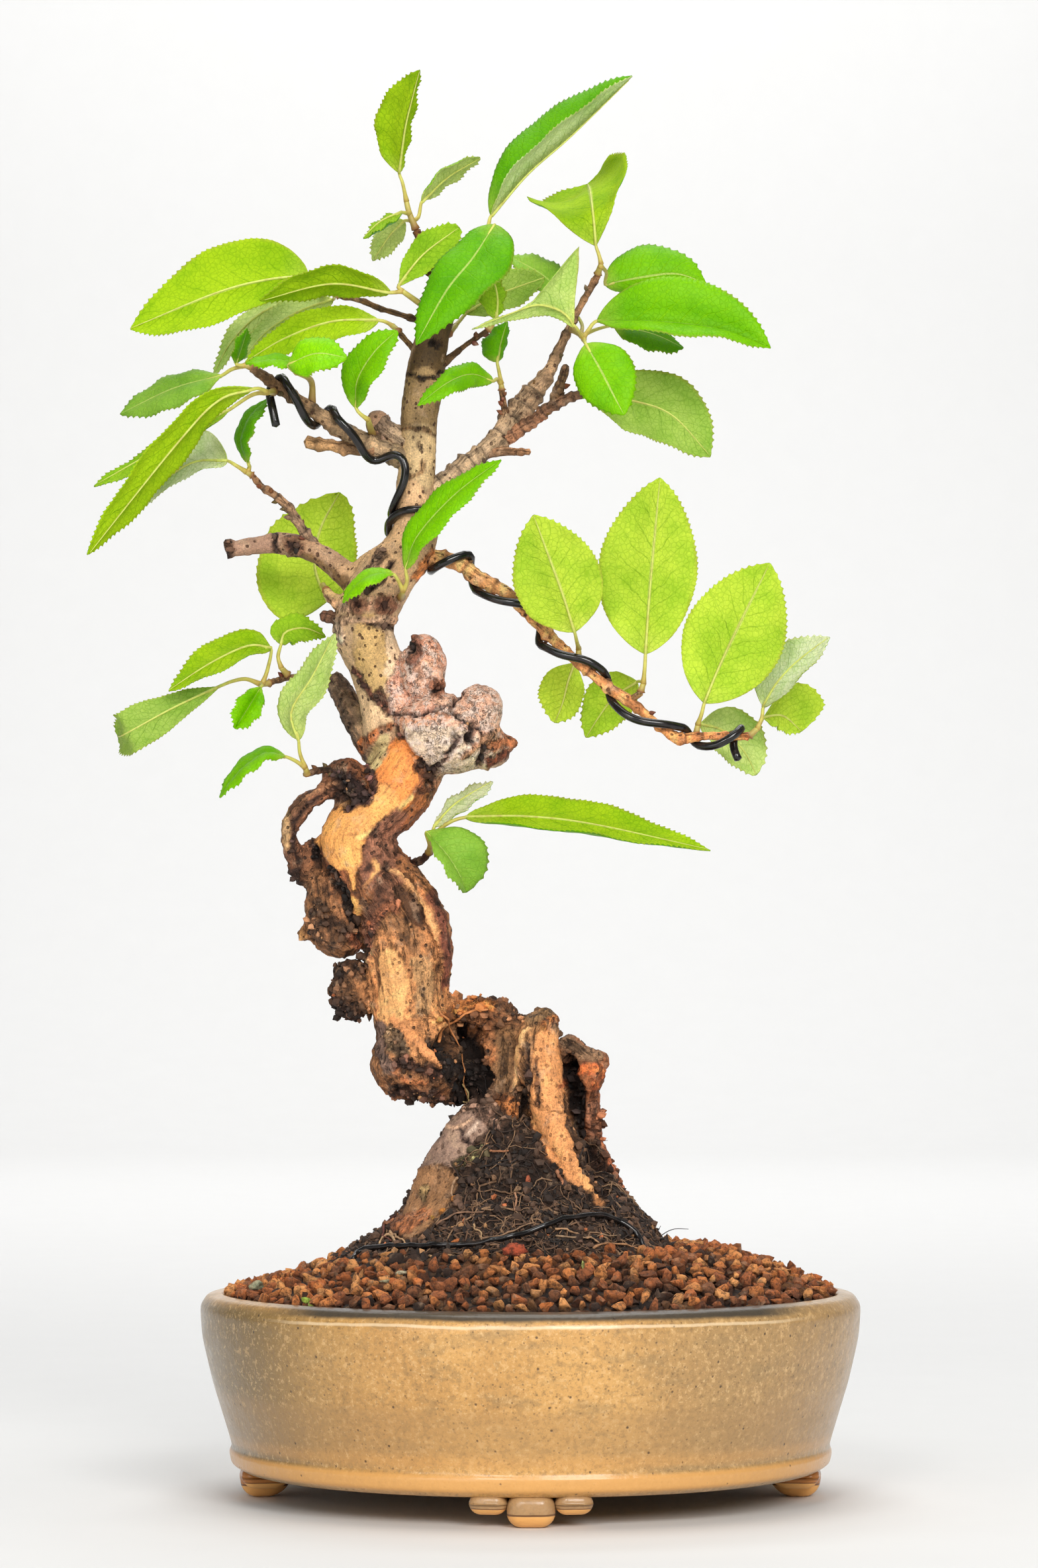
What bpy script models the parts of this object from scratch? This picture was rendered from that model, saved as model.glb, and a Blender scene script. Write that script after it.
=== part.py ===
"""A Chinese quince bonsai in a round glazed pot.

Metres, +Z up. Places on the tree are read from a photograph as (column, row) in its 1568 x 2369 frame
with a depth in millimetres behind the pot's axis, and spot() turns them into points. The pot, the soil and
the screen are turned or cut from real sizes about the pot's axis. At the end everything is moved together,
so that the origin is under the centre of the whole object's box.
"""

import math
import random

import bmesh
import bpy
import numpy as np
from mathutils import Matrix, Vector
from mathutils.bvhtree import BVHTree

# Scale and viewpoint of the photograph. One pixel spans 0.15 mm in the plane of the pot's axis.
MM = 0.001
PIXEL = 0.15 * MM
FOCAL = 6700.0
MIDDLE_COLUMN, MIDDLE_ROW = 784.0, 1184.5
EYE = Vector((-2.55 * MM, -1005.0 * MM, 110.0 * MM))
PITCH = math.radians(2.87)

# Pot
BASE_TOP = 12.0 * MM
POT_STEPS = 44
FOOT_COUNT = 4
FOOT_FLAT_RADIUS = 60.6 * MM
MAIN_TOE_HALF, SIDE_TOE_HALF = 5.15 * MM, 4.1 * MM
SIDE_TOE_LIFT = 2.7 * MM

# Neighbours that rest on each other are this far apart, wires a little more.
GAP = 0.3 * MM
WIRE_GAP = 0.4 * MM

# Screen over the drainage hole
SCREEN_SIDE = 24.0 * MM
SCREEN_THICK = 0.8 * MM
SCREEN_HOLES = 4

# Root ball, below the soil a plain round plug
PLUG_X = -4.5 * MM
PLUG_TOP_Z, PLUG_TOP_RADIUS = 55.0 * MM, 37.5 * MM
PLUG_FOOT_Z, PLUG_FOOT_RADIUS = 22.0 * MM, 29.0 * MM
PLUG_SIDES = 40

# Soil
SOIL_SEGMENTS = 54
SOIL_RINGS = 6
GRAIN_RELIEF = 0.9 * MM
LEFT_DROP = 2.4 * MM

# Wood
VOXEL = 0.8 * MM
WOOD_TRIANGLES = 1700

# Leaves and wires
BLADE_THICK = 0.6 * MM
LEAF_REACH = 1.7
STEM_RADIUS = 0.75 * MM
PETIOLE_RADIUS = 0.5 * MM
TRAINING_RADIUS = 0.95 * MM
TIE_RADIUS = 0.65 * MM

NAME = "chinese_quince_bonsai"


def start_empty():
    for thing in list(bpy.data.objects):
        bpy.data.objects.remove(thing, do_unlink=True)


def finish(name, colour, roughness, metallic=0.0):
    """A Principled material in the part's own colour (linear RGB)."""
    made = bpy.data.materials.new(name)
    made.use_nodes = True
    shader = made.node_tree.nodes["Principled BSDF"]
    shader.inputs["Base Color"].default_value = (*colour, 1.0)
    shader.inputs["Roughness"].default_value = roughness
    shader.inputs["Metallic"].default_value = metallic
    return made


def spot(column, row, depth=0.0):
    """The point seen at this pixel of the photograph, depth millimetres behind the pot's axis."""
    across = column - MIDDLE_COLUMN
    up = MIDDLE_ROW - row
    forward = FOCAL * math.cos(PITCH) - up * math.sin(PITCH)
    rise = FOCAL * math.sin(PITCH) + up * math.cos(PITCH)
    reach = (depth * MM - EYE.y) / forward
    return EYE + Vector((across, forward, rise)) * reach


def breadth(pixels, depth=0.0):
    """The real size of this many pixels at that depth."""
    return pixels * PIXEL * (depth * MM - EYE.y) / -EYE.y


def smooth_path(points, count):
    """Evenly spaced points on a smooth curve through (column, row, depth, more...) points."""
    knots = np.array(points, float)
    padded = np.vstack([2 * knots[0] - knots[1], knots, 2 * knots[-1] - knots[-2]])
    fine = []
    for k in range(len(knots) - 1):
        p0, p1, p2, p3 = padded[k : k + 4]
        for t in np.linspace(0.0, 1.0, 16, endpoint=False):
            bend = (2 * p0 - 5 * p1 + 4 * p2 - p3) * t**2 + (3 * p1 - p0 - 3 * p2 + p3) * t**3
            fine.append(0.5 * (2 * p1 + (p2 - p0) * t + bend))
    fine = np.array(fine + [knots[-1]])
    steps = np.diff(fine[:, :3], axis=0) * (1.0, 1.0, MM / PIXEL)
    run = np.concatenate([[0.0], np.cumsum(np.linalg.norm(steps, axis=1))])
    wanted = np.linspace(0.0, run[-1], count)
    return np.stack([np.interp(wanted, run, column) for column in fine.T], axis=1)


def linked(name, mesh):
    thing = bpy.data.objects.new(name, mesh)
    bpy.context.scene.collection.objects.link(thing)
    return thing


def shaped(name, body):
    """An object from a bmesh, which is freed."""
    mesh = bpy.data.meshes.new(name)
    bmesh.ops.recalc_face_normals(body, faces=body.faces)
    body.to_mesh(mesh)
    body.free()
    return linked(name, mesh)


def applied(thing, name=None):
    """The object as plain mesh in world space, its modifiers applied and its loose caps welded."""
    view = bpy.context.evaluated_depsgraph_get()
    mesh = bpy.data.meshes.new_from_object(thing.evaluated_get(view))
    mesh.transform(thing.matrix_world)
    name = name or thing.name
    bpy.data.objects.remove(thing, do_unlink=True)
    body = bmesh.new()
    body.from_mesh(mesh)
    bmesh.ops.remove_doubles(body, verts=body.verts, dist=1e-7)
    return shaped(name, body)


def combined(name, pieces, operation="UNION", solver="EXACT"):
    """The first piece joined with, or cut by, the others, by one Boolean on a collection."""
    first, *others = pieces
    bits = bpy.data.collections.new(name + "_bits")
    bpy.context.scene.collection.children.link(bits)
    for bit in others:
        bpy.context.scene.collection.objects.unlink(bit)
        bits.objects.link(bit)
    join = first.modifiers.new("join", "BOOLEAN")
    join.operation = operation
    join.operand_type = "COLLECTION"
    join.collection = bits
    join.solver = solver
    made = applied(first, name)
    for bit in others:
        bpy.data.objects.remove(bit, do_unlink=True)
    bpy.data.collections.remove(bits)
    return made


def tube(name, path, radii, sides=8):
    """A round tube with flat caps along a polyline of points, with a radius at each."""
    curve = bpy.data.curves.new(name, "CURVE")
    curve.dimensions = "3D"
    curve.bevel_depth = 1.0
    curve.bevel_resolution = sides // 2 - 2
    curve.use_fill_caps = True
    spline = curve.splines.new("POLY")
    spline.points.add(len(path) - 1)
    for point, place, radius in zip(spline.points, path, radii):
        point.co = (*place, 1.0)
        point.radius = radius
    return applied(linked(name, curve))


def limb(name, points, count=None, sides=8):
    """A tube through (column, row, depth, thickness in pixels) points."""
    run = smooth_path(points, count or 2 * len(points))
    path = [spot(*row[:3]) for row in run]
    radii = [breadth(row[3], row[2]) / 2 for row in run]
    return tube(name, path, radii, sides)


def stack(name, rings, sides):
    """Level rings (sideways, height, radius) joined to one body from the lowest up."""
    body = bmesh.new()
    rows = []
    for middle, height, radius in rings:
        turns = [math.tau * k / sides for k in range(sides)]
        places = [(middle + radius * math.cos(t), radius * math.sin(t), height) for t in turns]
        rows.append([body.verts.new(place) for place in places])
    for low, high in zip(rows, rows[1:]):
        for k in range(sides):
            after = (k + 1) % sides
            body.faces.new((low[k], low[after], high[after], high[k]))
    body.faces.new(rows[0])
    body.faces.new(rows[-1])
    return shaped(name, body)


def lump(name, place, size):
    """An ellipsoid at (column, row, depth) with half widths (pixels, pixels, millimetres of depth)."""
    body = bmesh.new()
    bmesh.ops.create_icosphere(body, subdivisions=3, radius=1.0)
    stretch = Matrix.Diagonal((breadth(size[0]), size[2] * MM, breadth(size[1])))
    bmesh.ops.transform(body, matrix=stretch.to_4x4(), verts=body.verts)
    bmesh.ops.translate(body, vec=spot(*place), verts=body.verts)
    return shaped(name, body)


# The pot: its wall's section (radius, height) in millimetres, down the outside, under and up inside.
POT_SECTION = (
    (69.8, 46.0), (72.9, 45.4), (74.4, 43.0), (74.0, 36.0), (71.7, 25.8), (68.6, 16.2), (67.3, 11.9),
    (67.9, 10.4), (67.4, 8.0), (64.4, 6.2), (8.0, 6.2), (8.0, 12.0), (59.0, 12.0), (62.4, 14.4),
    (65.2, 24.0), (68.0, 40.0), (68.9, 45.2),
)  # fmt: skip


def turned(name, section, steps):
    """A closed section turned about Z."""
    mesh = bpy.data.meshes.new(name)
    verts = [(radius * MM, 0.0, height * MM) for radius, height in section]
    mesh.from_pydata(verts, [(k, (k + 1) % len(verts)) for k in range(len(verts))], [])
    thing = linked(name, mesh)
    screw = thing.modifiers.new("turn", "SCREW")
    screw.axis = "Z"
    screw.angle = math.tau
    screw.steps = screw.render_steps = steps
    screw.use_merge_vertices = True
    screw.merge_threshold = 1e-5
    return applied(thing)


def toe(half_width, lift, angle, sideways):
    """One lobe of a cloud foot: a block that slants in under the pot, with its edges rounded off."""
    body = bmesh.new()
    bmesh.ops.create_cube(body, size=2.0)
    for vert in body.verts:
        outside = vert.co.x > 0
        if vert.co.z > 0:
            radial, height = (65.8 if outside else 50.5), 7.4 * MM
        else:
            radial, height = (64.6 if outside else 56.6), lift
        vert.co = Vector((radial * MM, vert.co.y * half_width, height))
    thing = shaped("toe", body)
    bevel = thing.modifiers.new("round", "BEVEL")
    bevel.width = 0.4 * half_width
    bevel.segments = 1
    bevel.limit_method = "NONE"
    thing = applied(thing)
    thing.data.transform(Matrix.Rotation(angle + sideways / FOOT_FLAT_RADIUS, 4, "Z"))
    return thing


def make_pot():
    pieces = [turned("pot", POT_SECTION, POT_STEPS)]
    reach = MAIN_TOE_HALF + SIDE_TOE_HALF - 0.4 * MM
    for k in range(FOOT_COUNT):
        angle = -math.pi / 2 + k * math.tau / FOOT_COUNT
        pieces.append(toe(MAIN_TOE_HALF, 0.0, angle, 0.0))
        for way in (-1, 1):
            pieces.append(toe(SIDE_TOE_HALF, SIDE_TOE_LIFT, angle, way * reach))
    return combined("pot", pieces)


def block(name, size, place):
    body = bmesh.new()
    bmesh.ops.create_cube(body, size=1.0)
    bmesh.ops.scale(body, vec=size, verts=body.verts)
    bmesh.ops.translate(body, vec=place, verts=body.verts)
    return shaped(name, body)


def make_screen():
    """A square plastic mesh that lies over the drainage hole."""
    middle = BASE_TOP + GAP + SCREEN_THICK / 2
    pieces = [block("plate", (SCREEN_SIDE, SCREEN_SIDE, SCREEN_THICK), (0.0, 0.0, middle))]
    pitch = SCREEN_SIDE / (SCREEN_HOLES + 0.6)
    side = 0.72 * pitch
    for i in range(SCREEN_HOLES):
        for j in range(SCREEN_HOLES):
            across, along = ((n - (SCREEN_HOLES - 1) / 2) * pitch for n in (i, j))
            pieces.append(block("hole", (side, side, side), (across, along, middle)))
    return combined("drain_screen", pieces, "DIFFERENCE")


def plug_radius(height):
    share = (height - PLUG_FOOT_Z) / (PLUG_TOP_Z - PLUG_FOOT_Z)
    return PLUG_FOOT_RADIUS + share * (PLUG_TOP_RADIUS - PLUG_FOOT_RADIUS)


def make_soil():
    """The soil, ring after ring: the underside, the wall, the grainy mound and the root ball's pocket."""
    draw = random.Random(7)
    snug = 0.45 * MM
    rings = [
        (0.0, 17.8 * MM, 14.2 * MM, 0.0),
        (0.0, 18.4 * MM, BASE_TOP + GAP, 0.0),
        (0.0, 58.8 * MM, BASE_TOP + GAP, 0.0),
        (0.0, 61.9 * MM, 14.6 * MM, 0.0),
        (0.0, 64.8 * MM, 24.0 * MM, 0.0),
        (0.0, 67.6 * MM, 40.0 * MM, 0.0),
    ]
    top = 54.2 * MM
    inner = plug_radius(top) + snug
    for k in range(SOIL_RINGS + 1):
        share = k / SOIL_RINGS
        radius = (68.0 * MM) * (1 - share) + inner * share
        height = (44.4 * MM) * (1 - share) ** 2 + (top - 1.9 * MM) * (1 - (1 - share) ** 2)
        height += 1.9 * MM * share**2
        loose = 0.0 if k in (0, SOIL_RINGS) else 1.0
        rings.append((PLUG_X * share, radius, height, loose))
    pocket = PLUG_FOOT_Z - snug
    rings.append((PLUG_X, plug_radius(PLUG_FOOT_Z) + snug, pocket, 0.0))

    share_of = [0.0] * 6 + [k / SOIL_RINGS for k in range(SOIL_RINGS + 1)] + [0.0]

    body = bmesh.new()
    rows = []
    for number, (middle, radius, height, loose) in enumerate(rings):
        row = []
        for k in range(SOIL_SEGMENTS):
            angle = math.tau * (k + 0.5 * (number % 2) * (loose > 0)) / SOIL_SEGMENTS
            swing = angle + loose * draw.uniform(-0.012, 0.012)
            reach = radius + loose * draw.uniform(-0.9, 0.9) * MM
            lift = loose * draw.uniform(-1.0, 1.0) * GRAIN_RELIEF
            share = share_of[number]
            lift -= LEFT_DROP * 4 * share * (1 - share) * max(0.0, -math.cos(angle))
            place = (middle + reach * math.cos(swing), reach * math.sin(swing), height + lift)
            row.append(body.verts.new(place))
        rows.append(row)
    for low, high in zip(rows, rows[1:]):
        for k in range(SOIL_SEGMENTS):
            after = (k + 1) % SOIL_SEGMENTS
            body.faces.new((low[k], low[after], high[after]))
            body.faces.new((low[k], high[after], high[k]))
    for row, middle, height in ((rows[0], 0.0, rings[0][2]), (rows[-1], PLUG_X, pocket)):
        centre = body.verts.new((middle, 0.0, height))
        for k in range(SOIL_SEGMENTS):
            body.faces.new((centre, row[k], row[(k + 1) % SOIL_SEGMENTS]))
    return shaped("soil", body)


# The wood: thick strokes and lumps that are melted together, as (column, row, depth, thickness).
THICK_LIMBS = {
    "upper_stem": (
        (600, 1120, 2, 96), (585, 1060, 2, 86), (568, 1005, 2, 84), (549, 955, 1, 92), (560, 915, 0, 92),
        (584, 872, 0, 86), (619, 828, 0, 76), (631, 780, 0, 66), (628, 735, 0, 60), (631, 690, 0, 58),
        (632, 640, 0, 58), (638, 600, 0, 59), (645, 550, 0, 57), (656, 500, 0, 50), (672, 462, 1, 38),
        (684, 448, 1, 22),
    ),
    "smooth_wood": (
        (640, 1120, 1, 96), (600, 1190, 0, 108), (557, 1235, 0, 104), (541, 1272, 0, 120),
        (552, 1310, 0, 122), (575, 1350, 0, 126),
    ),
    "middle_trunk": (
        (578, 1340, 0, 126), (610, 1395, 1, 128), (616, 1450, 1, 130), (619, 1500, 0, 118),
        (626, 1545, 0, 122), (640, 1590, 0, 120),
    ),
    "long_lip": (
        (598, 1312, -3, 22), (635, 1342, -5, 30), (658, 1385, -6, 34), (668, 1430, -5, 26),
        (668, 1475, -3, 18),
    ),
    "rough_flank": ((488, 1315, 3, 56), (500, 1355, 2, 84), (510, 1395, 2, 98), (532, 1428, 3, 56)),
    "dead_loop": (
        (518, 1182, -2, 30), (482, 1202, -2, 24), (455, 1223, -2, 26), (440, 1250, -1, 26),
        (441, 1280, 0, 26), (449, 1310, 1, 26), (462, 1328, 2, 34), (492, 1335, 2, 44),
    ),
    "back_branch": (
        (590, 1165, 4, 54), (560, 1120, 6, 46), (536, 1080, 8, 42),
        (518, 1048, 10, 36), (503, 1021, 11, 24),
    ),
    "knee_neck": ((640, 1625, 2, 70), (700, 1625, 5, 84), (770, 1620, 3, 90)),
    "hollow_rim": (
        (655, 1512, 1, 46), (700, 1528, 0, 34), (745, 1527, -1, 42),
        (790, 1553, -2, 38), (832, 1545, -2, 46),
    ),
    "column": (
        (822, 1548, -3, 54), (812, 1580, -5, 62), (822, 1640, -7, 62), (838, 1700, -10, 50),
        (868, 1762, -14, 40), (900, 1815, -17, 34),
    ),
    "body_left": ((772, 1560, 0, 66), (768, 1620, 0, 76), (760, 1680, 0, 84)),
    "body_back": ((790, 1560, 8, 90), (800, 1620, 9, 100), (795, 1680, 9, 100)),
    "shoulder": ((848, 1578, 1, 44), (878, 1600, 1, 44), (894, 1612, 1, 44), (884, 1650, 1, 42)),
    "right_root": (
        (884, 1640, 2, 44), (883, 1690, 3, 48), (886, 1730, 4, 46),
        (905, 1770, 5, 52), (920, 1800, 6, 54),
    ),
    "left_root": (
        (752, 1672, -1, 76), (716, 1716, -3, 80), (682, 1765, -5, 80), (660, 1810, -6, 76),
        (644, 1850, -7, 72), (636, 1885, -8, 68),
    ),
    "back_root": ((790, 1690, 8, 90), (770, 1760, 15, 74), (750, 1820, 21, 66), (735, 1870, 26, 60)),
    "back_right_root": (
        (840, 1690, 7, 80), (870, 1760, 13, 60), (895, 1820, 18, 56), (915, 1870, 22, 50),
    ),
    "left_collar": ((600, 862, 0, 66), (565, 872, 1, 54), (540, 878, 2, 46), (520, 866, 3, 38)),
    "left_stub": (
        (520, 866, 3, 38), (490, 842, 5, 34), (455, 825, 6, 34), (418, 820, 7, 33), (398, 823, 7, 26),
        (347, 829, 8, 21),
    ),
    "left_arm": ((612, 825, 0, 34), (578, 836, 0, 28), (556, 850, 1, 28), (540, 872, 2, 34)),
    "bud_collar": ((550, 930, 0, 40), (520, 915, 0, 30), (500, 903, 1, 18), (494, 893, 2, 13)),
}  # fmt: skip

# Lumps as ((column, row, depth), (half width, half height, half depth in mm)).
LUMPS = {
    "main_burl": ((675, 1108, -2), (82, 62, 10.5)),
    "grey_knob": ((722, 1073, -4), (37, 40, 6.2)),
    "upper_burl": ((640, 1015, -1), (34, 58, 6.6)),
    "flake_root": ((725, 1128, -1), (46, 34, 6.0)),
    "cavity_knob": ((524, 1180, -1), (34, 36, 6.0)),
    "dark_clump": ((536, 1498, 2), (34, 38, 5.5)),
    "knee_bulb": ((632, 1602, -2), (70, 60, 10.5)),
    "shoulder_tip": ((900, 1604, 1), (20, 18, 3.2)),
    "branch_knob": ((570, 640, 1), (19, 22, 3.0)),
    "hollow_back": ((704, 1588, 8), (64, 66, 6.5)),
    "right_hollow_back": ((862, 1660, 8), (40, 96, 6.0)),
}

FLAKE_TIP = ((728, 1118, -1, 56), (752, 1122, -1, 34), (782, 1123, -1, 7))
CUT_STUB = ((480, 1402, 2, 30), (452, 1416, 1, 16))

# The root ball above the soil, as level rings: (sideways, height, radius) in millimetres.
ROOT_CONE = (
    (-4.5, 48.0, 33.0), (-4.5, 54.4, 36.8), (-3.2, 58.0, 32.0), (-2.2, 63.0, 27.0), (-1.5, 72.0, 19.5),
    (-3.5, 84.0, 9.0),
)  # fmt: skip

# Branches and twigs: round tubes sunk into the wood, as (column, row, depth, thickness).
BRANCHES = {
    "upper_left": (
        (628, 702, 0, 36), (600, 688, -1, 36), (575, 680, -2, 34), (550, 668, -3, 31), (528, 655, -4, 29),
        (505, 642, -5, 25), (470, 618, -7, 21), (440, 598, -9, 19),
        (400, 570, -11, 16), (381, 557, -12, 13),
    ),
    "upper_left_stub": ((565, 680, -3, 24), (520, 676, -3, 19), (463, 668, -3, 19)),
    "knob_neck": ((612, 672, 0, 42), (572, 640, 1, 30)),
    "lower_left_twig": (
        (485, 838, 6, 18), (468, 815, 5, 16), (450, 790, 3, 14), (435, 765, 1, 13), (410, 745, -1, 12),
        (395, 735, -2, 10), (382, 719, -3, 9),
    ),
    "right": (
        (635, 745, 0, 32), (662, 735, 1, 32), (700, 705, 3, 29), (735, 678, 5, 28), (757, 658, 6, 36),
        (775, 635, 7, 38), (795, 608, 8, 36), (815, 582, 8, 28), (832, 556, 8, 20), (846, 525, 8, 15),
        (858, 500, 7, 14), (870, 475, 7, 11), (885, 448, 6, 11), (903, 416, 5, 10),
    ),
    "right_fork": (
        (760, 662, 6, 26), (782, 650, 5, 21), (805, 636, 4, 17), (830, 616, 2, 17), (860, 601, 0, 14),
        (880, 595, -1, 12),
    ),
    "right_spur": ((836, 606, 1, 14), (848, 576, 1, 13), (855, 552, 1, 9)),
    "right_stub": ((735, 684, 5, 20), (765, 682, 4, 13), (800, 683, 4, 10)),
    "middle_spur": ((770, 650, 6, 15), (762, 615, 5, 11), (758, 590, 4, 9)),
    "crown_twig": ((668, 550, 0, 15), (690, 532, -1, 9), (708, 518, -2, 8), (736, 500, -4, 8)),
    "first_left_twig": ((645, 550, 0, 13), (628, 531, 0, 10), (603, 503, -2, 8)),
    "second_left_twig": (
        (664, 492, 2, 14), (620, 480, 3, 10), (575, 466, 4, 9), (548, 455, 4, 9), (513, 447, 5, 8),
    ),
    "apex": ((672, 465, 1, 30), (658, 420, 3, 18), (641, 375, 4, 14), (629, 349, 4, 13)),
    "long_right": (
        (625, 842, 0, 34), (660, 843, 0, 26), (700, 855, -1, 22), (715, 868, -1, 25), (745, 885, -2, 21),
        (770, 900, -3, 20), (800, 930, -3, 18), (830, 960, -4, 17),
        (860, 990, -4, 17), (890, 1015, -5, 16),
        (920, 1040, -5, 15), (945, 1055, -5, 18), (970, 1075, -5, 14),
        (1000, 1100, -4, 14), (1025, 1115, -4, 18),
        (1060, 1112, -3, 13), (1100, 1112, -2, 13), (1130, 1113, -2, 12),
    ),
    "long_right_spur": ((950, 1060, -5, 12), (968, 1046, -6, 10)),
    "back_spur": ((540, 1078, 8, 14), (553, 1059, 8, 8)),
    "back_twig": (
        (508, 1036, 10, 16), (495, 1024, 10, 11), (463, 1025, 9, 10),
        (440, 1023, 8, 9), (420, 1028, 6, 9),
        (407, 1032, 5, 9),
    ),
    "old_scar": ((545, 938, 0, 34), (510, 935, 0, 20), (486, 929, 0, 14)),
    "knob_spur": ((530, 1168, -2, 18), (500, 1163, -3, 11), (480, 1165, -3, 10), (465, 1169, -4, 9)),
    "low_right_twig": ((585, 1296, 2, 18), (618, 1304, 1, 12), (638, 1299, 0, 11), (647, 1289, -1, 9)),
}  # fmt: skip


def make_trunk():
    """The whole woody tree and its root ball in one body."""
    pieces = [limb(name, points) for name, points in THICK_LIMBS.items()]
    pieces += [limb("flake_tip", FLAKE_TIP), limb("cut_stub", CUT_STUB)]
    pieces += [lump(name, place, size) for name, (place, size) in LUMPS.items()]
    pieces.append(stack("root_cone", [[value * MM for value in ring] for ring in ROOT_CONE], PLUG_SIDES))

    body = bmesh.new()
    for piece in pieces:
        body.from_mesh(piece.data)
        bpy.data.objects.remove(piece, do_unlink=True)
    wood = shaped("wood", body)
    melt = wood.modifiers.new("melt", "REMESH")
    melt.mode = "VOXEL"
    melt.voxel_size = VOXEL
    soften = wood.modifiers.new("soften", "SMOOTH")
    soften.iterations = 3
    wood = applied(wood)
    wood.data.calc_loop_triangles()
    thin = wood.modifiers.new("thin", "DECIMATE")
    thin.ratio = WOOD_TRIANGLES / len(wood.data.loop_triangles)
    wood = applied(wood)

    foot = (PLUG_X, PLUG_FOOT_Z, PLUG_FOOT_RADIUS)
    top = (PLUG_X, PLUG_TOP_Z, PLUG_TOP_RADIUS)
    parts = [wood, stack("plug", (foot, top), PLUG_SIDES)]
    for name, points in BRANCHES.items():
        count = max(4, len(points))
        parts.append(limb(name, points, count, 6))
    return combined("trunk", parts)


# Leafy shoots. A stem starts at its seat on the wood. A leaf has its petiole's points and its rib's points
# as (column, row, depth), and for each half (pixels to that side, depth of the edge behind the rib in mm,
# pixels that the widest place is moved along the rib). Left is the left hand of one who walks from base to
# tip. belly is where along the rib the blade is widest.
def leaf(petiole, rib, left, right, belly=0.44):
    return {"petiole": petiole, "rib": rib, "left": left, "right": right, "belly": belly}


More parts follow.
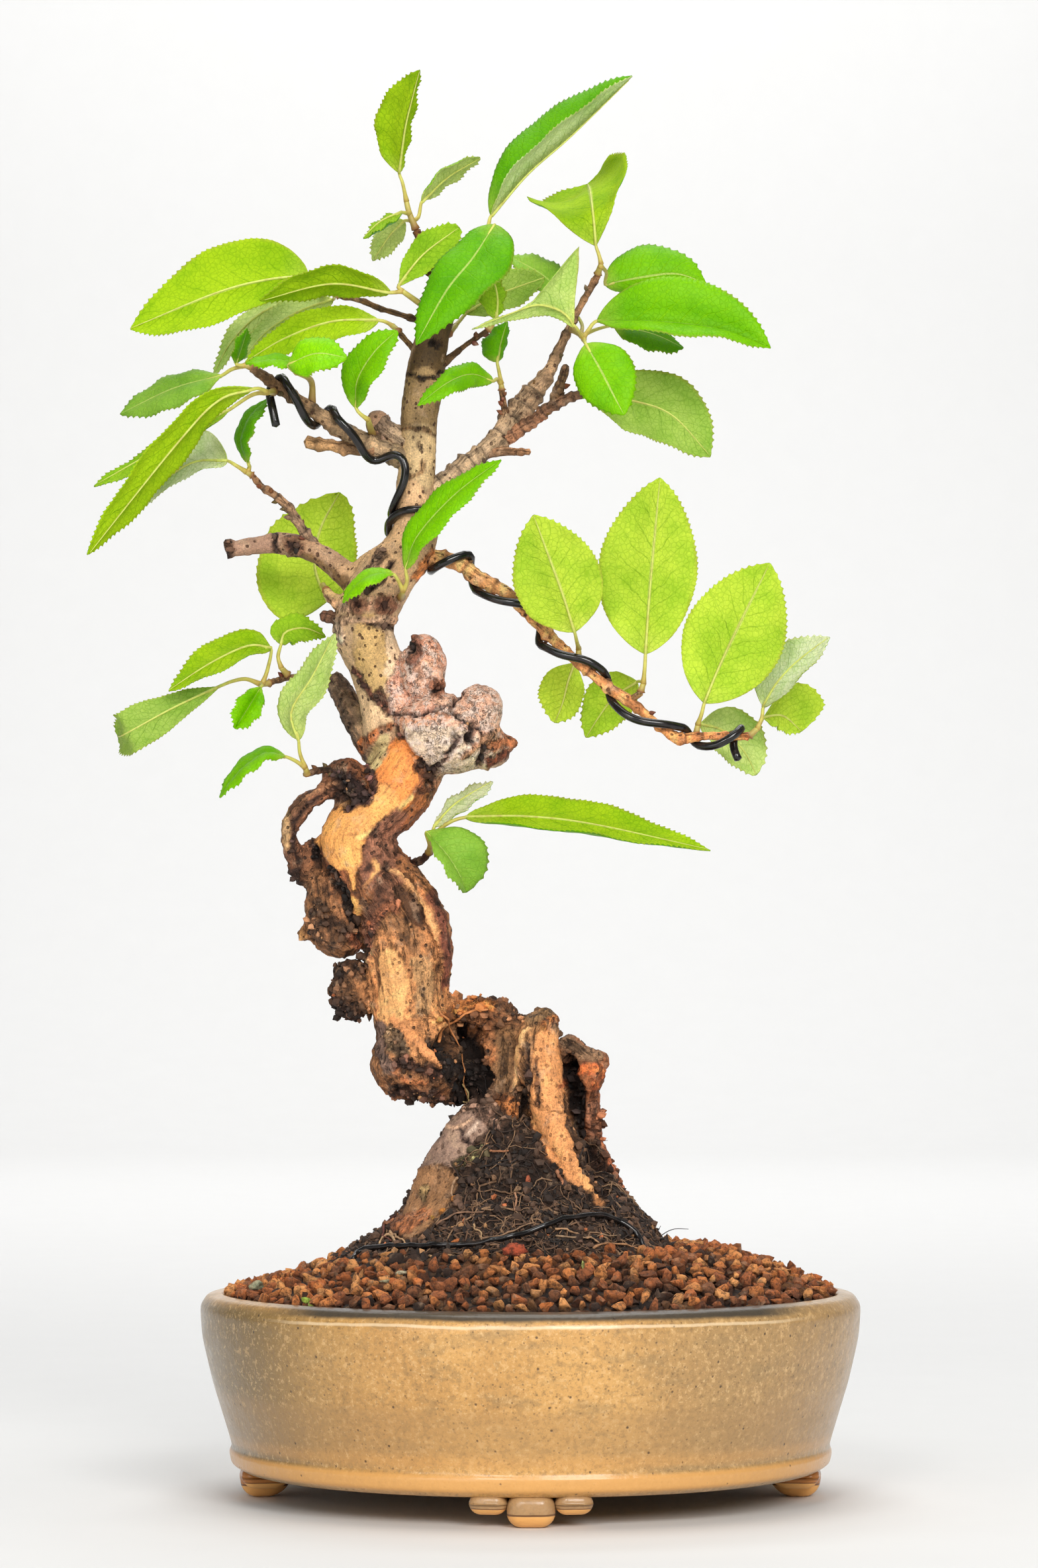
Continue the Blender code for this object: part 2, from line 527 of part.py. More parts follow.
SHOOTS = {
    "shoot_apex": (
        ((628, 346, 4), (618, 321, 4), (613, 300, 4)),
        leaf(((614, 304, 4), (608, 276, 3)),
             ((603, 262, 3), (609, 215, 0), (615, 180, -2), (634, 106, -6)),
             (46, 4, 8), (9, 6, 0)),
        leaf(((621, 334, 4), (632, 328, 5)), ((637, 305, 6), (675, 268, 9), (725, 238, 12)),
             (12, -6, 0), (12, 6, 0), 0.5),
        leaf(((619, 323, 4), (613, 322, 3)), ((607, 321, 2), (575, 336, -2), (549, 360, -5)),
             (7, -6, 0), (5, 6, 0)),
        leaf(((622, 334, 4), (617, 333, 7)), ((610, 334, 9), (588, 356, 13), (563, 394, 17)),
             (20, 3, 0), (21, -3, 0)),
    ),
    "shoot_crown": (
        ((686, 446, 1), (712, 405, -1), (734, 356, -2)),
        leaf(((733, 358, -2), (738, 340, -2)),
             ((742, 326, -1), (797, 262, 0), (862, 205, 1), (955, 115, 2)),
             (52, 5, 0), (-24, -7, 0)),
        leaf(((733, 358, -2), (744, 346, -4)),
             ((747, 340, -6), (715, 390, -9), (675, 440, -11), (629, 521, -12)),
             (54, -3, -38), (52, 4, -6), 0.46),
    ),
    "shoot_behind_crown": (
        ((650, 470, -1), (625, 452, -3), (608, 440, -4)),
        leaf(((608, 440, -4), (604, 436, -4)), ((602, 432, -4), (640, 385, -2), (694, 344, 0)),
             (26, 3, 0), (26, -2, 0), 0.6),
        leaf(((608, 440, -4), (600, 441, -4)), ((590, 442, -4), (500, 428, -5), (392, 454, -6)),
             (20, 5, 0), (26, -5, 0)),
    ),
    "shoot_right_top": (
        ((903, 414, 5), (908, 399, 4)),
        leaf(((908, 399, 4), (905, 386, 4)),
             ((900, 371, 4), (896, 322, 4), (892, 290, 12), (888, 278, 26)),
             (94, 0, 6), (62, 0, 42), 0.5),
        leaf(((907, 402, 4), (916, 412, 7)),
             ((914, 430, 9), (960, 421, 10), (1020, 414, 11), (1066, 428, 12)),
             (46, 5, -8), (26, 4, 0)),
    ),
    "shoot_right_mid": (
        ((864, 497, 5), (876, 505, 2), (882, 513, 0)),
        leaf(((882, 513, 0), (868, 492, -3)),
             ((851, 473, -4), (815, 463, -6), (775, 475, -9), (708, 500, -12)),
             (18, 4, 0), (84, 5, -62), 0.36),
        leaf(((882, 512, 0), (883, 516, -2)),
             ((885, 520, -4), (908, 560, -5), (926, 595, -6), (943, 627, -7)),
             (48, 0, 0), (44, 2, 0)),
        leaf(((881, 511, 0), (890, 497, 1)),
             ((902, 485, 1), (1000, 489, -1), (1090, 500, -2), (1164, 526, -3)),
             (72, -2, 0), (14, -8, 0)),
        leaf(((878, 508, 1), (900, 498, 5)), ((926, 492, 8), (985, 505, 10), (1032, 526, 11)),
             (12, 5, 0), (24, -3, 10)),
        leaf(((877, 506, 2), (879, 490, 8), (864, 466, 11)),
             ((850, 446, 12), (818, 416, 12), (768, 387, 13)),
             (20, -4, 0), (26, 5, -10)),
    ),
    "shoot_fork": (
        ((884, 595, -1), (892, 597, 0)),
        leaf(((892, 597, 0), (896, 599, 2)),
             ((900, 601, 3), (955, 606, 5), (1015, 628, 6), (1073, 690, 7)),
             (56, 3, 10), (47, -4, 0)),
    ),
    "shoot_middle_spur": (
        ((758, 589, 4), (757, 580, 4)),
        leaf(((757, 580, 4), (751, 573, 3)),
             ((744, 576, 0), (712, 566, -4), (678, 578, -8), (631, 613, -10)),
             (20, -2, 0), (18, 3, 0)),
        leaf(((757, 579, 4), (754, 562, 5)), ((751, 547, 5), (757, 518, 6), (766, 486, 8)),
             (27, 4, -10), (6, 4, 0)),
    ),
    "shoot_crown_twig": (
        ((737, 499, -4), (742, 493, -4)),
        leaf(((742, 493, -4), (746, 488, -4)), ((749, 482, -4), (750, 445, -5), (738, 403, -6)),
             (27, -5, 0), (13, 7, 0), 0.5),
    ),
    "shoot_crown_back": (
        ((678, 504, 1), (688, 492, 3.5)),
        leaf(((687, 493, 3.5), (696, 483, 5.5)), ((704, 474, 6.5), (752, 446, 7), (822, 420, 6)),
             (34, 2, 0), (26, -4, 0), 0.5),
    ),
    "shoot_wired_end": (
        ((381, 556, -12), (370, 552, -12)),
        leaf(((371, 552, -12), (362, 552, -12)), ((356, 549, -12), (365, 522, -13), (373, 496, -14)),
             (11, -3, 0), (10, 3, 0)),
        leaf(((371, 552, -12), (350, 558, -11)), ((334, 568, -10), (262, 588, -8), (182, 626, -5)),
             (26, -5, 0), (20, 5, -10), 0.5),
    ),
    "shoot_wired_top": (
        ((471, 614, -6), (470, 576, -8), (447, 562, -15)),
        leaf(((448, 563, -15), (439, 557, -18)), ((436, 551, -19), (478, 535, -21), (524, 541, -22)),
             (26, 3, 0), (30, -3, -14), 0.5),
        leaf(((448, 563, -15), (454, 557, -16)), ((456, 551, -15), (415, 546, -15), (371, 550, -15)),
             (8, -5, 0), (9, 5, 0)),
    ),
    "shoot_wired_low": (
        ((413, 592, -12), (404, 593, -15)),
        leaf(((404, 593, -15), (395, 588, -16)),
             ((385, 587, -17), (330, 604, -19), (268, 668, -21), (132, 838, -24)),
             (25, 7, 0), (27, -5, 0), 0.5),
        leaf(((404, 593, -15), (380, 597, -13)), ((345, 620, -12), (260, 668, -11), (142, 735, -10)),
             (12, -5, 0), (10, 4, 0), 0.5),
    ),
    "shoot_knob": (
        ((562, 655, -3), (556, 634, -9)),
        leaf(((556, 634, -9), (545, 626, -10)),
             ((538, 617, -10), (541, 575, -11), (566, 533, -12), (600, 500, -12)),
             (30, 3, 0), (24, -4, 0), 0.5),
    ),
    "shoot_first_twig": (
        ((602, 501, -2), (594, 493, -1)),
        leaf(((594, 493, -1), (584, 487, 0)),
             ((572, 484, 0), (500, 487, 1), (430, 512, 2), (370, 548, 3)),
             (28, -5, 0), (26, 2, 0)),
    ),
    "shoot_second_twig": (
        ((512, 447, 5), (503, 443, 5)),
        leaf(((503, 443, 5), (484, 428, 5)),
             ((466, 417, 4), (400, 424, 3), (325, 444, 1), (197, 497, -1)),
             (42, -5, 22), (68, 5, -22)),
        leaf(((503, 443, 5), (505, 448, 8)),
             ((503, 453, 10), (450, 472, 12), (403, 502, 13), (368, 542, 13)),
             (22, -3, 0), (24, 4, 0)),
        leaf(((503, 443, 5), (490, 444, 10)),
             ((470, 452, 15), (402, 470, 19), (352, 515, 19), (322, 568, 18)),
             (16, -3, 0), (18, 5, 0)),
    ),
    "shoot_lower_left": (
        ((381, 718, -3), (372, 713, -3)),
        leaf(((372, 713, -3), (356, 703, -4)),
             ((343, 696, -3), (290, 700, 0), (235, 738, 2), (186, 785, 3)),
             (14, -3, 0), (52, 4, -6), 0.36),
        leaf(((374, 713, -3), (377, 706, -3)),
             ((375, 700, -4), (366, 665, -4), (381, 628, -4), (406, 604, -4)),
             (9, 6, 0), (12, -6, 0), 0.5),
    ),
    "shoot_bud_collar": (
        ((493, 892, 2), (488, 884, 5)),
        leaf(((488, 884, 5), (490, 896, 9)),
             ((494, 908, 12), (476, 856, 13), (484, 800, 14), (513, 744, 15)),
             (84, 2, -44), (64, 2, -10), 0.42),
    ),
    "shoot_back_twig": (
        ((407, 1032, 5), (394, 1034, 4)),
        leaf(((396, 1034, 4), (404, 1012, 4)),
             ((410, 980, 3), (375, 977, 1), (318, 1003, -2), (255, 1044, -5)),
             (16, -5, 0), (30, 6, 0), 0.42),
        leaf(((394, 1034, 4), (372, 1026, 3), (352, 1029, 2)),
             ((334, 1036, 1), (262, 1070, -3), (192, 1108, -6), (178, 1113, 2)),
             (31, -2, 0), (33, 3, 0), 0.66),
        leaf(((394, 1034, 4), (396, 1036, 1)), ((394, 1038, -1), (376, 1068, -3), (355, 1101, -5)),
             (20, -4, 0), (20, -4, 0), 0.5),
    ),
    "shoot_back_twig_top": (
        ((434, 1019, 6), (424, 1008, 5)),
        leaf(((425, 1009, 5), (420, 992, 5)),
             ((425, 973, 6), (432, 956, 7), (460, 950, 8), (492, 962, 9)),
             (24, 4, -8), (20, -4, 0), 0.4),
    ),
    "shoot_knob_spur": (
        ((464, 1169, -4), (461, 1160, -5)),
        leaf(((461, 1160, -5), (453, 1138, -6)),
             ((451, 1118, -7), (441, 1075, -8), (473, 1022, -9), (506, 957, -9)),
             (26, 5, 0), (27, -4, 0)),
        leaf(((461, 1160, -5), (447, 1150, -6)),
             ((431, 1143, -7), (400, 1142, -8), (364, 1168, -9), (332, 1205, -10)),
             (9, -7, 0), (13, 7, 0)),
    ),
    "shoot_trunk_front": (
        ((606, 902, -5), (609, 893, -10)),
        leaf(((609, 893, -10), (615, 878, -11)),
             ((613, 860, -12), (632, 810, -13), (688, 748, -14), (757, 695, -15)),
             (25, 4, 0), (21, -5, 0)),
        leaf(((609, 893, -10), (602, 878, -11)),
             ((594, 867, -12), (568, 869, -12), (540, 885, -12), (518, 911, -12)),
             (11, -6, 0), (10, 6, 0)),
    ),
    "shoot_long_first": (
        ((874, 992, -4), (874, 980, -4)),
        leaf(((874, 980, -4), (871, 968, -7)),
             ((868, 955, -9), (851, 900, -11), (829, 840, -12), (806, 778, -13)),
             (66, 3, 0), (66, -1, 0)),
        leaf(((874, 981, -4), (873, 983, 0)),
             ((868, 1002, 2), (858, 1030, 2), (850, 1062, 3), (838, 1092, 4)),
             (28, 2, 0), (40, 2, 0), 0.5),
    ),
    "shoot_long_second": (
        ((968, 1045, -6), (972, 1032, -6)),
        leaf(((972, 1032, -6), (974, 1008, -7)),
             ((975, 988, -7), (981, 900, -8), (990, 800, -9), (997, 722, -10)),
             (80, 3, 0), (68, 3, 0), 0.46),
        leaf(((972, 1033, -6), (970, 1030, -1)),
             ((962, 1030, 2), (928, 1052, 4.5), (903, 1085, 6), (885, 1114, 6)),
             (36, 2, 0), (38, -2, 0)),
    ),
    "shoot_long_third": (
        ((1052, 1108, -3), (1054, 1095, -3)),
        leaf(((1054, 1095, -3), (1060, 1078, -4)),
             ((1064, 1062, -4), (1090, 1000, -5), (1126, 925, -7), (1163, 851, -8)),
             (74, 3, 0), (76, -2, 0), 0.46),
        leaf(((1054, 1097, -3), (1056, 1096, 0)),
             ((1058, 1094, 2), (1092, 1104, 4), (1124, 1136, 5), (1142, 1171, 5)),
             (44, 3, 0), (30, -2, 0), 0.5),
    ),
    "shoot_long_end": (
        ((1132, 1112, -2), (1144, 1101, -2)),
        leaf(((1144, 1101, -2), (1151, 1084, -2)),
             ((1153, 1068, -2), (1176, 1030, -4), (1207, 998, -5), (1253, 963, -7)),
             (38, 5, 0), (20, -6, 0)),
        leaf(((1144, 1101, -2), (1149, 1092, 1)), ((1154, 1084, 2), (1182, 1082, 3), (1210, 1105, 4)),
             (56, 3, 26), (20, -3, 0), 0.5),
    ),
    "shoot_low_right": (
        ((648, 1288, -1), (651, 1274, -3)),
        leaf(((651, 1275, -3), (653, 1262, -3)), ((656, 1249, -3), (690, 1214, -1), (744, 1181, 1)),
             (12, 5, 0), (14, -5, 0), 0.5),
        leaf(((650, 1277, -3), (646, 1267, -5)),
             ((643, 1257, -6), (670, 1288, -7), (690, 1318, -7), (704, 1348, -6)),
             (58, 2, 0), (13, -6, 0), 0.55),
        leaf(((651, 1274, -3), (660, 1257, -3), (680, 1242, -4)),
             ((703, 1235, -4), (800, 1235, -6), (900, 1247, -8), (1073, 1285, -11)),
             (35, 7, 0), (13, -8, 0), 0.4),
    ),
}  # fmt: skip


def outline(share, belly):
    """A leaf's half width along its rib, 1 at the belly and 0 at both ends."""
    if share <= 0.0 or share >= 1.0:
        return 0.0
    rise = 1.55 * belly
    return (share / belly) ** rise * ((1 - share) / (1 - belly)) ** (1.55 - rise)


def blade(shape, stations):
    """A thin folded blade with a toothed edge, its two faces split into triangles alike."""
    last = 2 * stations
    rib = smooth_path(shape["rib"], last + 1)
    whole = rib[-1, :2] - rib[0, :2]
    whole /= np.hypot(*whole)
    ribs, lefts, rights = [], [], []
    for k, (column, row, depth) in enumerate(rib):
        ahead = rib[min(k + 1, last), :2] - rib[max(k - 1, 0), :2]
        ahead = ahead / (np.hypot(*ahead) + 1e-9) + 0.35 * whole
        ahead /= np.hypot(*ahead)
        side = np.array((ahead[1], -ahead[0]))
        wide = outline(k / last, shape["belly"]) * (1.06 if k % 2 else 0.95)
        ribs.append(spot(column, row, depth))
        for edges, (reach, deep, along), hand in ((lefts, shape["left"], 1), (rights, shape["right"], -1)):
            shift = (hand * reach * side + along * ahead) * wide
            edges.append(spot(column + shift[0], row + shift[1], depth + deep * wide))

    body = bmesh.new()
    half = BLADE_THICK / 2

    def pair(place, normal):
        return body.verts.new(place + half * normal), body.verts.new(place - half * normal)

    middle, left, right = [], [], []
    for k in range(last + 1):
        near = min(max(k, 1), last - 1)
        ahead = ribs[near + 1] - ribs[near - 1]
        left_normal = ahead.cross(lefts[near] - ribs[near]).normalized()
        right_normal = (rights[near] - ribs[near]).cross(ahead).normalized()
        if k % 2 == 0:
            middle.append(pair(ribs[k], (left_normal + right_normal).normalized()))
        if 0 < k < last:
            left.append(pair(lefts[k], left_normal))
            right.append(pair(rights[k], right_normal))
    for edge in (left, right):
        path = [middle[0], *edge, middle[-1]]
        for face in (0, 1):
            for k in range(stations):
                a, b = middle[k][face], middle[k + 1][face]
                fan = [path[2 * k][face], path[2 * k + 1][face], path[2 * k + 2][face]]
                if k > 0:
                    body.faces.new((a, fan[0], fan[1]))
                body.faces.new((a, fan[1], b))
                if k < stations - 1:
                    body.faces.new((b, fan[1], fan[2]))
        for one, two in zip(path, path[1:]):
            body.faces.new((one[0], two[0], two[1]))
            body.faces.new((one[0], two[1], one[1]))
    return shaped("blade", body)


def push_from(place, wood, distance):
    """How far and which way this place has to move to be the distance away from the wood."""
    near, normal, _, reach = wood.find_nearest(place)
    inside = (place - near).dot(normal) < 0
    if not inside and reach >= distance:
        return Vector((0.0, 0.0, 0.0))
    way = normal if inside or reach < 1e-6 else (place - near).normalized()
    return near + way * distance - place


def seat(start, after, radius, wood):
    """Where a stem that comes from the point after meets the wood, so that its end's rim just clears it."""
    way = (start - after).normalized()
    hit = wood.ray_cast(after, way, (start - after).length + 4 * MM)[0]
    place = start if hit is None else hit
    side = way.orthogonal().normalized()
    other = way.cross(side)
    turns = [math.tau * k / 12 for k in range(12)]
    rim = [radius * (math.cos(t) * side + math.sin(t) * other) for t in turns]
    for _ in range(60):
        if max(push_from(place + edge, wood, GAP).length for edge in rim) < 0.02 * MM:
            break
        place = place - way * 0.06 * MM
    return place


def reached(places, base):
    """The same places in the picture, with their depths from the shoot's base stretched."""
    return [(column, row, base + LEAF_REACH * (depth - base)) for column, row, depth in places]


def make_shoot(name, stem, leaves, wood):
    """A short green stem that starts just off the wood, with its leaves."""
    base = stem[0][2]
    stem = reached(stem, base)
    leaves = [dict(shape, petiole=reached(shape["petiole"], base), rib=reached(shape["rib"], base))
              for shape in leaves]
    radius = STEM_RADIUS
    start = seat(spot(*stem[0]), spot(*stem[1]), radius, wood)
    path = [start] + [spot(*place) for place in stem[1:]]
    pieces = [tube(name, path, [radius] * (len(path) - 1) + [0.8 * radius], 6)]
    for shape in leaves:
        rib = shape["rib"]
        inside = [a + 0.3 * (b - a) for a, b in zip(rib[0], rib[1])]
        knots = [*shape["petiole"], rib[0], inside]
        run = smooth_path(knots, len(knots))
        thin = np.linspace(PETIOLE_RADIUS, 0.8 * PETIOLE_RADIUS, len(run))
        pieces.append(tube("petiole", [spot(*place) for place in run], thin, 4))
        long = sum(math.dist(a, b) for a, b in zip(rib, rib[1:]))
        pieces.append(blade(shape, 5 if long > 250 else 4))
    return combined(name, pieces)


def clear_of(path, wood, distance, rounds=20, smooth_rounds=12):
    """The path pushed off the wood, at its points and between them, and smoothed in its first rounds."""
    path = [Vector(place) for place in path]
    for turn in range(rounds):
        path = [place + push_from(place, wood, distance) for place in path]
        for k in range(len(path) - 1):
            push = push_from((path[k] + path[k + 1]) / 2, wood, distance)
            path[k] += push
            path[k + 1] += push
        if turn < smooth_rounds:
            path[1:-1] = [(a + 2 * b + c) / 4 for a, b, c in zip(path, path[1:], path[2:])]
    return path


# The training wire, from its hanging end on the upper left branch round the trunk to the hook on the long
# branch, as (column, row, depth). A negative depth is in front of the wood, a positive one behind it.
TRAINING_ROUTE = (
    (417, 643, -12), (413, 622, -12), (409, 603, -11.5), (407, 588, -10), (414, 576, -9), (425, 579, -12),
    (438, 583, -12.5), (449, 605, -12), (459, 630, -10), (468, 644, -8), (481, 644, -5.5), (487, 632, -4),
    (494, 627, -4.5), (506, 632, -9), (524, 645, -8.5), (541, 666, -7.5), (551, 688, -6), (561, 701, -4),
    (572, 699, -3.5), (583, 689, -5), (597, 680, -6.2),
    (608, 686, -6.6), (614, 696, -6.6), (616, 706, -6.5),
    (612, 728, -6.5), (602, 748, -5.5), (594, 765, -3), (592, 780, 0), (605, 790, 5), (630, 792, 7.5),
    (655, 787, 5), (668, 779, 0), (660, 774, -5), (640, 770, -6.5), (618, 768, -6.5), (598, 776, -4),
    (587, 792, -0.5), (590, 812, 4), (612, 832, 7.5), (640, 850, 5), (648, 862, -2), (664, 853, -4.5),
    (688, 841, -3.5), (703, 846, -1), (711, 862, 3.5), (716, 886, 0), (728, 897, -3.5), (752, 908, -5),
    (780, 911, -6), (804, 914, -5.5), (817, 930, -2.5), (816, 950, 0.2), (820, 965, -3.5), (832, 983, -6),
    (852, 993, -6.8), (880, 993, -7.3), (902, 1006, -7),
    (920, 1028, -4), (918, 1045, -1.8), (924, 1058, -4.5),
    (942, 1080, -6.8), (972, 1092, -7.3), (1008, 1093, -6.6),
    (1032, 1103, -4.5), (1043, 1110, -1), (1052, 1125, -2),
    (1070, 1131, -4), (1095, 1122, -4.6), (1112, 1108, -4.6),
    (1126, 1097, -3), (1118, 1099, -0.2), (1106, 1110, 0.6),
    (1104, 1124, 0.2), (1107, 1136, -0.6), (1115, 1147, -1.4),
)  # fmt: skip

# The wire that ties the root ball down, across its front, as (column, row).
TIE_ROUTE = (
    (533, 1905), (545, 1893), (580, 1888), (640, 1886),
    (700, 1884), (760, 1875), (800, 1862), (850, 1843),
    (890, 1838), (930, 1845), (958, 1866), (974, 1896),
)  # fmt: skip


def make_training_wire(wood):
    run = smooth_path(TRAINING_ROUTE, 72)
    path = clear_of([spot(*place) for place in run], wood, TRAINING_RADIUS + WIRE_GAP)
    return tube("training_wire", path, [TRAINING_RADIUS] * len(path), 6)


def make_tie_wire(wood, soil):
    """The tie wire lies on the front of the root ball and ends just above the soil."""
    run = smooth_path([(column, row, 0.0) for column, row in TIE_ROUTE], 18)
    path = []
    for column, row, depth in run:
        way = (spot(column, row, depth) - EYE).normalized()
        hits = [tree.ray_cast(EYE, way) for tree in (wood, soil)]
        hits = [hit for hit in hits if hit[0] is not None]
        if hits:
            path.append(min(hits, key=lambda hit: hit[3])[0])
    for _ in range(4):
        path = clear_of(path, wood, TIE_RADIUS + WIRE_GAP, 6, 2)
        path = clear_of(path, soil, TIE_RADIUS + WIRE_GAP, 6, 0)
    path = clear_of(path, wood, TIE_RADIUS + WIRE_GAP, 2, 0)
    return tube("tie_wire", path, [TIE_RADIUS] * len(path), 6)


def tree_of(thing):
    view = bpy.context.evaluated_depsgraph_get()
    return BVHTree.FromObject(thing, view)


def main():
    start_empty()
    glaze = finish("olive_tan_glaze", (0.38, 0.24, 0.10), 0.35)
    clay_grains = finish("baked_clay_grains", (0.30, 0.11, 0.045), 0.9)
    bark = finish("bark_and_wood", (0.36, 0.22, 0.12), 0.75)
    green = finish("leaf_green", (0.25, 0.48, 0.04), 0.5)
    black_wire = finish("black_wire", (0.02, 0.016, 0.014), 0.35, 0.6)
    plastic = finish("black_screen", (0.02, 0.02, 0.02), 0.5)

    pot, screen, soil, trunk = make_pot(), make_screen(), make_soil(), make_trunk()
    wood, ground = tree_of(trunk), tree_of(soil)
    training, tie = make_training_wire(wood), make_tie_wire(wood, ground)
    shoots = [make_shoot(name, stem, leaves, wood) for name, (stem, *leaves) in SHOOTS.items()]

    looks = {
        glaze: [pot],
        plastic: [screen],
        clay_grains: [soil],
        bark: [trunk],
        black_wire: [training, tie],
        green: shoots,
    }
    bonsai = bpy.data.collections.new(NAME)
    bpy.context.scene.collection.children.link(bonsai)
    axis = bpy.data.objects.new("pot_axis", None)
    bonsai.objects.link(axis)
    corners = []
    for look, things in looks.items():
        for thing in things:
            thing.data.materials.clear()
            thing.data.materials.append(look)
            bpy.context.scene.collection.objects.unlink(thing)
            bonsai.objects.link(thing)
            thing.parent = axis
            corners += [vert.co for vert in thing.data.vertices]
    corners = np.array(corners)
    low, high = corners.min(axis=0), corners.max(axis=0)
    axis.location = (-(low[0] + high[0]) / 2, -(low[1] + high[1]) / 2, -low[2])
    bpy.context.view_layer.update()


main()
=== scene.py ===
# %% [markdown]
# # A Chinese quince bonsai
#
# The packed part holds the solids of a small tree in a round pot: pot, soil, drain screen, trunk with its
# root ball, two wires and twenty-six leafy shoots. This script dresses them. It draws finer meshes over
# the solids, gives each its own finish, and sets up a floor, soft light and a camera.

# %% Load the packed part
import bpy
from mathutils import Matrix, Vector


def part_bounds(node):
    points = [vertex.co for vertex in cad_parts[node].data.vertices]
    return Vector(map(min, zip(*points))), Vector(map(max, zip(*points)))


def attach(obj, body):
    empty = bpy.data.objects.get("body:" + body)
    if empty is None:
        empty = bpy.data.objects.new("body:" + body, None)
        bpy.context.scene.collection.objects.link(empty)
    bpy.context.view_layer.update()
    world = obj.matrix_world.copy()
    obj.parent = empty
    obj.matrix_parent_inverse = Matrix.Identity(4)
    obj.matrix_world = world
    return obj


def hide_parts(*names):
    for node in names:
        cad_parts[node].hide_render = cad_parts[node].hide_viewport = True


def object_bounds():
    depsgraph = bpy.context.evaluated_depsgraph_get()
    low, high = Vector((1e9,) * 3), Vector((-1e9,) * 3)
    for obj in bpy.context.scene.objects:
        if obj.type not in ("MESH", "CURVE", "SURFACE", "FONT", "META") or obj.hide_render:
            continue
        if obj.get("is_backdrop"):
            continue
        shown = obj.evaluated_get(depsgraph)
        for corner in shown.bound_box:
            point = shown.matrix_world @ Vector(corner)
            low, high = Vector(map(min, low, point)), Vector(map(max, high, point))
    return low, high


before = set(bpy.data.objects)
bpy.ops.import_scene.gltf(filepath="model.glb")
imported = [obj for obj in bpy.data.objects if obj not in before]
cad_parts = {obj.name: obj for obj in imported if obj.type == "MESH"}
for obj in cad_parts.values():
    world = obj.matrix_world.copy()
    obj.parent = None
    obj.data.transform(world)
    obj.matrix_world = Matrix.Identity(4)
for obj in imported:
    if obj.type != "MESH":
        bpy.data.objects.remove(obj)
part_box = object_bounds()
print("nodes:", len(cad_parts))

# %% Tools
import math
import random

import bmesh
import bpy
import numpy as np
from mathutils import Matrix, Vector, noise
from mathutils.bvhtree import BVHTree

MM = 0.001
print("one millimetre is", MM, "m")

# %% [markdown]
# ## Places read from the picture
#
# The tree has no regular shape, so its places are read off the photograph as column, row and a guessed
# depth. They could be modelled by eye in three dimensions, but reading them through the same viewpoint
# that the camera gets later makes every branch fall on its place in the picture. Depths are millimetres
# behind the pot's axis. One pixel spans 0.15 mm there.

# %% The viewpoint
PIXEL = 0.15 * MM
FOCAL = 6700.0
MIDDLE_COLUMN, MIDDLE_ROW = 784.0, 1184.5
PITCH = math.radians(2.87)
EYE = np.array((-2.55 * MM, -1005.0 * MM, 110.0 * MM))
pot_low, pot_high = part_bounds("pot")
POT_AXIS = np.array(((pot_low.x + pot_high.x) / 2, (pot_low.y + pot_high.y) / 2, 0.0))


def spots(places):
    """Points of the part for (column, row, depth) rows."""
    places = np.atleast_2d(np.asarray(places, float))
    across, up = places[:, 0] - MIDDLE_COLUMN, MIDDLE_ROW - places[:, 1]
    forward = FOCAL * math.cos(PITCH) - up * math.sin(PITCH)
    rise = FOCAL * math.sin(PITCH) + up * math.cos(PITCH)
    reach = (places[:, 2] * MM - EYE[1]) / forward
    return EYE + POT_AXIS + np.stack([across, forward, rise], axis=1) * reach[:, None]


def seen(points):
    """The (column, row, depth) of points of the part."""
    ray = points - POT_AXIS - EYE
    forward = ray[:, 1] * math.cos(PITCH) + ray[:, 2] * math.sin(PITCH)
    rise = ray[:, 2] * math.cos(PITCH) - ray[:, 1] * math.sin(PITCH)
    column = MIDDLE_COLUMN + FOCAL * ray[:, 0] / forward
    row = MIDDLE_ROW - FOCAL * rise / forward
    return np.stack([column, row, (ray[:, 1] + EYE[1]) / MM], axis=1)


def breadth(pixels, depth=0.0):
    """The real length of a width in pixels at a depth in millimetres."""
    return pixels * PIXEL * (np.asarray(depth) * MM - EYE[1]) / -EYE[1]


print("pot axis", POT_AXIS.round(4), "middle of the picture at", spots((784, 1184, 0)).round(3))


# %% Smooth lines through a few places
def smooth_path(points, count):
    """Evenly spaced points on a smooth curve through (column, row, depth, more...) points."""
    knots = np.array(points, float)
    padded = np.vstack([2 * knots[0] - knots[1], knots, 2 * knots[-1] - knots[-2]])
    fine = []
    for k in range(len(knots) - 1):
        p0, p1, p2, p3 = padded[k : k + 4]
        for t in np.linspace(0.0, 1.0, 16, endpoint=False):
            bend = (2 * p0 - 5 * p1 + 4 * p2 - p3) * t**2 + (3 * p1 - p0 - 3 * p2 + p3) * t**3
            fine.append(0.5 * (2 * p1 + (p2 - p0) * t + bend))
    fine = np.array(fine + [knots[-1]])
    steps = np.diff(fine[:, :3], axis=0) * (1.0, 1.0, MM / PIXEL)
    run = np.concatenate([[0.0], np.cumsum(np.linalg.norm(steps, axis=1))])
    wanted = np.linspace(0.0, run[-1], count)
    return np.stack([np.interp(wanted, run, column) for column in fine.T], axis=1)


def path_length(points):
    """Length in pixels."""
    steps = np.diff(np.array(points, float)[:, :3], axis=0) * (1.0, 1.0, MM / PIXEL)
    return float(np.linalg.norm(steps, axis=1).sum())


print("three by four pixels across:", path_length(((0, 0, 0), (3, 4, 0))), "pixels long")


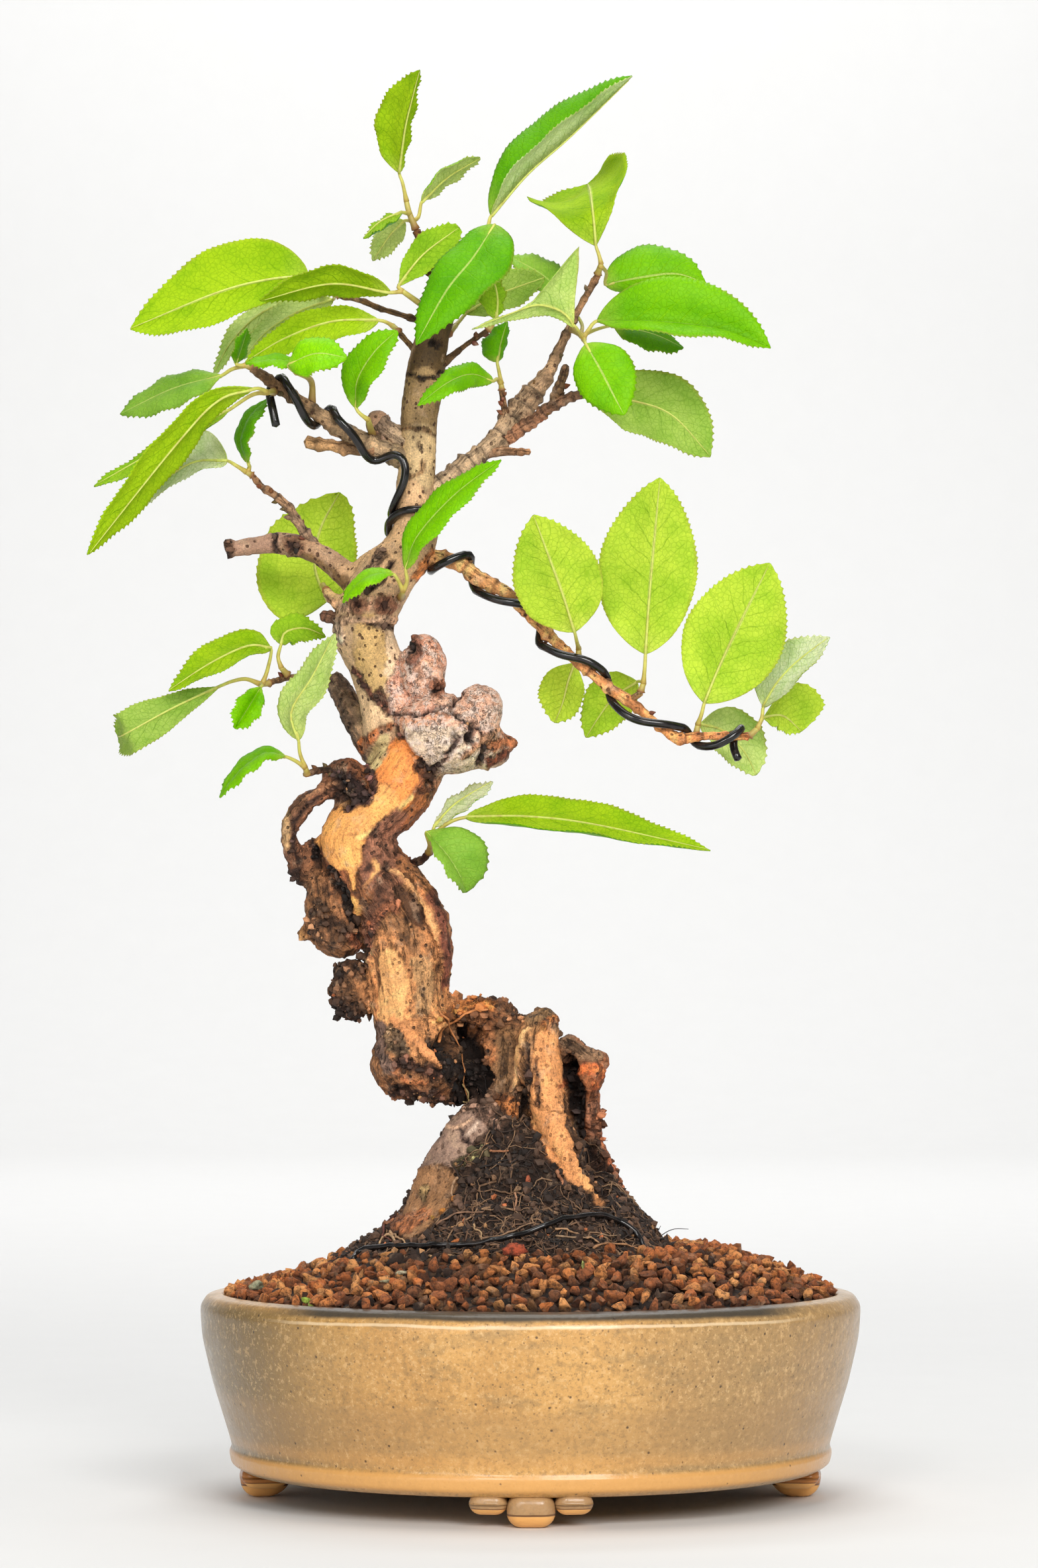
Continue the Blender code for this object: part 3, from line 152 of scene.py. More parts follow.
# %% Meshes from arrays
class Build:
    """Gathers vertices, faces, colours, surface places and kinds, and makes one object of them."""

    def __init__(self):
        self.verts, self.faces, self.tints, self.places, self.kinds, self.slots = [], [], [], [], [], []
        self.count = 0

    def add(self, verts, faces, tint, place=(2.0, 0.0, 0.0), slot=0, kind=(0.0, 0.0, 0.0)):
        verts = np.asarray(verts, float)
        self.kinds.append(np.broadcast_to(kind, (len(verts), 3)))
        self.faces += [[index + self.count for index in face] for face in faces]
        self.slots += [slot] * len(faces)
        self.verts.append(verts)
        self.tints.append(np.broadcast_to(tint, (len(verts), 3)))
        self.places.append(np.broadcast_to(place, (len(verts), 3)))
        self.count += len(verts)

    def object(self, name, finishes, smooth=True):
        mesh = bpy.data.meshes.new(name)
        mesh.from_pydata(np.concatenate(self.verts).tolist(), [], self.faces)
        tint = mesh.attributes.new("tint", "FLOAT_COLOR", "POINT")
        colours = np.concatenate(self.tints)
        tint.data.foreach_set("color", np.hstack([colours, np.ones((len(colours), 1))]).ravel())
        for label, rows in (("place", self.places), ("kind", self.kinds)):
            layer = mesh.attributes.new(label, "FLOAT_VECTOR", "POINT")
            layer.data.foreach_set("vector", np.concatenate(rows).ravel())
        for finish in finishes:
            mesh.materials.append(finish.material)
        mesh.polygons.foreach_set("material_index", self.slots)
        mesh.polygons.foreach_set("use_smooth", [smooth] * len(self.faces))
        mesh.update()
        made = bpy.data.objects.new(name, mesh)
        bpy.context.scene.collection.objects.link(made)
        return made


print("a new build has", Build().count, "vertices")


# %% Colours as levels from 0 to 255
def colour(*levels):
    """Linear colour from 0 to 255 levels."""
    share = np.array(levels, float) / 255.0
    return np.where(share <= 0.04045, share / 12.92, ((share + 0.055) / 1.055) ** 2.4)


print("white is", colour(255, 255, 255))


# %% Round tubes along a line
def frames_along(ahead, hint):
    """Two directions across a line at each point, turned as little as possible from one to the next."""
    side = np.cross(ahead[0], hint)
    for way in ahead:
        side = side - way * side.dot(way)
        side /= np.linalg.norm(side)
        yield side, np.cross(way, side)


def unit(rows):
    """The rows as directions of length one."""
    return rows / (np.linalg.norm(rows, axis=-1, keepdims=True) + 1e-12)


def tube_rings(path, radii, sides):
    """Vertices and faces of a round tube along points, with short pointed ends."""
    path = np.asarray(path, float)
    radii = np.broadcast_to(radii, len(path)).astype(float)
    ahead = unit(np.gradient(path, axis=0))
    turns = np.linspace(0.0, math.tau, sides, endpoint=False)
    rings = []
    for k, (one, two) in enumerate(frames_along(ahead, (0.31, 0.83, 0.46))):
        across = np.outer(np.cos(turns) * radii[k], one)
        rings.append(path[k] + across + np.outer(np.sin(turns) * radii[k], two))
    first_end = path[:1] - ahead[0] * radii[0] * 0.5
    last_end = path[-1:] + ahead[-1] * radii[-1] * 0.5
    verts = np.concatenate([first_end, *rings, last_end])
    faces = []
    last = len(verts) - 1
    for j in range(sides):
        k = (j + 1) % sides
        faces.append((0, 1 + k, 1 + j))
        for i in range(len(path) - 1):
            a = 1 + i * sides
            faces.append((a + j, a + k, a + sides + k, a + sides + j))
        a = 1 + (len(path) - 1) * sides
        faces.append((last, a + j, a + k))
    return verts, faces


def per_vertex(values, sides):
    """Values given ring by ring, repeated for all vertices of a tube."""
    return np.concatenate([values[:1], np.repeat(values, sides, axis=0), values[-1:]])


print("a tube of 2 rings and 3 sides has", len(tube_rings(((0, 0, 0), (0, 0, 1)), 1, 3)[0]), "vertices")


# %% Balls and other solids
def shape_of(body):
    """Vertices and faces of a mesh under construction, which is then freed."""
    verts = np.array([vert.co for vert in body.verts])
    faces = [[vert.index for vert in face.verts] for face in body.faces]
    body.free()
    return verts, faces


def unit_ball(subdivisions):
    """Vertices and faces of a ball with a radius of one."""
    body = bmesh.new()
    bmesh.ops.create_icosphere(body, subdivisions=subdivisions, radius=1.0)
    return shape_of(body)


print("a ball has", len(unit_ball(3)[1]), "faces")


# %% [markdown]
# ## Finishes from nodes
#
# Every finish is made of Blender's noise, cell and gradient patterns, so it has no seams and no
# pictures. Each could be wired up by hand in the node editor. Here a small class holds a material and has one
# short word for each kind of node that is needed, which adds the node, plugs its inputs and hands on its
# output. Colours that were worked out per vertex arrive through the attribute "tint".

# %% A finish and its nodes
class Finish:
    """A material that is put together from nodes, and the shader that its patterns feed."""

    def __init__(self, name, **settings):
        self.material = bpy.data.materials.new(name)
        self.material.use_nodes = True
        self.tree = self.material.node_tree
        self.shader = self.tree.nodes["Principled BSDF"]
        for socket, value in settings.items():
            self.shader.inputs[socket.replace("_", " ")].default_value = value

    def put(self, kind, inputs=(), out=0, **settings):
        """Adds a node, plugs values or sockets into its inputs, and returns one output."""
        made = self.tree.nodes.new("ShaderNode" + kind)
        for key, value in settings.items():
            setattr(made, key, value)
        for key, value in dict(inputs).items():
            if isinstance(value, bpy.types.NodeSocket):
                self.tree.links.new(value, made.inputs[key])
            else:
                made.inputs[key].default_value = value
        return made.outputs[out]

    def feed(self, socket, value):
        self.tree.links.new(value, self.shader.inputs[socket])

    def reckon(self, operation, a, b=0.0):
        return self.put("Math", {0: a, 1: b}, operation=operation)

    def times(self, value, *factors):
        for factor in factors:
            value = self.reckon("MULTIPLY", value, factor)
        return value

    def plus(self, a, b):
        return self.reckon("ADD", a, b)

    def minus(self, a, b):
        return self.reckon("SUBTRACT", a, b)

    def step_up(self, value, start, end):
        """0 at start, 1 at end, smooth between. With start above end, it falls."""
        inputs = {"Value": value, "From Min": start, "From Max": end}
        return self.put("MapRange", inputs, interpolation_type="SMOOTHSTEP")

    def spread(self, value, low, high):
        """A pattern from 0 to 1, brought between low and high."""
        return self.put("MapRange", {"Value": value, "To Min": low, "To Max": high})

    def parts(self, vector):
        """The three numbers of a vector."""
        return self.put("SeparateXYZ", {0: vector}).node.outputs

    def blend(self, share, first, second, kind="MIX"):
        def four(value):
            return value if isinstance(value, bpy.types.NodeSocket) else (*value, 1.0)[:4]

        inputs = {0: share, 6: four(first), 7: four(second)}
        return self.put("Mix", inputs, out=2, data_type="RGBA", blend_type=kind)

    def dyed(self, tone, factors):
        """The tone with its red, green and blue each multiplied."""
        return self.blend(1.0, tone, factors, "MULTIPLY")

    def mottle(self, where, scale, detail=4.0, rough=0.6, warp=0.0):
        inputs = {"Vector": where, "Scale": scale, "Detail": detail, "Roughness": rough, "Distortion": warp}
        return self.put("TexNoise", inputs)

    def cells(self, where, scale, feature="F1"):
        return self.put("TexVoronoi", {"Vector": where, "Scale": scale}, feature=feature)

    def stretched(self, where, scale):
        return self.put("Mapping", {0: where, 3: scale})

    def emboss(self, height, depth, strength=1.0):
        self.feed("Normal", self.put("Bump", {"Height": height, "Distance": depth, "Strength": strength}))

    def body_place(self):
        return self.put("TexCoord", out=3)

    def painted(self, name="tint"):
        return self.put("Attribute", attribute_name=name, out=0)


print("words for nodes:", ", ".join(word for word in vars(Finish) if word[0] != "_"))


# %% [markdown]
# ## The wood: strokes and lumps melted together
#
# On the real tree the trunk is one piece of living and dead wood, with burls, a loop of dead wood, hollows
# and old roots. It could be sculpted by hand, but a script can't be guided by hand. Instead each limb is a
# stroke through a few places with a thickness, each burl is a lump, and Blender's voxel remesh melts them
# into one skin. The strokes stay in use afterwards: the nearest one tells each point of the skin which way
# its fibres run, how gnarled it is and what colour it has.

# %% Strokes, lumps and the root ball
THICK_LIMBS = {
    "upper_stem": (
        (600, 1120, 2, 96), (585, 1060, 2, 86), (568, 1005, 2, 84), (549, 955, 1, 92), (560, 915, 0, 92),
        (584, 872, 0, 86), (619, 828, 0, 76), (631, 780, 0, 66), (628, 735, 0, 60), (631, 690, 0, 58),
        (632, 640, 0, 58), (638, 600, 0, 59), (645, 550, 0, 57), (656, 500, 0, 50), (672, 462, 1, 38),
        (684, 448, 1, 22),
    ),
    "smooth_wood": (
        (640, 1120, 1, 96), (600, 1190, 0, 108), (557, 1235, 0, 104), (541, 1272, 0, 120),
        (552, 1310, 0, 122), (575, 1350, 0, 126),
    ),
    "middle_trunk": (
        (578, 1340, 0, 126), (610, 1395, 1, 128), (616, 1450, 1, 130), (619, 1500, 0, 118),
        (626, 1545, 0, 122), (640, 1590, 0, 120),
    ),
    "long_lip": (
        (598, 1312, -3, 22), (635, 1342, -5, 30), (658, 1385, -6, 34), (668, 1430, -5, 26),
        (668, 1475, -3, 18),
    ),
    "rough_flank": ((488, 1315, 3, 56), (500, 1355, 2, 84), (510, 1395, 2, 98), (532, 1428, 3, 56)),
    "dead_loop": (
        (518, 1182, -2, 30), (482, 1202, -2, 24), (455, 1223, -2, 26), (440, 1250, -1, 26),
        (441, 1280, 0, 26), (449, 1310, 1, 26), (462, 1328, 2, 34), (492, 1335, 2, 44),
    ),
    "back_branch": (
        (590, 1165, 4, 54), (560, 1120, 6, 46), (536, 1080, 8, 42),
        (518, 1048, 10, 36), (503, 1021, 11, 24),
    ),
    "knee_neck": ((640, 1625, 2, 70), (700, 1625, 5, 84), (770, 1620, 3, 90)),
    "hollow_rim": (
        (655, 1512, 1, 46), (700, 1528, 0, 34), (745, 1527, -1, 42),
        (790, 1553, -2, 38), (832, 1545, -2, 46),
    ),
    "column": (
        (822, 1548, -3, 54), (812, 1580, -5, 62), (822, 1640, -7, 62), (838, 1700, -10, 50),
        (868, 1762, -14, 40), (900, 1815, -17, 34),
    ),
    "body_left": ((772, 1560, 0, 66), (768, 1620, 0, 76), (760, 1680, 0, 84)),
    "body_back": ((790, 1560, 8, 90), (800, 1620, 9, 100), (795, 1680, 9, 100)),
    "shoulder": ((848, 1578, 1, 44), (878, 1600, 1, 44), (894, 1612, 1, 44), (884, 1650, 1, 42)),
    "right_root": (
        (884, 1640, 2, 44), (883, 1690, 3, 48), (886, 1730, 4, 46),
        (905, 1770, 5, 52), (920, 1800, 6, 54),
    ),
    "left_root": (
        (752, 1672, -1, 76), (716, 1716, -3, 80), (682, 1765, -5, 80), (660, 1810, -6, 76),
        (644, 1850, -7, 72), (636, 1885, -8, 68),
    ),
    "back_root": ((790, 1690, 8, 90), (770, 1760, 15, 74), (750, 1820, 21, 66), (735, 1870, 26, 60)),
    "back_right_root": (
        (840, 1690, 7, 80), (870, 1760, 13, 60), (895, 1820, 18, 56), (915, 1870, 22, 50),
    ),
    "left_collar": ((600, 862, 0, 66), (565, 872, 1, 54), (540, 878, 2, 46), (520, 866, 3, 38)),
    "left_stub": (
        (520, 866, 3, 38), (490, 842, 5, 34), (455, 825, 6, 34), (418, 820, 7, 33), (398, 823, 7, 26),
        (347, 829, 8, 21),
    ),
    "left_arm": ((612, 825, 0, 34), (578, 836, 0, 28), (556, 850, 1, 28), (540, 872, 2, 34)),
    "bud_collar": ((550, 930, 0, 40), (520, 915, 0, 30), (500, 903, 1, 18), (494, 893, 2, 13)),
    "flake_tip": ((728, 1118, -1, 56), (752, 1122, -1, 34), (782, 1123, -1, 7)),
    "cut_stub": ((480, 1402, 2, 30), (452, 1416, 1, 16)),
    # Wood that closes the lower half of the dead loop
    "loop_web": ((474, 1268, 0, 14), (468, 1290, 1, 26), (474, 1318, 2, 34)),
}
# Each lump's middle, then its half widths: two in pixels and the one to the back in millimetres
LUMPS = {
    "main_burl": ((675, 1108, -2), (82, 62, 10.5)),
    "grey_knob": ((722, 1073, -4), (37, 40, 6.2)),
    "upper_burl": ((640, 1015, -1), (34, 58, 6.6)),
    "flake_root": ((725, 1128, -1), (46, 34, 6.0)),
    "cavity_knob": ((524, 1180, -1), (34, 36, 6.0)),
    "dark_clump": ((536, 1498, 2), (34, 38, 5.5)),
    "knee_bulb": ((632, 1602, -2), (70, 60, 10.5)),
    "shoulder_tip": ((900, 1604, 1), (20, 18, 3.2)),
    "branch_knob": ((570, 640, 1), (19, 22, 3.0)),
    # Near-black lumps behind the two hollows: painted shade deep inside them
    "hollow_back": ((704, 1588, 8), (64, 66, 6.5)),
    "right_hollow_back": ((862, 1660, 8), (40, 96, 6.0)),
}
# Rings of the root ball in mm: middle of the ring across, height, radius
BALL_MIDDLE = -4.5
ROOT_CONE = (
    (BALL_MIDDLE, 48.0, 33.0), (BALL_MIDDLE, 54.4, 36.8), (-3.2, 58.0, 32.0), (-2.2, 63.0, 27.0),
    (-1.5, 72.0, 19.5), (-3.5, 84.0, 9.0),
)
print(len(THICK_LIMBS), "strokes and", len(LUMPS), "lumps")

# %% Kinds of surface: how gnarled, and how much chalky flaking, crumbling and speckling each has
KINDS = {
    "bare": (0.16, 0.0, 0.0, 0.25),
    "planed": (0.3, 0.0, 0.2, 0.6),
    "bark": (0.34, 0.0, 0.1, 1.0),
    "chalk": (0.75, 1.0, 0.1, 0.7),
    "worn": (0.8, 0.0, 0.55, 0.5),
    "rough": (1.35, 0.0, 1.0, 0.2),
    "felt": (1.3, 0.0, 1.0, 0.0),
    "clod": (2.4, 0.0, 1.0, 0.0),
    "gnarly": (1.3, 0.0, 0.5, 0.4),
}

# What each stroke looks like: its kind of surface, its colour at the start and at the end
WOOD_LOOKS = {
    "upper_stem": ("bark", (206, 182, 152), (108, 84, 54)),
    "smooth_wood": ("worn", (176, 112, 66), (120, 74, 50)),
    "middle_trunk": ("worn", (184, 130, 86), (232, 168, 112)),
    "long_lip": ("worn", (176, 120, 80), (140, 90, 68)),
    "rough_flank": ("gnarly", (146, 108, 76), (152, 110, 76)),
    "dead_loop": ("gnarly", (156, 114, 88), (100, 70, 54)),
    "loop_web": ("gnarly", (112, 80, 60), (120, 84, 62)),
    "back_branch": ("worn", (134, 114, 98), (92, 74, 62)),
    "knee_neck": ("felt", (84, 56, 40), (60, 42, 32)),
    "hollow_rim": ("rough", (170, 104, 62), (150, 108, 76)),
    "column": ("worn", (176, 132, 90), (222, 158, 104)),
    "body_left": ("worn", (146, 110, 74), (170, 120, 78)),
    "body_back": ("worn", (120, 82, 54), (100, 70, 50)),
    "shoulder": ("worn", (140, 104, 76), (176, 110, 70)),
    "right_root": ("worn", (180, 118, 82), (190, 116, 76)),
    "left_root": ("worn", (170, 142, 124), (186, 132, 94)),
    "back_root": ("worn", (140, 104, 78), (110, 80, 58)),
    "back_right_root": ("worn", (140, 104, 78), (110, 80, 58)),
    "left_collar": ("bark", (206, 180, 136), (176, 146, 114)),
    "left_stub": ("bark", (150, 126, 104), (150, 122, 100)),
    "left_arm": ("bark", (188, 164, 122), (150, 122, 84)),
    "bud_collar": ("worn", (216, 182, 154), (150, 112, 84)),
    "main_burl": ("chalk", (232, 192, 176), (226, 182, 162)),
    "grey_knob": ("chalk", (212, 176, 160), (196, 158, 140)),
    "upper_burl": ("chalk", (226, 178, 162), (210, 156, 134)),
    "flake_root": ("chalk", (200, 168, 156), (190, 150, 130)),
    "cavity_knob": ("gnarly", (84, 58, 44), (110, 74, 54)),
    "dark_clump": ("clod", (68, 47, 36), (78, 53, 38)),
    "knee_bulb": ("gnarly", (152, 106, 72), (176, 128, 88)),
    "shoulder_tip": ("worn", (190, 112, 70), (150, 104, 76)),
    "branch_knob": ("bark", (150, 124, 106), (140, 114, 96)),
    # Near-black felt on the lumps behind the hollows: painted shade
    "hollow_back": ("felt", (46, 34, 27), (46, 34, 27)),
    "right_hollow_back": ("felt", (48, 35, 28), (48, 35, 28)),
    "flake_tip": ("worn", (180, 118, 82), (160, 98, 68)),
    "cut_stub": ("worn", (160, 112, 72), (216, 168, 112)),
    "root_ball": ("felt", (70, 50, 37), (62, 45, 34)),
}
print(len(WOOD_LOOKS), "looks of", len(KINDS), "kinds")


# %% Samples along every stroke
class Strokes:
    """Centres, radii, running directions, cross frames, lengths so far, colours and kinds of all strokes."""

    def __init__(self):
        self.rows = []

    def add(self, centres, radii, look):
        kind, start, end = WOOD_LOOKS[look]
        ahead = np.gradient(centres, axis=0)
        ahead /= np.linalg.norm(ahead, axis=1)[:, None]
        steps = np.linalg.norm(np.diff(centres, axis=0), axis=1)
        run = np.concatenate([[0.0], np.cumsum(steps)])
        for k, (side, other) in enumerate(frames_along(ahead, (0.2, 0.9, 0.3))):
            share = run[k] / run[-1]
            tone = colour(*start) * (1 - share) + colour(*end) * share
            parts = [centres[k], [radii[k]], ahead[k], side, other, [run[k]], tone, KINDS[kind]]
            self.rows.append(np.concatenate(parts))


def limb_path(points, count):
    """Evenly spaced centres and radii along a limb's (column, row, depth, width) places."""
    run = smooth_path(points, count)
    return spots(run[:, :3]), breadth(run[:, 3], run[:, 2]) / 2


def ball(place, size):
    """Vertices and faces of an ellipsoid: half widths in pixels, pixels and millimetres of depth."""
    verts, faces = unit_ball(3)
    return verts * (breadth(size[0]), size[2] * MM, breadth(size[1])) + spots(place), faces


strokes = Strokes()
raw = Build()
for name, points in THICK_LIMBS.items():
    count = max(8, int(path_length(points) / 7))
    centres, radii = limb_path(points, count)
    raw.add(*tube_rings(centres, radii, 14), (1, 1, 1))
    strokes.add(centres, radii, name)
for name, (place, size) in LUMPS.items():
    raw.add(*ball(place, size), (1, 1, 1))
    column, row, depth = place
    ends = [(column, row + share * size[1], depth) for share in (0.4, -0.4)]
    strokes.add(spots(ends), np.full(2, breadth(min(size[:2]))), name)
print(len(strokes.rows), "samples")


# %% The root ball as a stack of level rings
def ring_stack(rings, sides, middle):
    """Vertices and faces of a closed solid through level rings."""
    turns = np.linspace(0.0, math.tau, sides, endpoint=False)
    verts = [middle + np.array((sideways + r * math.cos(t), r * math.sin(t), z)) * MM
             for sideways, z, r in rings for t in turns]
    faces = []
    for k in range(len(rings) - 1):
        for j in range(sides):
            n = (j + 1) % sides
            faces.append((k * sides + j, k * sides + n, (k + 1) * sides + n, (k + 1) * sides + j))
    faces.append(list(range(sides))[::-1])
    faces.append([(len(rings) - 1) * sides + j for j in range(sides)])
    return np.array(verts), faces


BALL_SIDES = 48
raw.add(*ring_stack(ROOT_CONE, BALL_SIDES, POT_AXIS), (1, 1, 1))
cone_line = np.array([POT_AXIS + np.array((side, 0.0, z)) * MM for side, z, _ in ROOT_CONE])
strokes.add(cone_line, np.array([ring[2] for ring in ROOT_CONE]) * MM, "root_ball")
SAMPLES = np.array(strokes.rows)


def melted(gathered, voxel, soften):
    """Vertices, normals and faces of the gathered shapes melted into one skin."""
    thing = gathered.object("melting", [])
    melt = thing.modifiers.new("melt", "REMESH")
    melt.mode = "VOXEL"
    melt.voxel_size = voxel
    smooth = thing.modifiers.new("smooth", "SMOOTH")
    smooth.iterations = soften
    view = bpy.context.evaluated_depsgraph_get()
    mesh = bpy.data.meshes.new_from_object(thing.evaluated_get(view))
    bpy.data.objects.remove(thing, do_unlink=True)
    verts = np.empty(len(mesh.vertices) * 3)
    mesh.vertices.foreach_get("co", verts)
    normals = np.empty(len(mesh.vertices) * 3)
    mesh.vertices.foreach_get("normal", normals)
    faces = [list(face.vertices) for face in mesh.polygons]
    return verts.reshape(-1, 3), normals.reshape(-1, 3), faces


VOXEL = 0.68 * MM
skin, skin_normals, skin_faces = melted(raw, VOXEL, 2)
print("skin:", len(skin), "vertices,", 2 * len(skin_faces), "triangles")


# %% Fibre coordinates, colour and kind of every point of the skin
def nearest_wood(points):
    """Fibre coordinates (m), colour, gnarl, chalk, crumble and specks of the wood at each point."""
    found = np.empty((len(points), 10))
    for start in range(0, len(points), 4000):
        some = points[start : start + 4000]
        apart = some[:, None] - SAMPLES[None, :, :3]
        reach = np.linalg.norm(apart, axis=2) / SAMPLES[:, 3]
        weight = (reach + 0.05) ** -9.0
        weight /= weight.sum(axis=1)[:, None]
        near = SAMPLES[reach.argmin(axis=1)]
        off = some - near[:, :3]
        found[start : start + 4000, 0] = (off * near[:, 7:10]).sum(axis=1)
        found[start : start + 4000, 1] = (off * near[:, 10:13]).sum(axis=1)
        found[start : start + 4000, 2] = near[:, 13] + (off * near[:, 4:7]).sum(axis=1)
        found[start : start + 4000, 3:] = weight @ SAMPLES[:, 14:21]
    return found


def rough(points, per_mm, octaves=4, seed=0.0):
    """Fractal noise with this many features a millimetre."""
    scale = per_mm / MM
    shift = Vector((seed, 2.7 * seed, -1.3 * seed))
    return np.array([noise.fractal(Vector(place) * scale + shift, 0.9, 2.1, octaves) for place in points])


wood_facts = nearest_wood(skin)
fibre, wood_tone, wood_kind = wood_facts[:, :3], wood_facts[:, 3:6], wood_facts[:, 6:]
print("gnarl from", wood_kind[:, 0].min().round(2), "to", wood_kind[:, 0].max().round(2))
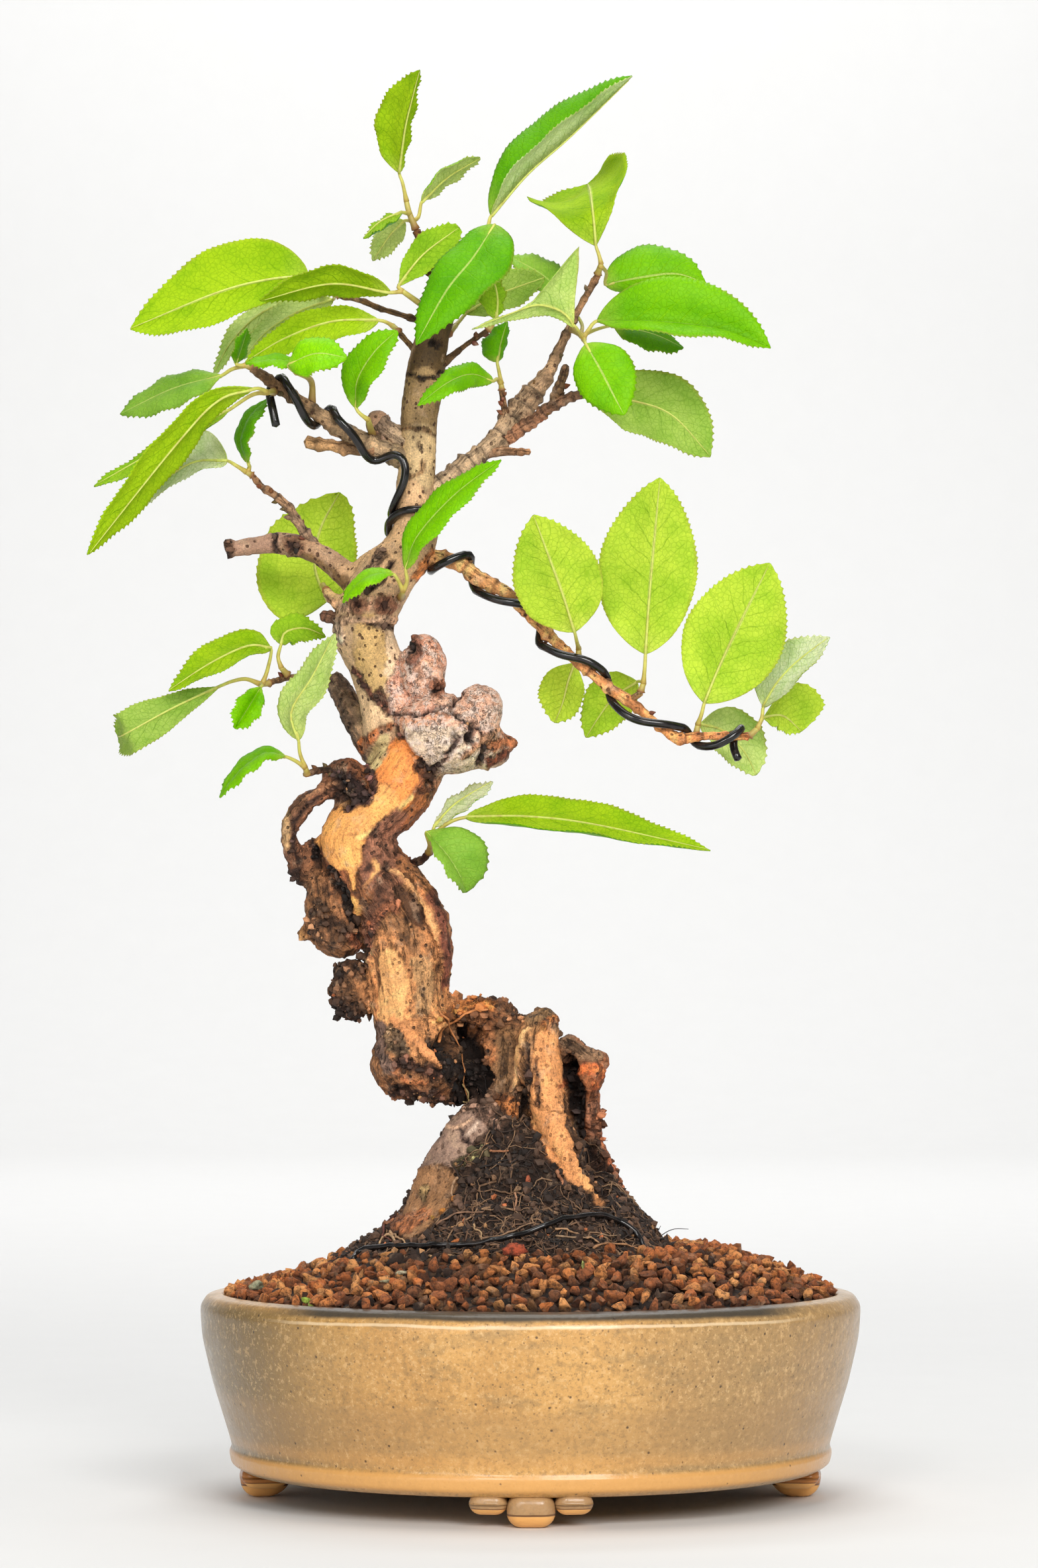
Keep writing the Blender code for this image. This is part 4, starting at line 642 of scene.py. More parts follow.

# %% [markdown]
# ## Marks on the front of the trunk
#
# The seen side of the trunk has marks of its own: a flow of golden bare wood, scars, lips of old bark, cracks
# between the burls, and sunken hollows, creases and holes darkened as painted shade. They could be painted as
# a picture and projected, but a picture isn't shape. Here each mark is a stroke over the skin with a width, a
# colour, a kind of surface and a relief, so that a scar is lower than the bark round it and a lip stands
# proud.

# %% Marks: kind, colour, relief in mm, places (column, row, half width in pixels)
MARKS = {
    "stem_dark": ("bark", (82, 66, 42), 0.0, ((676, 430, 18), (664, 490, 28), (650, 560, 30))),
    "stem_grey": ("bark", (144, 124, 90), 0.0, ((640, 588, 32), (636, 640, 34))),
    "stem_cream": ("bark", (176, 158, 124), 0.0, ((632, 676, 36), (628, 715, 32))),
    "stem_peach": ("bark", (192, 164, 130), 0.0, ((614, 756, 32), (604, 800, 36), (596, 840, 42))),
    "stem_ring_high": ("rough", (44, 32, 20), -0.4, ((616, 566, 2), (636, 572, 2.5), (668, 566, 2))),
    "stem_ring_mark": ("rough", (50, 38, 24), -0.3, ((650, 518, 2), (668, 522, 2.5))),
    "stem_ring": ("worn", (120, 92, 58), 0.3, ((604, 648, 2), (628, 647, 3), (656, 655, 2))),
    "stem_scar": ("rough", (60, 42, 28), -0.5, ((634, 672, 2), (638, 680, 2))),
    # Painted shade: the crease darkened
    "stem_crease": ("rough", (64, 46, 32), -0.5, ((570, 664, 2), (582, 652, 2))),
    "stem_fold": ("worn", (166, 136, 100), -0.4, ((612, 724, 3), (634, 716, 3), (640, 700, 3))),
    "stem_rust": ("worn", (186, 122, 72), 0.3, ((652, 836, 6), (644, 852, 8), (626, 872, 6))),
    "stub_tip": ("bark", (150, 124, 110), 0.2, ((350, 828, 16), (404, 816, 20))),
    "stub_end": ("rough", (92, 64, 48), 0.2, ((346, 818, 4), (348, 836, 4))),
    "stub_ring": ("rough", (44, 32, 26), -0.7, ((413, 796, 3), (416, 846, 3))),
    "stub_knot": ("worn", (128, 96, 76), 0.7, ((440, 824, 14), (444, 828, 14))),
    "stub_eye": ("rough", (52, 34, 28), -1.0, ((440, 824, 6), (443, 828, 6))),
    "arm_brown": ("bark", (112, 90, 62), 0.0, ((462, 848, 12), (486, 862, 12), (520, 880, 8))),
    "arm_pale": ("bark", (196, 172, 126), 0.1, ((484, 888, 8), (512, 896, 10), (532, 902, 8))),
    "collar_ridge": ("rough", (150, 118, 92), 0.9, ((546, 884, 8), (562, 860, 8), (578, 838, 7))),
    "collar_shadow": ("rough", (56, 40, 32), -0.6, ((556, 894, 3), (580, 872, 3), (592, 846, 2))),
    "stem_olive": ("bark", (182, 158, 110), 0.0, ((556, 948, 22), (560, 990, 26), (566, 1030, 18))),
    "stem_pale": ("bark", (212, 194, 168), 0.1, ((592, 960, 10), (598, 990, 15), (588, 1015, 9))),
    "stem_red_edge": ("rough", (104, 62, 46), 0.15, ((536, 1012, 4), (560, 1050, 5), (590, 1074, 5))),
    # Painted shade: the collar's crease darkened
    "collar_crease": ("rough", (70, 46, 36), -0.5, ((544, 931, 2), (560, 944, 3), (596, 949, 3))),
    "collar_band": ("worn", (222, 184, 158), 0.4, ((520, 918, 8), (548, 912, 10), (590, 912, 12))),
    "collar_low": ("gnarly", (206, 176, 150), 0.5,
        ((494, 926, 7), (516, 938, 6), (560, 936, 4), (594, 936, 7))),
    "collar_white": ("worn", (220, 196, 176), 0.3, ((506, 946, 8), (512, 966, 8))),
    "collar_ring_left": ("worn", (160, 118, 96), 0.9, ((540, 913, 12), (543, 914, 12))),
    "collar_ring_right": ("worn", (150, 106, 84), 0.9, ((579, 914, 14), (581, 915, 14))),
    "collar_eyes": ("rough", (70, 44, 36), -0.8, ((541, 913, 5), (542, 914, 5))),
    "collar_eye_right": ("rough", (88, 52, 40), -0.7, ((579, 914, 6), (580, 916, 6))),
    "burl_cover": ("chalk", (222, 172, 154), 0.4,
        ((614, 996, 12), (606, 1034, 20), (606, 1066, 22), (640, 1070, 16))),
    "burl_cover_dark": ("rough", (120, 76, 58), 0.1, ((574, 1046, 4), (580, 1060, 5), (588, 1072, 5))),
    "rolled_bark": ("worn", (140, 96, 80), 0.8, ((626, 962, 5), (634, 985, 5), (624, 1004, 4))),
    # Painted shadow: dark crescent beside the rolled bark
    "dark_crescent": ("rough", (30, 22, 20), -1.0,
        ((604, 963, 3), (617, 958, 4), (623, 976, 4), (619, 996, 3))),
    "burl_eye_ring": ("worn", (186, 130, 104), 0.7, ((652, 1034, 8), (664, 1036, 8), (662, 1048, 8))),
    "burl_eye": ("rough", (52, 36, 32), -1.2, ((660, 1040, 4), (662, 1044, 4))),
    # Painted shade: the crease between the burls darkened
    "burl_seam": ("rough", (62, 38, 32), -1.2,
                  ((588, 1080, 2), (622, 1083, 2), (652, 1077, 2), (678, 1065, 2), (692, 1048, 3))),
    "burl_white": ("chalk", (240, 206, 190), 0.25,
                   ((628, 1106, 16), (650, 1118, 30), (682, 1136, 38), (716, 1140, 26), (742, 1132, 14))),
    "burl_peach": ("chalk", (226, 168, 142), 0.2, ((600, 1092, 6), (640, 1092, 8), (676, 1078, 8))),
    "burl_rim": ("worn", (206, 178, 150), 0.6,
        ((742, 1104, 3), (750, 1126, 4), (744, 1150, 3), (728, 1162, 2))),
    # Painted shade: the hollow in the burl's rim darkened
    "burl_hollow": ("rough", (70, 46, 38), -0.9, ((728, 1114, 4), (732, 1132, 5), (722, 1150, 4))),
    "burl_slit": ("rough", (54, 34, 30), -0.7, ((672, 1140, 1.5), (686, 1128, 2), (696, 1116, 1.5))),
    "burl_slit_low": ("rough", (54, 34, 30), -0.7, ((630, 1160, 1.5), (648, 1166, 2), (668, 1162, 1.5))),
    "burl_crack_left": ("rough", (92, 56, 44), -0.8,
        ((598, 1098, 3), (611, 1124, 3), (623, 1142, 3), (634, 1153, 2))),
    "burl_crack": ("rough", (60, 40, 34), -0.8, ((674, 1136, 1.5), (692, 1119, 2))),
    "burl_crack_low": ("rough", (60, 40, 34), -0.8, ((654, 1162, 1.5), (668, 1152, 2), (680, 1144, 1.5))),
    "knob_border": ("rough", (60, 42, 38), -1.0,
        ((690, 1038, 3), (685, 1070, 2), (698, 1090, 3), (724, 1101, 2))),
    # Painted shade: the hole in the grey knob painted near-black
    "knob_hole": ("rough", (46, 32, 28), -1.3, ((712, 1094, 5), (708, 1112, 6), (713, 1124, 3))),
    "knob_ridge": ("worn", (206, 160, 128), 0.5, ((700, 1140, 3), (728, 1122, 4), (750, 1098, 3))),
    "flake_shade": ("worn", (128, 72, 52), -0.2, ((738, 1150, 7), (752, 1146, 6), (764, 1138, 5))),
    "flake": ("worn", (196, 128, 88), 0.2, ((742, 1124, 9), (766, 1122, 7), (780, 1123, 4))),
    "golden_top": ("bare", (226, 142, 78), 0.1,
        ((606, 1136, 20), (600, 1165, 34), (590, 1195, 34), (566, 1220, 30))),
    "golden_bend": ("bare", (222, 164, 98), 0.1,
        ((572, 1216, 32), (536, 1236, 34), (508, 1258, 30), (518, 1284, 30))),
    "golden_foot": ("bare", (232, 166, 98), 0.05,
        ((528, 1284, 24), (534, 1306, 12), (533, 1326, 5), (533, 1344, 4))),
    "golden_island": ("bare", (238, 172, 104), 0.1, ((535, 1362, 7), (539, 1376, 7))),
    "golden_rim": ("bare", (252, 198, 128), 0.3,
        ((622, 1202, 3), (590, 1232, 3), (566, 1252, 4), (542, 1268, 4))),
    "pale_scar": ("bark", (196, 184, 140), 0.1, ((580, 1118, 9), (572, 1136, 11), (562, 1154, 9))),
    "scar_shoulder": ("worn", (190, 118, 72), 0.2, ((536, 1142, 8), (552, 1122, 7), (586, 1099, 6))),
    "knot": ("rough", (150, 92, 58), 0.4, ((634, 1160, 9), (646, 1172, 10), (640, 1190, 8))),
    "knot_edge": ("rough", (62, 40, 32), -0.6, ((633, 1148, 2), (656, 1172, 3), (650, 1194, 2))),
    "cavity": ("clod", (62, 44, 40), -1.8,
        ((508, 1170, 10), (526, 1178, 18), (538, 1194, 20), (522, 1210, 10))),
    # Painted shade: the pit in the cavity painted near-black
    "cavity_pit": ("felt", (34, 26, 24), -1.6, ((512, 1182, 8), (526, 1190, 10))),
    "cavity_edge": ("rough", (112, 74, 66), 0.5,
        ((556, 1160, 5), (566, 1190, 5), (556, 1212, 5), (524, 1222, 4))),
    "underside": ("gnarly", (146, 102, 82), -0.3,
        ((600, 1232, 12), (580, 1268, 24), (574, 1300, 26), (562, 1326, 18))),
    "underside_low": ("gnarly", (146, 102, 80), 0.0, ((590, 1330, 20), (578, 1368, 20), (556, 1400, 12))),
    "loop_pale": ("worn", (206, 172, 128), 0.2, ((436, 1232, 5), (431, 1256, 6), (434, 1282, 4))),
    "loop_crack": ("rough", (58, 40, 34), -0.8,
        ((500, 1196, 2), (466, 1214, 2.5), (446, 1240, 3), (443, 1272, 3), (452, 1302, 3))),
    "loop_crest": ("worn", (190, 142, 108), 0.6, ((506, 1184, 2), (470, 1202, 2.5), (446, 1224, 2))),
    "web_dark": ("rough", (52, 36, 30), -0.8, ((462, 1262, 4), (474, 1276, 5), (478, 1296, 4))),
    "loop_knob": ("clod", (66, 46, 38), 0.6, ((447, 1316, 9), (446, 1332, 9))),
    "flank_dark": ("felt", (52, 38, 30), -0.9,
        ((500, 1316, 7), (520, 1350, 8), (532, 1390, 7), (540, 1420, 6))),
    "flank_crumbs": ("clod", (138, 98, 68), 0.5,
        ((480, 1366, 10), (482, 1392, 16), (506, 1408, 18), (522, 1404, 10))),
    "flank_red": ("worn", (176, 112, 82), 0.2, ((528, 1412, 6), (540, 1432, 7), (545, 1446, 5))),
    "orange_scar": ("rough", (222, 140, 98), 0.5,
        ((604, 1362, 5), (594, 1372, 9), (578, 1378, 8), (566, 1388, 4))),
    "scar_tail": ("rough", (186, 120, 92), 0.3, ((564, 1388, 4), (560, 1408, 3), (564, 1428, 4))),
    "golden_drips": ("bare", (236, 176, 114), 0.4, ((562, 1300, 3), (570, 1312, 3), (552, 1340, 2))),
    # Painted shade: the recess beside the lip darkened
    "lip_recess": ("worn", (90, 64, 46), -0.9, ((604, 1344, 8), (626, 1368, 11), (634, 1392, 9))),
    "lip": ("bare", (226, 172, 120), 1.1,
            ((590, 1314, 2), (616, 1334, 3.5), (641, 1366, 4), (654, 1396, 4.5), (662, 1424, 2.5))),
    "lip_outside": ("gnarly", (128, 78, 62), 0.0,
        ((652, 1352, 8), (666, 1392, 6), (676, 1440, 6), (674, 1490, 5))),
    "trunk_brown": ("gnarly", (176, 130, 90), -0.2, ((594, 1396, 16), (618, 1408, 16), (640, 1436, 10))),
    "trunk_tan": ("planed", (238, 172, 116), 0.1, ((588, 1452, 18), (596, 1490, 24), (590, 1530, 22))),
    "trunk_olive": ("worn", (190, 150, 106), -0.1, ((634, 1456, 14), (644, 1490, 16), (640, 1520, 14))),
    "trunk_spark": ("rough", (250, 176, 126), 0.5, ((568, 1434, 4), (556, 1450, 5), (552, 1462, 4))),
    "trunk_side_dark": ("rough", (66, 46, 36), -0.7, ((556, 1424, 5), (554, 1446, 3), (548, 1472, 4))),
    "knee_grey": ("worn", (126, 104, 94), 0.0, ((574, 1552, 10), (574, 1586, 8), (586, 1614, 10))),
    "knee_moss": ("rough", (168, 134, 98), 0.1, ((592, 1560, 12), (598, 1574, 16), (606, 1584, 14))),
    "knee_ridge": ("bare", (206, 146, 98), 0.8,
        ((596, 1541, 5), (626, 1568, 6), (654, 1596, 9), (688, 1626, 7))),
    # Painted shade: the pocket in the knee darkened
    "knee_pocket": ("rough", (88, 58, 44), -0.8, ((604, 1606, 12), (640, 1618, 8), (668, 1624, 7))),
    "knee_streak": ("worn", (216, 140, 92), 0.3, ((596, 1620, 3), (616, 1632, 4), (640, 1636, 4))),
    "knee_foot": ("rough", (100, 66, 50), 0.0, ((598, 1646, 6), (622, 1656, 6), (660, 1650, 6))),
    # Painted shade: the main hollow between knee and column, sunk and painted near-black
    "hollow": ("felt", (38, 28, 24), -4.6,
               ((668, 1572, 12), (690, 1566, 22), (712, 1590, 26), (722, 1624, 22), (712, 1652, 20))),
    # Painted shade: the hollow's left side darkened
    "hollow_left": ("felt", (40, 30, 25), -1.6,
        ((648, 1572, 6), (672, 1598, 10), (690, 1636, 12), (692, 1660, 8))),
    "rim_orange": ("rough", (250, 156, 84), 0.6,
        ((664, 1542, 5), (684, 1528, 7), (706, 1518, 8), (742, 1514, 9))),
    "rim_chunk": ("rough", (216, 142, 90), 0.8,
        ((716, 1548, 8), (734, 1556, 12), (742, 1578, 8), (744, 1604, 5))),
    "body_brown": ("worn", (128, 98, 68), 0.0, ((762, 1576, 12), (764, 1612, 14), (758, 1642, 12))),
    "bright_line": ("bare", (232, 182, 130), 0.7,
        ((797, 1556, 3), (786, 1584, 4), (779, 1616, 3), (776, 1648, 3))),
    "body_orange": ("rough", (236, 148, 84), 0.3, ((752, 1660, 8), (768, 1668, 12), (780, 1684, 7))),
    # Painted shade: the crease in the body darkened
    "body_crease": ("rough", (60, 42, 34), -1.0, ((796, 1580, 3), (794, 1640, 4), (792, 1690, 5))),
    "column_face": ("planed", (216, 156, 104), 0.2,
                    ((824, 1566, 16), (826, 1620, 22), (828, 1680, 30), (848, 1730, 25), (870, 1772, 17),
                     (896, 1812, 9))),
    "column_edge": ("bare", (216, 154, 100), 0.3, ((842, 1590, 3), (846, 1640, 3), (862, 1694, 3))),
    "column_pits": ("rough", (120, 78, 50), -0.3,
        ((812, 1600, 2), (810, 1622, 2), (816, 1650, 2.5), (812, 1672, 2))),
    "column_cap": ("worn", (154, 122, 86), 0.3, ((800, 1536, 12), (824, 1530, 12), (846, 1528, 8))),
    "cap_orange": ("worn", (232, 146, 84), 0.4, ((822, 1550, 5), (838, 1540, 6), (848, 1530, 5))),
    "shoulder_top": ("worn", (150, 120, 94), 0.1, ((852, 1574, 10), (878, 1590, 8), (904, 1596, 8))),
    "shoulder_flame": ("worn", (246, 132, 78), 0.5,
                       ((846, 1642, 3), (866, 1624, 6), (888, 1612, 8), (904, 1618, 8), (900, 1640, 6))),
    # Painted shade: the right hollow, sunk and painted near-black
    "right_hollow": ("felt", (36, 27, 24), -4.0,
                     ((862, 1606, 9), (866, 1660, 14), (872, 1700, 15), (890, 1750, 14), (914, 1796, 14))),
    "right_root_pink": ("worn", (196, 138, 108), 0.2, ((894, 1672, 7), (888, 1700, 8), (890, 1724, 6))),
    "right_root_flame": ("worn", (226, 134, 90), 0.2, ((908, 1706, 3), (916, 1742, 4), (926, 1764, 5))),
    "ball_front": ("felt", (60, 43, 32), -0.2, ((760, 1740, 22), (772, 1790, 60), (790, 1840, 110))),
    "root_violet": ("planed", (142, 122, 112), 0.5,
        ((728, 1688, 18), (694, 1716, 26), (666, 1748, 30), (646, 1780, 26))),
    "root_white": ("bare", (206, 188, 176), 0.3, ((726, 1690, 2), (718, 1704, 2.5), (704, 1716, 2))),
    "root_moss": ("rough", (108, 92, 62), 0.3, ((690, 1762, 6), (712, 1750, 8), (732, 1738, 7))),
    "root_moss_glint": ("rough", (206, 198, 140), 0.4, ((692, 1756, 1.5), (704, 1747, 2))),
    "root_moss_spark": ("rough", (210, 200, 140), 0.4, ((712, 1741, 1.5), (728, 1730, 1.5))),
    "root_moss_low": ("rough", (186, 178, 118), 0.4, ((702, 1760, 1), (716, 1752, 1.5), (734, 1744, 1))),
    "root_violet_ring": ("rough", (96, 76, 72), -0.4, ((694, 1706, 1.5), (704, 1722, 2), (716, 1730, 1.5))),
    "root_top_dust": ("rough", (164, 126, 104), 0.3, ((722, 1676, 8), (742, 1694, 8), (756, 1708, 5))),
    # Painted shade: the crease round the root darkened
    "root_crease": ("rough", (74, 50, 40), -0.7,
                    ((614, 1810, 2), (626, 1788, 2), (646, 1768, 2.5), (668, 1763, 2.5),
                     (690, 1775, 2), (682, 1800, 2), (668, 1828, 2))),
    "root_olive": ("planed", (150, 116, 84), 0.5, ((660, 1792, 32), (644, 1820, 32), (622, 1848, 24))),
    "root_foot": ("worn", (184, 120, 78), 0.2, ((602, 1850, 12), (620, 1850, 13), (644, 1836, 8))),
    "root_glints": ("bare", (206, 176, 152), 0.3, ((672, 1702, 3), (690, 1708, 2), (712, 1694, 3))),
    "root_gold": ("worn", (180, 156, 110), 0.1, ((646, 1796, 6), (640, 1808, 6))),
}
print(len(MARKS), "marks")

# %% How far each mark covers each point
where = seen(skin)
wander = np.stack([rough(skin, 0.35, 3, 5.0), rough(skin, 0.35, 3, 9.0)], axis=1) * 5.0
facing = np.clip(-skin_normals[:, 1] * 2.0 + 0.45, 0.0, 1.0)


def covered(places):
    """1 inside a stroke over the front of the skin, 0 outside, soft at its edge."""
    pixels = where[:, :2] + wander
    best = np.zeros(len(skin))
    knots = np.array(places, float)
    for a, b in zip(knots, knots[1:]):
        span = b[:2] - a[:2]
        share = np.clip(((pixels - a[:2]) @ span) / (span @ span), 0.0, 1.0)
        apart = np.linalg.norm(pixels - a[:2] - share[:, None] * span, axis=1)
        reach = a[2] + share * (b[2] - a[2])
        best = np.maximum(best, np.clip((reach - apart) / 3.0 + 0.6, 0.0, 1.0))
    return best * facing


mark_relief = np.zeros(len(skin))
for kind, tone, rise, places in MARKS.values():
    cover = covered(places)
    mark_relief += rise * cover * cover * (3 - 2 * cover)
    rim = (4 * cover * (1 - cover) * 0.4)[:, None]
    cover = cover[:, None]
    wood_tone = wood_tone * (1 - cover) + colour(*tone) * cover
    wood_tone = wood_tone * (1 - rim) + colour(70, 44, 32) * rim
    wood_kind = wood_kind * (1 - cover) + np.array(KINDS[kind]) * cover
gnarl, crumble = wood_kind[:, 0], wood_kind[:, 2]
warm = np.clip(1.6 - 1.6 * crumble, 0.0, 1.0)[:, None]
wood_tone = np.clip(wood_tone * (1.0 + warm * (0.38, 0.2, 0.02)), 0.0, 1.0)
print("marks cover", round(float((np.abs(mark_relief) > 0.05).mean()), 2), "of the skin")

# %% [markdown]
# ## Relief of the wood
#
# Besides the marks, the wood has swellings, fibres and pits. The skin's points move along their normals: by
# slow noise for swellings, by ridged noise stretched along the fibres, by finer noise where it crumbles.
# Moving real points keeps these shapes in the outline from every side, which a bump pattern can't do.

# %% Relief from noise
swell = rough(skin, 0.085, 3, 1.0)
ridge = 1.0 - 2.0 * np.abs(rough(fibre * (1.0, 1.0, 0.2), 0.4, 4, 3.0))
pits = np.clip(rough(skin, 0.3, 4, 7.0) - 0.15, 0.0, 1.0)
grit = rough(skin, 0.75, 3, 11.0)
clods = rough(skin, 0.42, 3, 15.0) * np.clip(crumble * 2.0 - 1.1, 0.0, 1.0)
fibrous = 0.7 * swell + 0.28 * ridge - 1.2 * pits
relief = gnarl * fibrous + (0.06 + 0.5 * crumble) * grit + 0.7 * clods + mark_relief
skin = skin + skin_normals * relief[:, None] * MM
print("relief from", relief.min().round(2), "to", relief.max().round(2), "mm")

# %% Painted shade of the wood in pits, troughs and low grit, painted highlight on raised grit, blotches
# Painted shade: near-black laid into pits, troughs between ridges and the low grit of crumbly wood
pit_shade = np.clip(1.6 * pits * gnarl + 0.25 * np.clip(-ridge, 0.0, 1.0) * gnarl, 0.0, 0.85)
pit_shade = np.maximum(pit_shade, np.clip(-grit * 1.6 - 0.1, 0.0, 0.8) * crumble)[:, None]
wood_tone = wood_tone * (1 - pit_shade) + colour(48, 33, 26) * pit_shade
patch = np.clip(rough(skin, 0.16, 4, 13.0) * 1.8, -1.0, 1.0)[:, None]
wood_tone = wood_tone * (1.0 + 0.16 * patch)
# Painted highlight: raised grit on crumbly wood made lighter
grit_highlight = np.clip(grit * 1.3, 0.0, 0.5)[:, None] * crumble[:, None]
wood_tone = np.clip(wood_tone * (1.0 + 0.9 * grit_highlight), 0.0, 1.0)
print("mean colour", wood_tone.mean(axis=0).round(3))

# %% [markdown]
# ## Bark finish
#
# Fine fibres, specks of dark mould and small cracks are too small for the mesh. They come from noise that is
# read in the fibre coordinates, so streaks follow each limb round its bends. The same patterns drive colour,
# roughness and bump together, which keeps a crack dark, rough and deep at one place.

# %% Bark material
bark = Finish("bark_and_bare_wood", Roughness=0.62, Specular_IOR_Level=0.35)
at_fibre = bark.painted("place")
at_body = bark.body_place()
chalky, crumbly, speckled = bark.parts(bark.painted("kind"))
streaks = bark.mottle(bark.stretched(at_fibre, (1.0, 1.0, 0.14)), 1000.0, 6.0, 0.65)
blotches = bark.mottle(at_body, 260.0, 5.0, 0.6)
crumbs = bark.mottle(at_body, 950.0, 5.0, 0.7)
grooves = bark.mottle(bark.stretched(at_fibre, (1.0, 1.0, 0.16)), 520.0, 5.0, 0.7, 0.5)
pit_cells = bark.cells(at_body, 520.0)
speck_cells = bark.cells(bark.stretched(at_fibre, (1.0, 1.0, 0.85)), 640.0)
crackle = bark.cells(at_body, 560.0, "DISTANCE_TO_EDGE")
flakes = bark.mottle(at_body, 520.0, 4.0, 0.7, 0.6)


def darkened(tone, share, level):
    """The tone darkened towards near-black where the share says, as dense as the level: dark staining, and
    painted shade in the grooves.
    """
    return bark.blend(share, tone, bark.blend(level, tone, (0.02, 0.012, 0.009)))


tone = bark.painted()
fibred = bark.minus(1.0, bark.times(speckled, 0.75))
tone = darkened(tone, bark.times(bark.step_up(streaks, 0.53, 0.34), fibred), 0.46)
tone = bark.blend(bark.times(bark.step_up(blotches, 0.54, 0.68), 0.35), tone, (0.66, 0.44, 0.28))
# Painted shade: the grooves of crumbly wood darkened
groove = bark.times(bark.step_up(grooves, 0.47, 0.37), bark.step_up(crumbly, 0.1, 0.5))
tone = darkened(tone, bark.times(groove, 0.62), 0.8)
# Painted highlight: the crests between the grooves lightened
crest = bark.times(bark.step_up(grooves, 0.54, 0.66), bark.step_up(crumbly, 0.1, 0.5))
tone = bark.blend(bark.times(crest, 0.75), tone, bark.dyed(tone, (1.7, 1.55, 1.45)))
tone = darkened(tone, bark.times(bark.step_up(crumbs, 0.5, 0.34), crumbly), 0.82)
pepper = bark.mottle(at_body, 2300.0, 3.0, 0.75)
tone = darkened(tone, bark.step_up(pepper, 0.47, 0.38), 0.42)
brighter = bark.dyed(tone, (1.35, 1.3, 1.25))
tone = bark.blend(bark.step_up(pepper, 0.55, 0.64), tone, brighter)
light_crumb = bark.times(bark.step_up(crumbs, 0.56, 0.7), crumbly, 0.5)
tone = bark.blend(light_crumb, tone, bark.dyed(tone, (2.1, 1.75, 1.5)))
tone = bark.blend(bark.times(bark.step_up(flakes, 0.46, 0.56), chalky, 0.62), tone, (0.88, 0.71, 0.61))
tone = darkened(tone, bark.times(bark.step_up(flakes, 0.41, 0.35), chalky, 0.7), 0.5)
crack = bark.times(bark.step_up(crackle, 0.07, 0.01), chalky, bark.step_up(blotches, 0.42, 0.52))
tone = darkened(tone, bark.times(crack, 0.5), 0.85)
winding = bark.mottle(at_body, 700.0, 3.0, 0.6, 1.6)
split = bark.reckon("ABSOLUTE", bark.minus(winding, 0.5))
split = bark.times(bark.step_up(split, 0.022, 0.006), bark.step_up(blotches, 0.44, 0.54), chalky)
tone = darkened(tone, split, 0.85)
speck = bark.times(bark.step_up(speck_cells, 0.27, 0.17), speckled, bark.step_up(blotches, 0.4, 0.5))
tone = bark.blend(bark.times(speck, 0.88), tone, (0.075, 0.028, 0.014))
pit = bark.times(bark.step_up(pit_cells, 0.25, 0.15), bark.step_up(crumbly, 0.2, 0.5))
tone = darkened(tone, bark.times(pit, bark.step_up(blotches, 0.42, 0.52)), 0.86)
bark.feed("Base Color", tone)
bark.feed("Roughness", bark.spread(streaks, 0.5, 0.8))
height = bark.plus(bark.times(streaks, 0.35), bark.times(crumbs, crumbly, 1.5))
height = bark.plus(height, bark.times(flakes, chalky, 0.9))
height = bark.minus(height, bark.times(bark.reckon("MAXIMUM", groove, pit), 1.1))
height = bark.minus(height, bark.times(bark.reckon("MAXIMUM", split, speck), 0.6))
bark.emboss(height, 0.0009, 1.0)
print(bark.material.name, "has", len(bark.tree.nodes), "nodes")

# %% [markdown]
# ## Branches
#
# Young branches are round, with swollen nodes, bud scars and small spurs. They could be Blender curves with a
# bevel, but a curve can't swell at single nodes or carry colours, so each is a tube built ring by ring. They
# are sunk into the trunk and kept in the same piece.

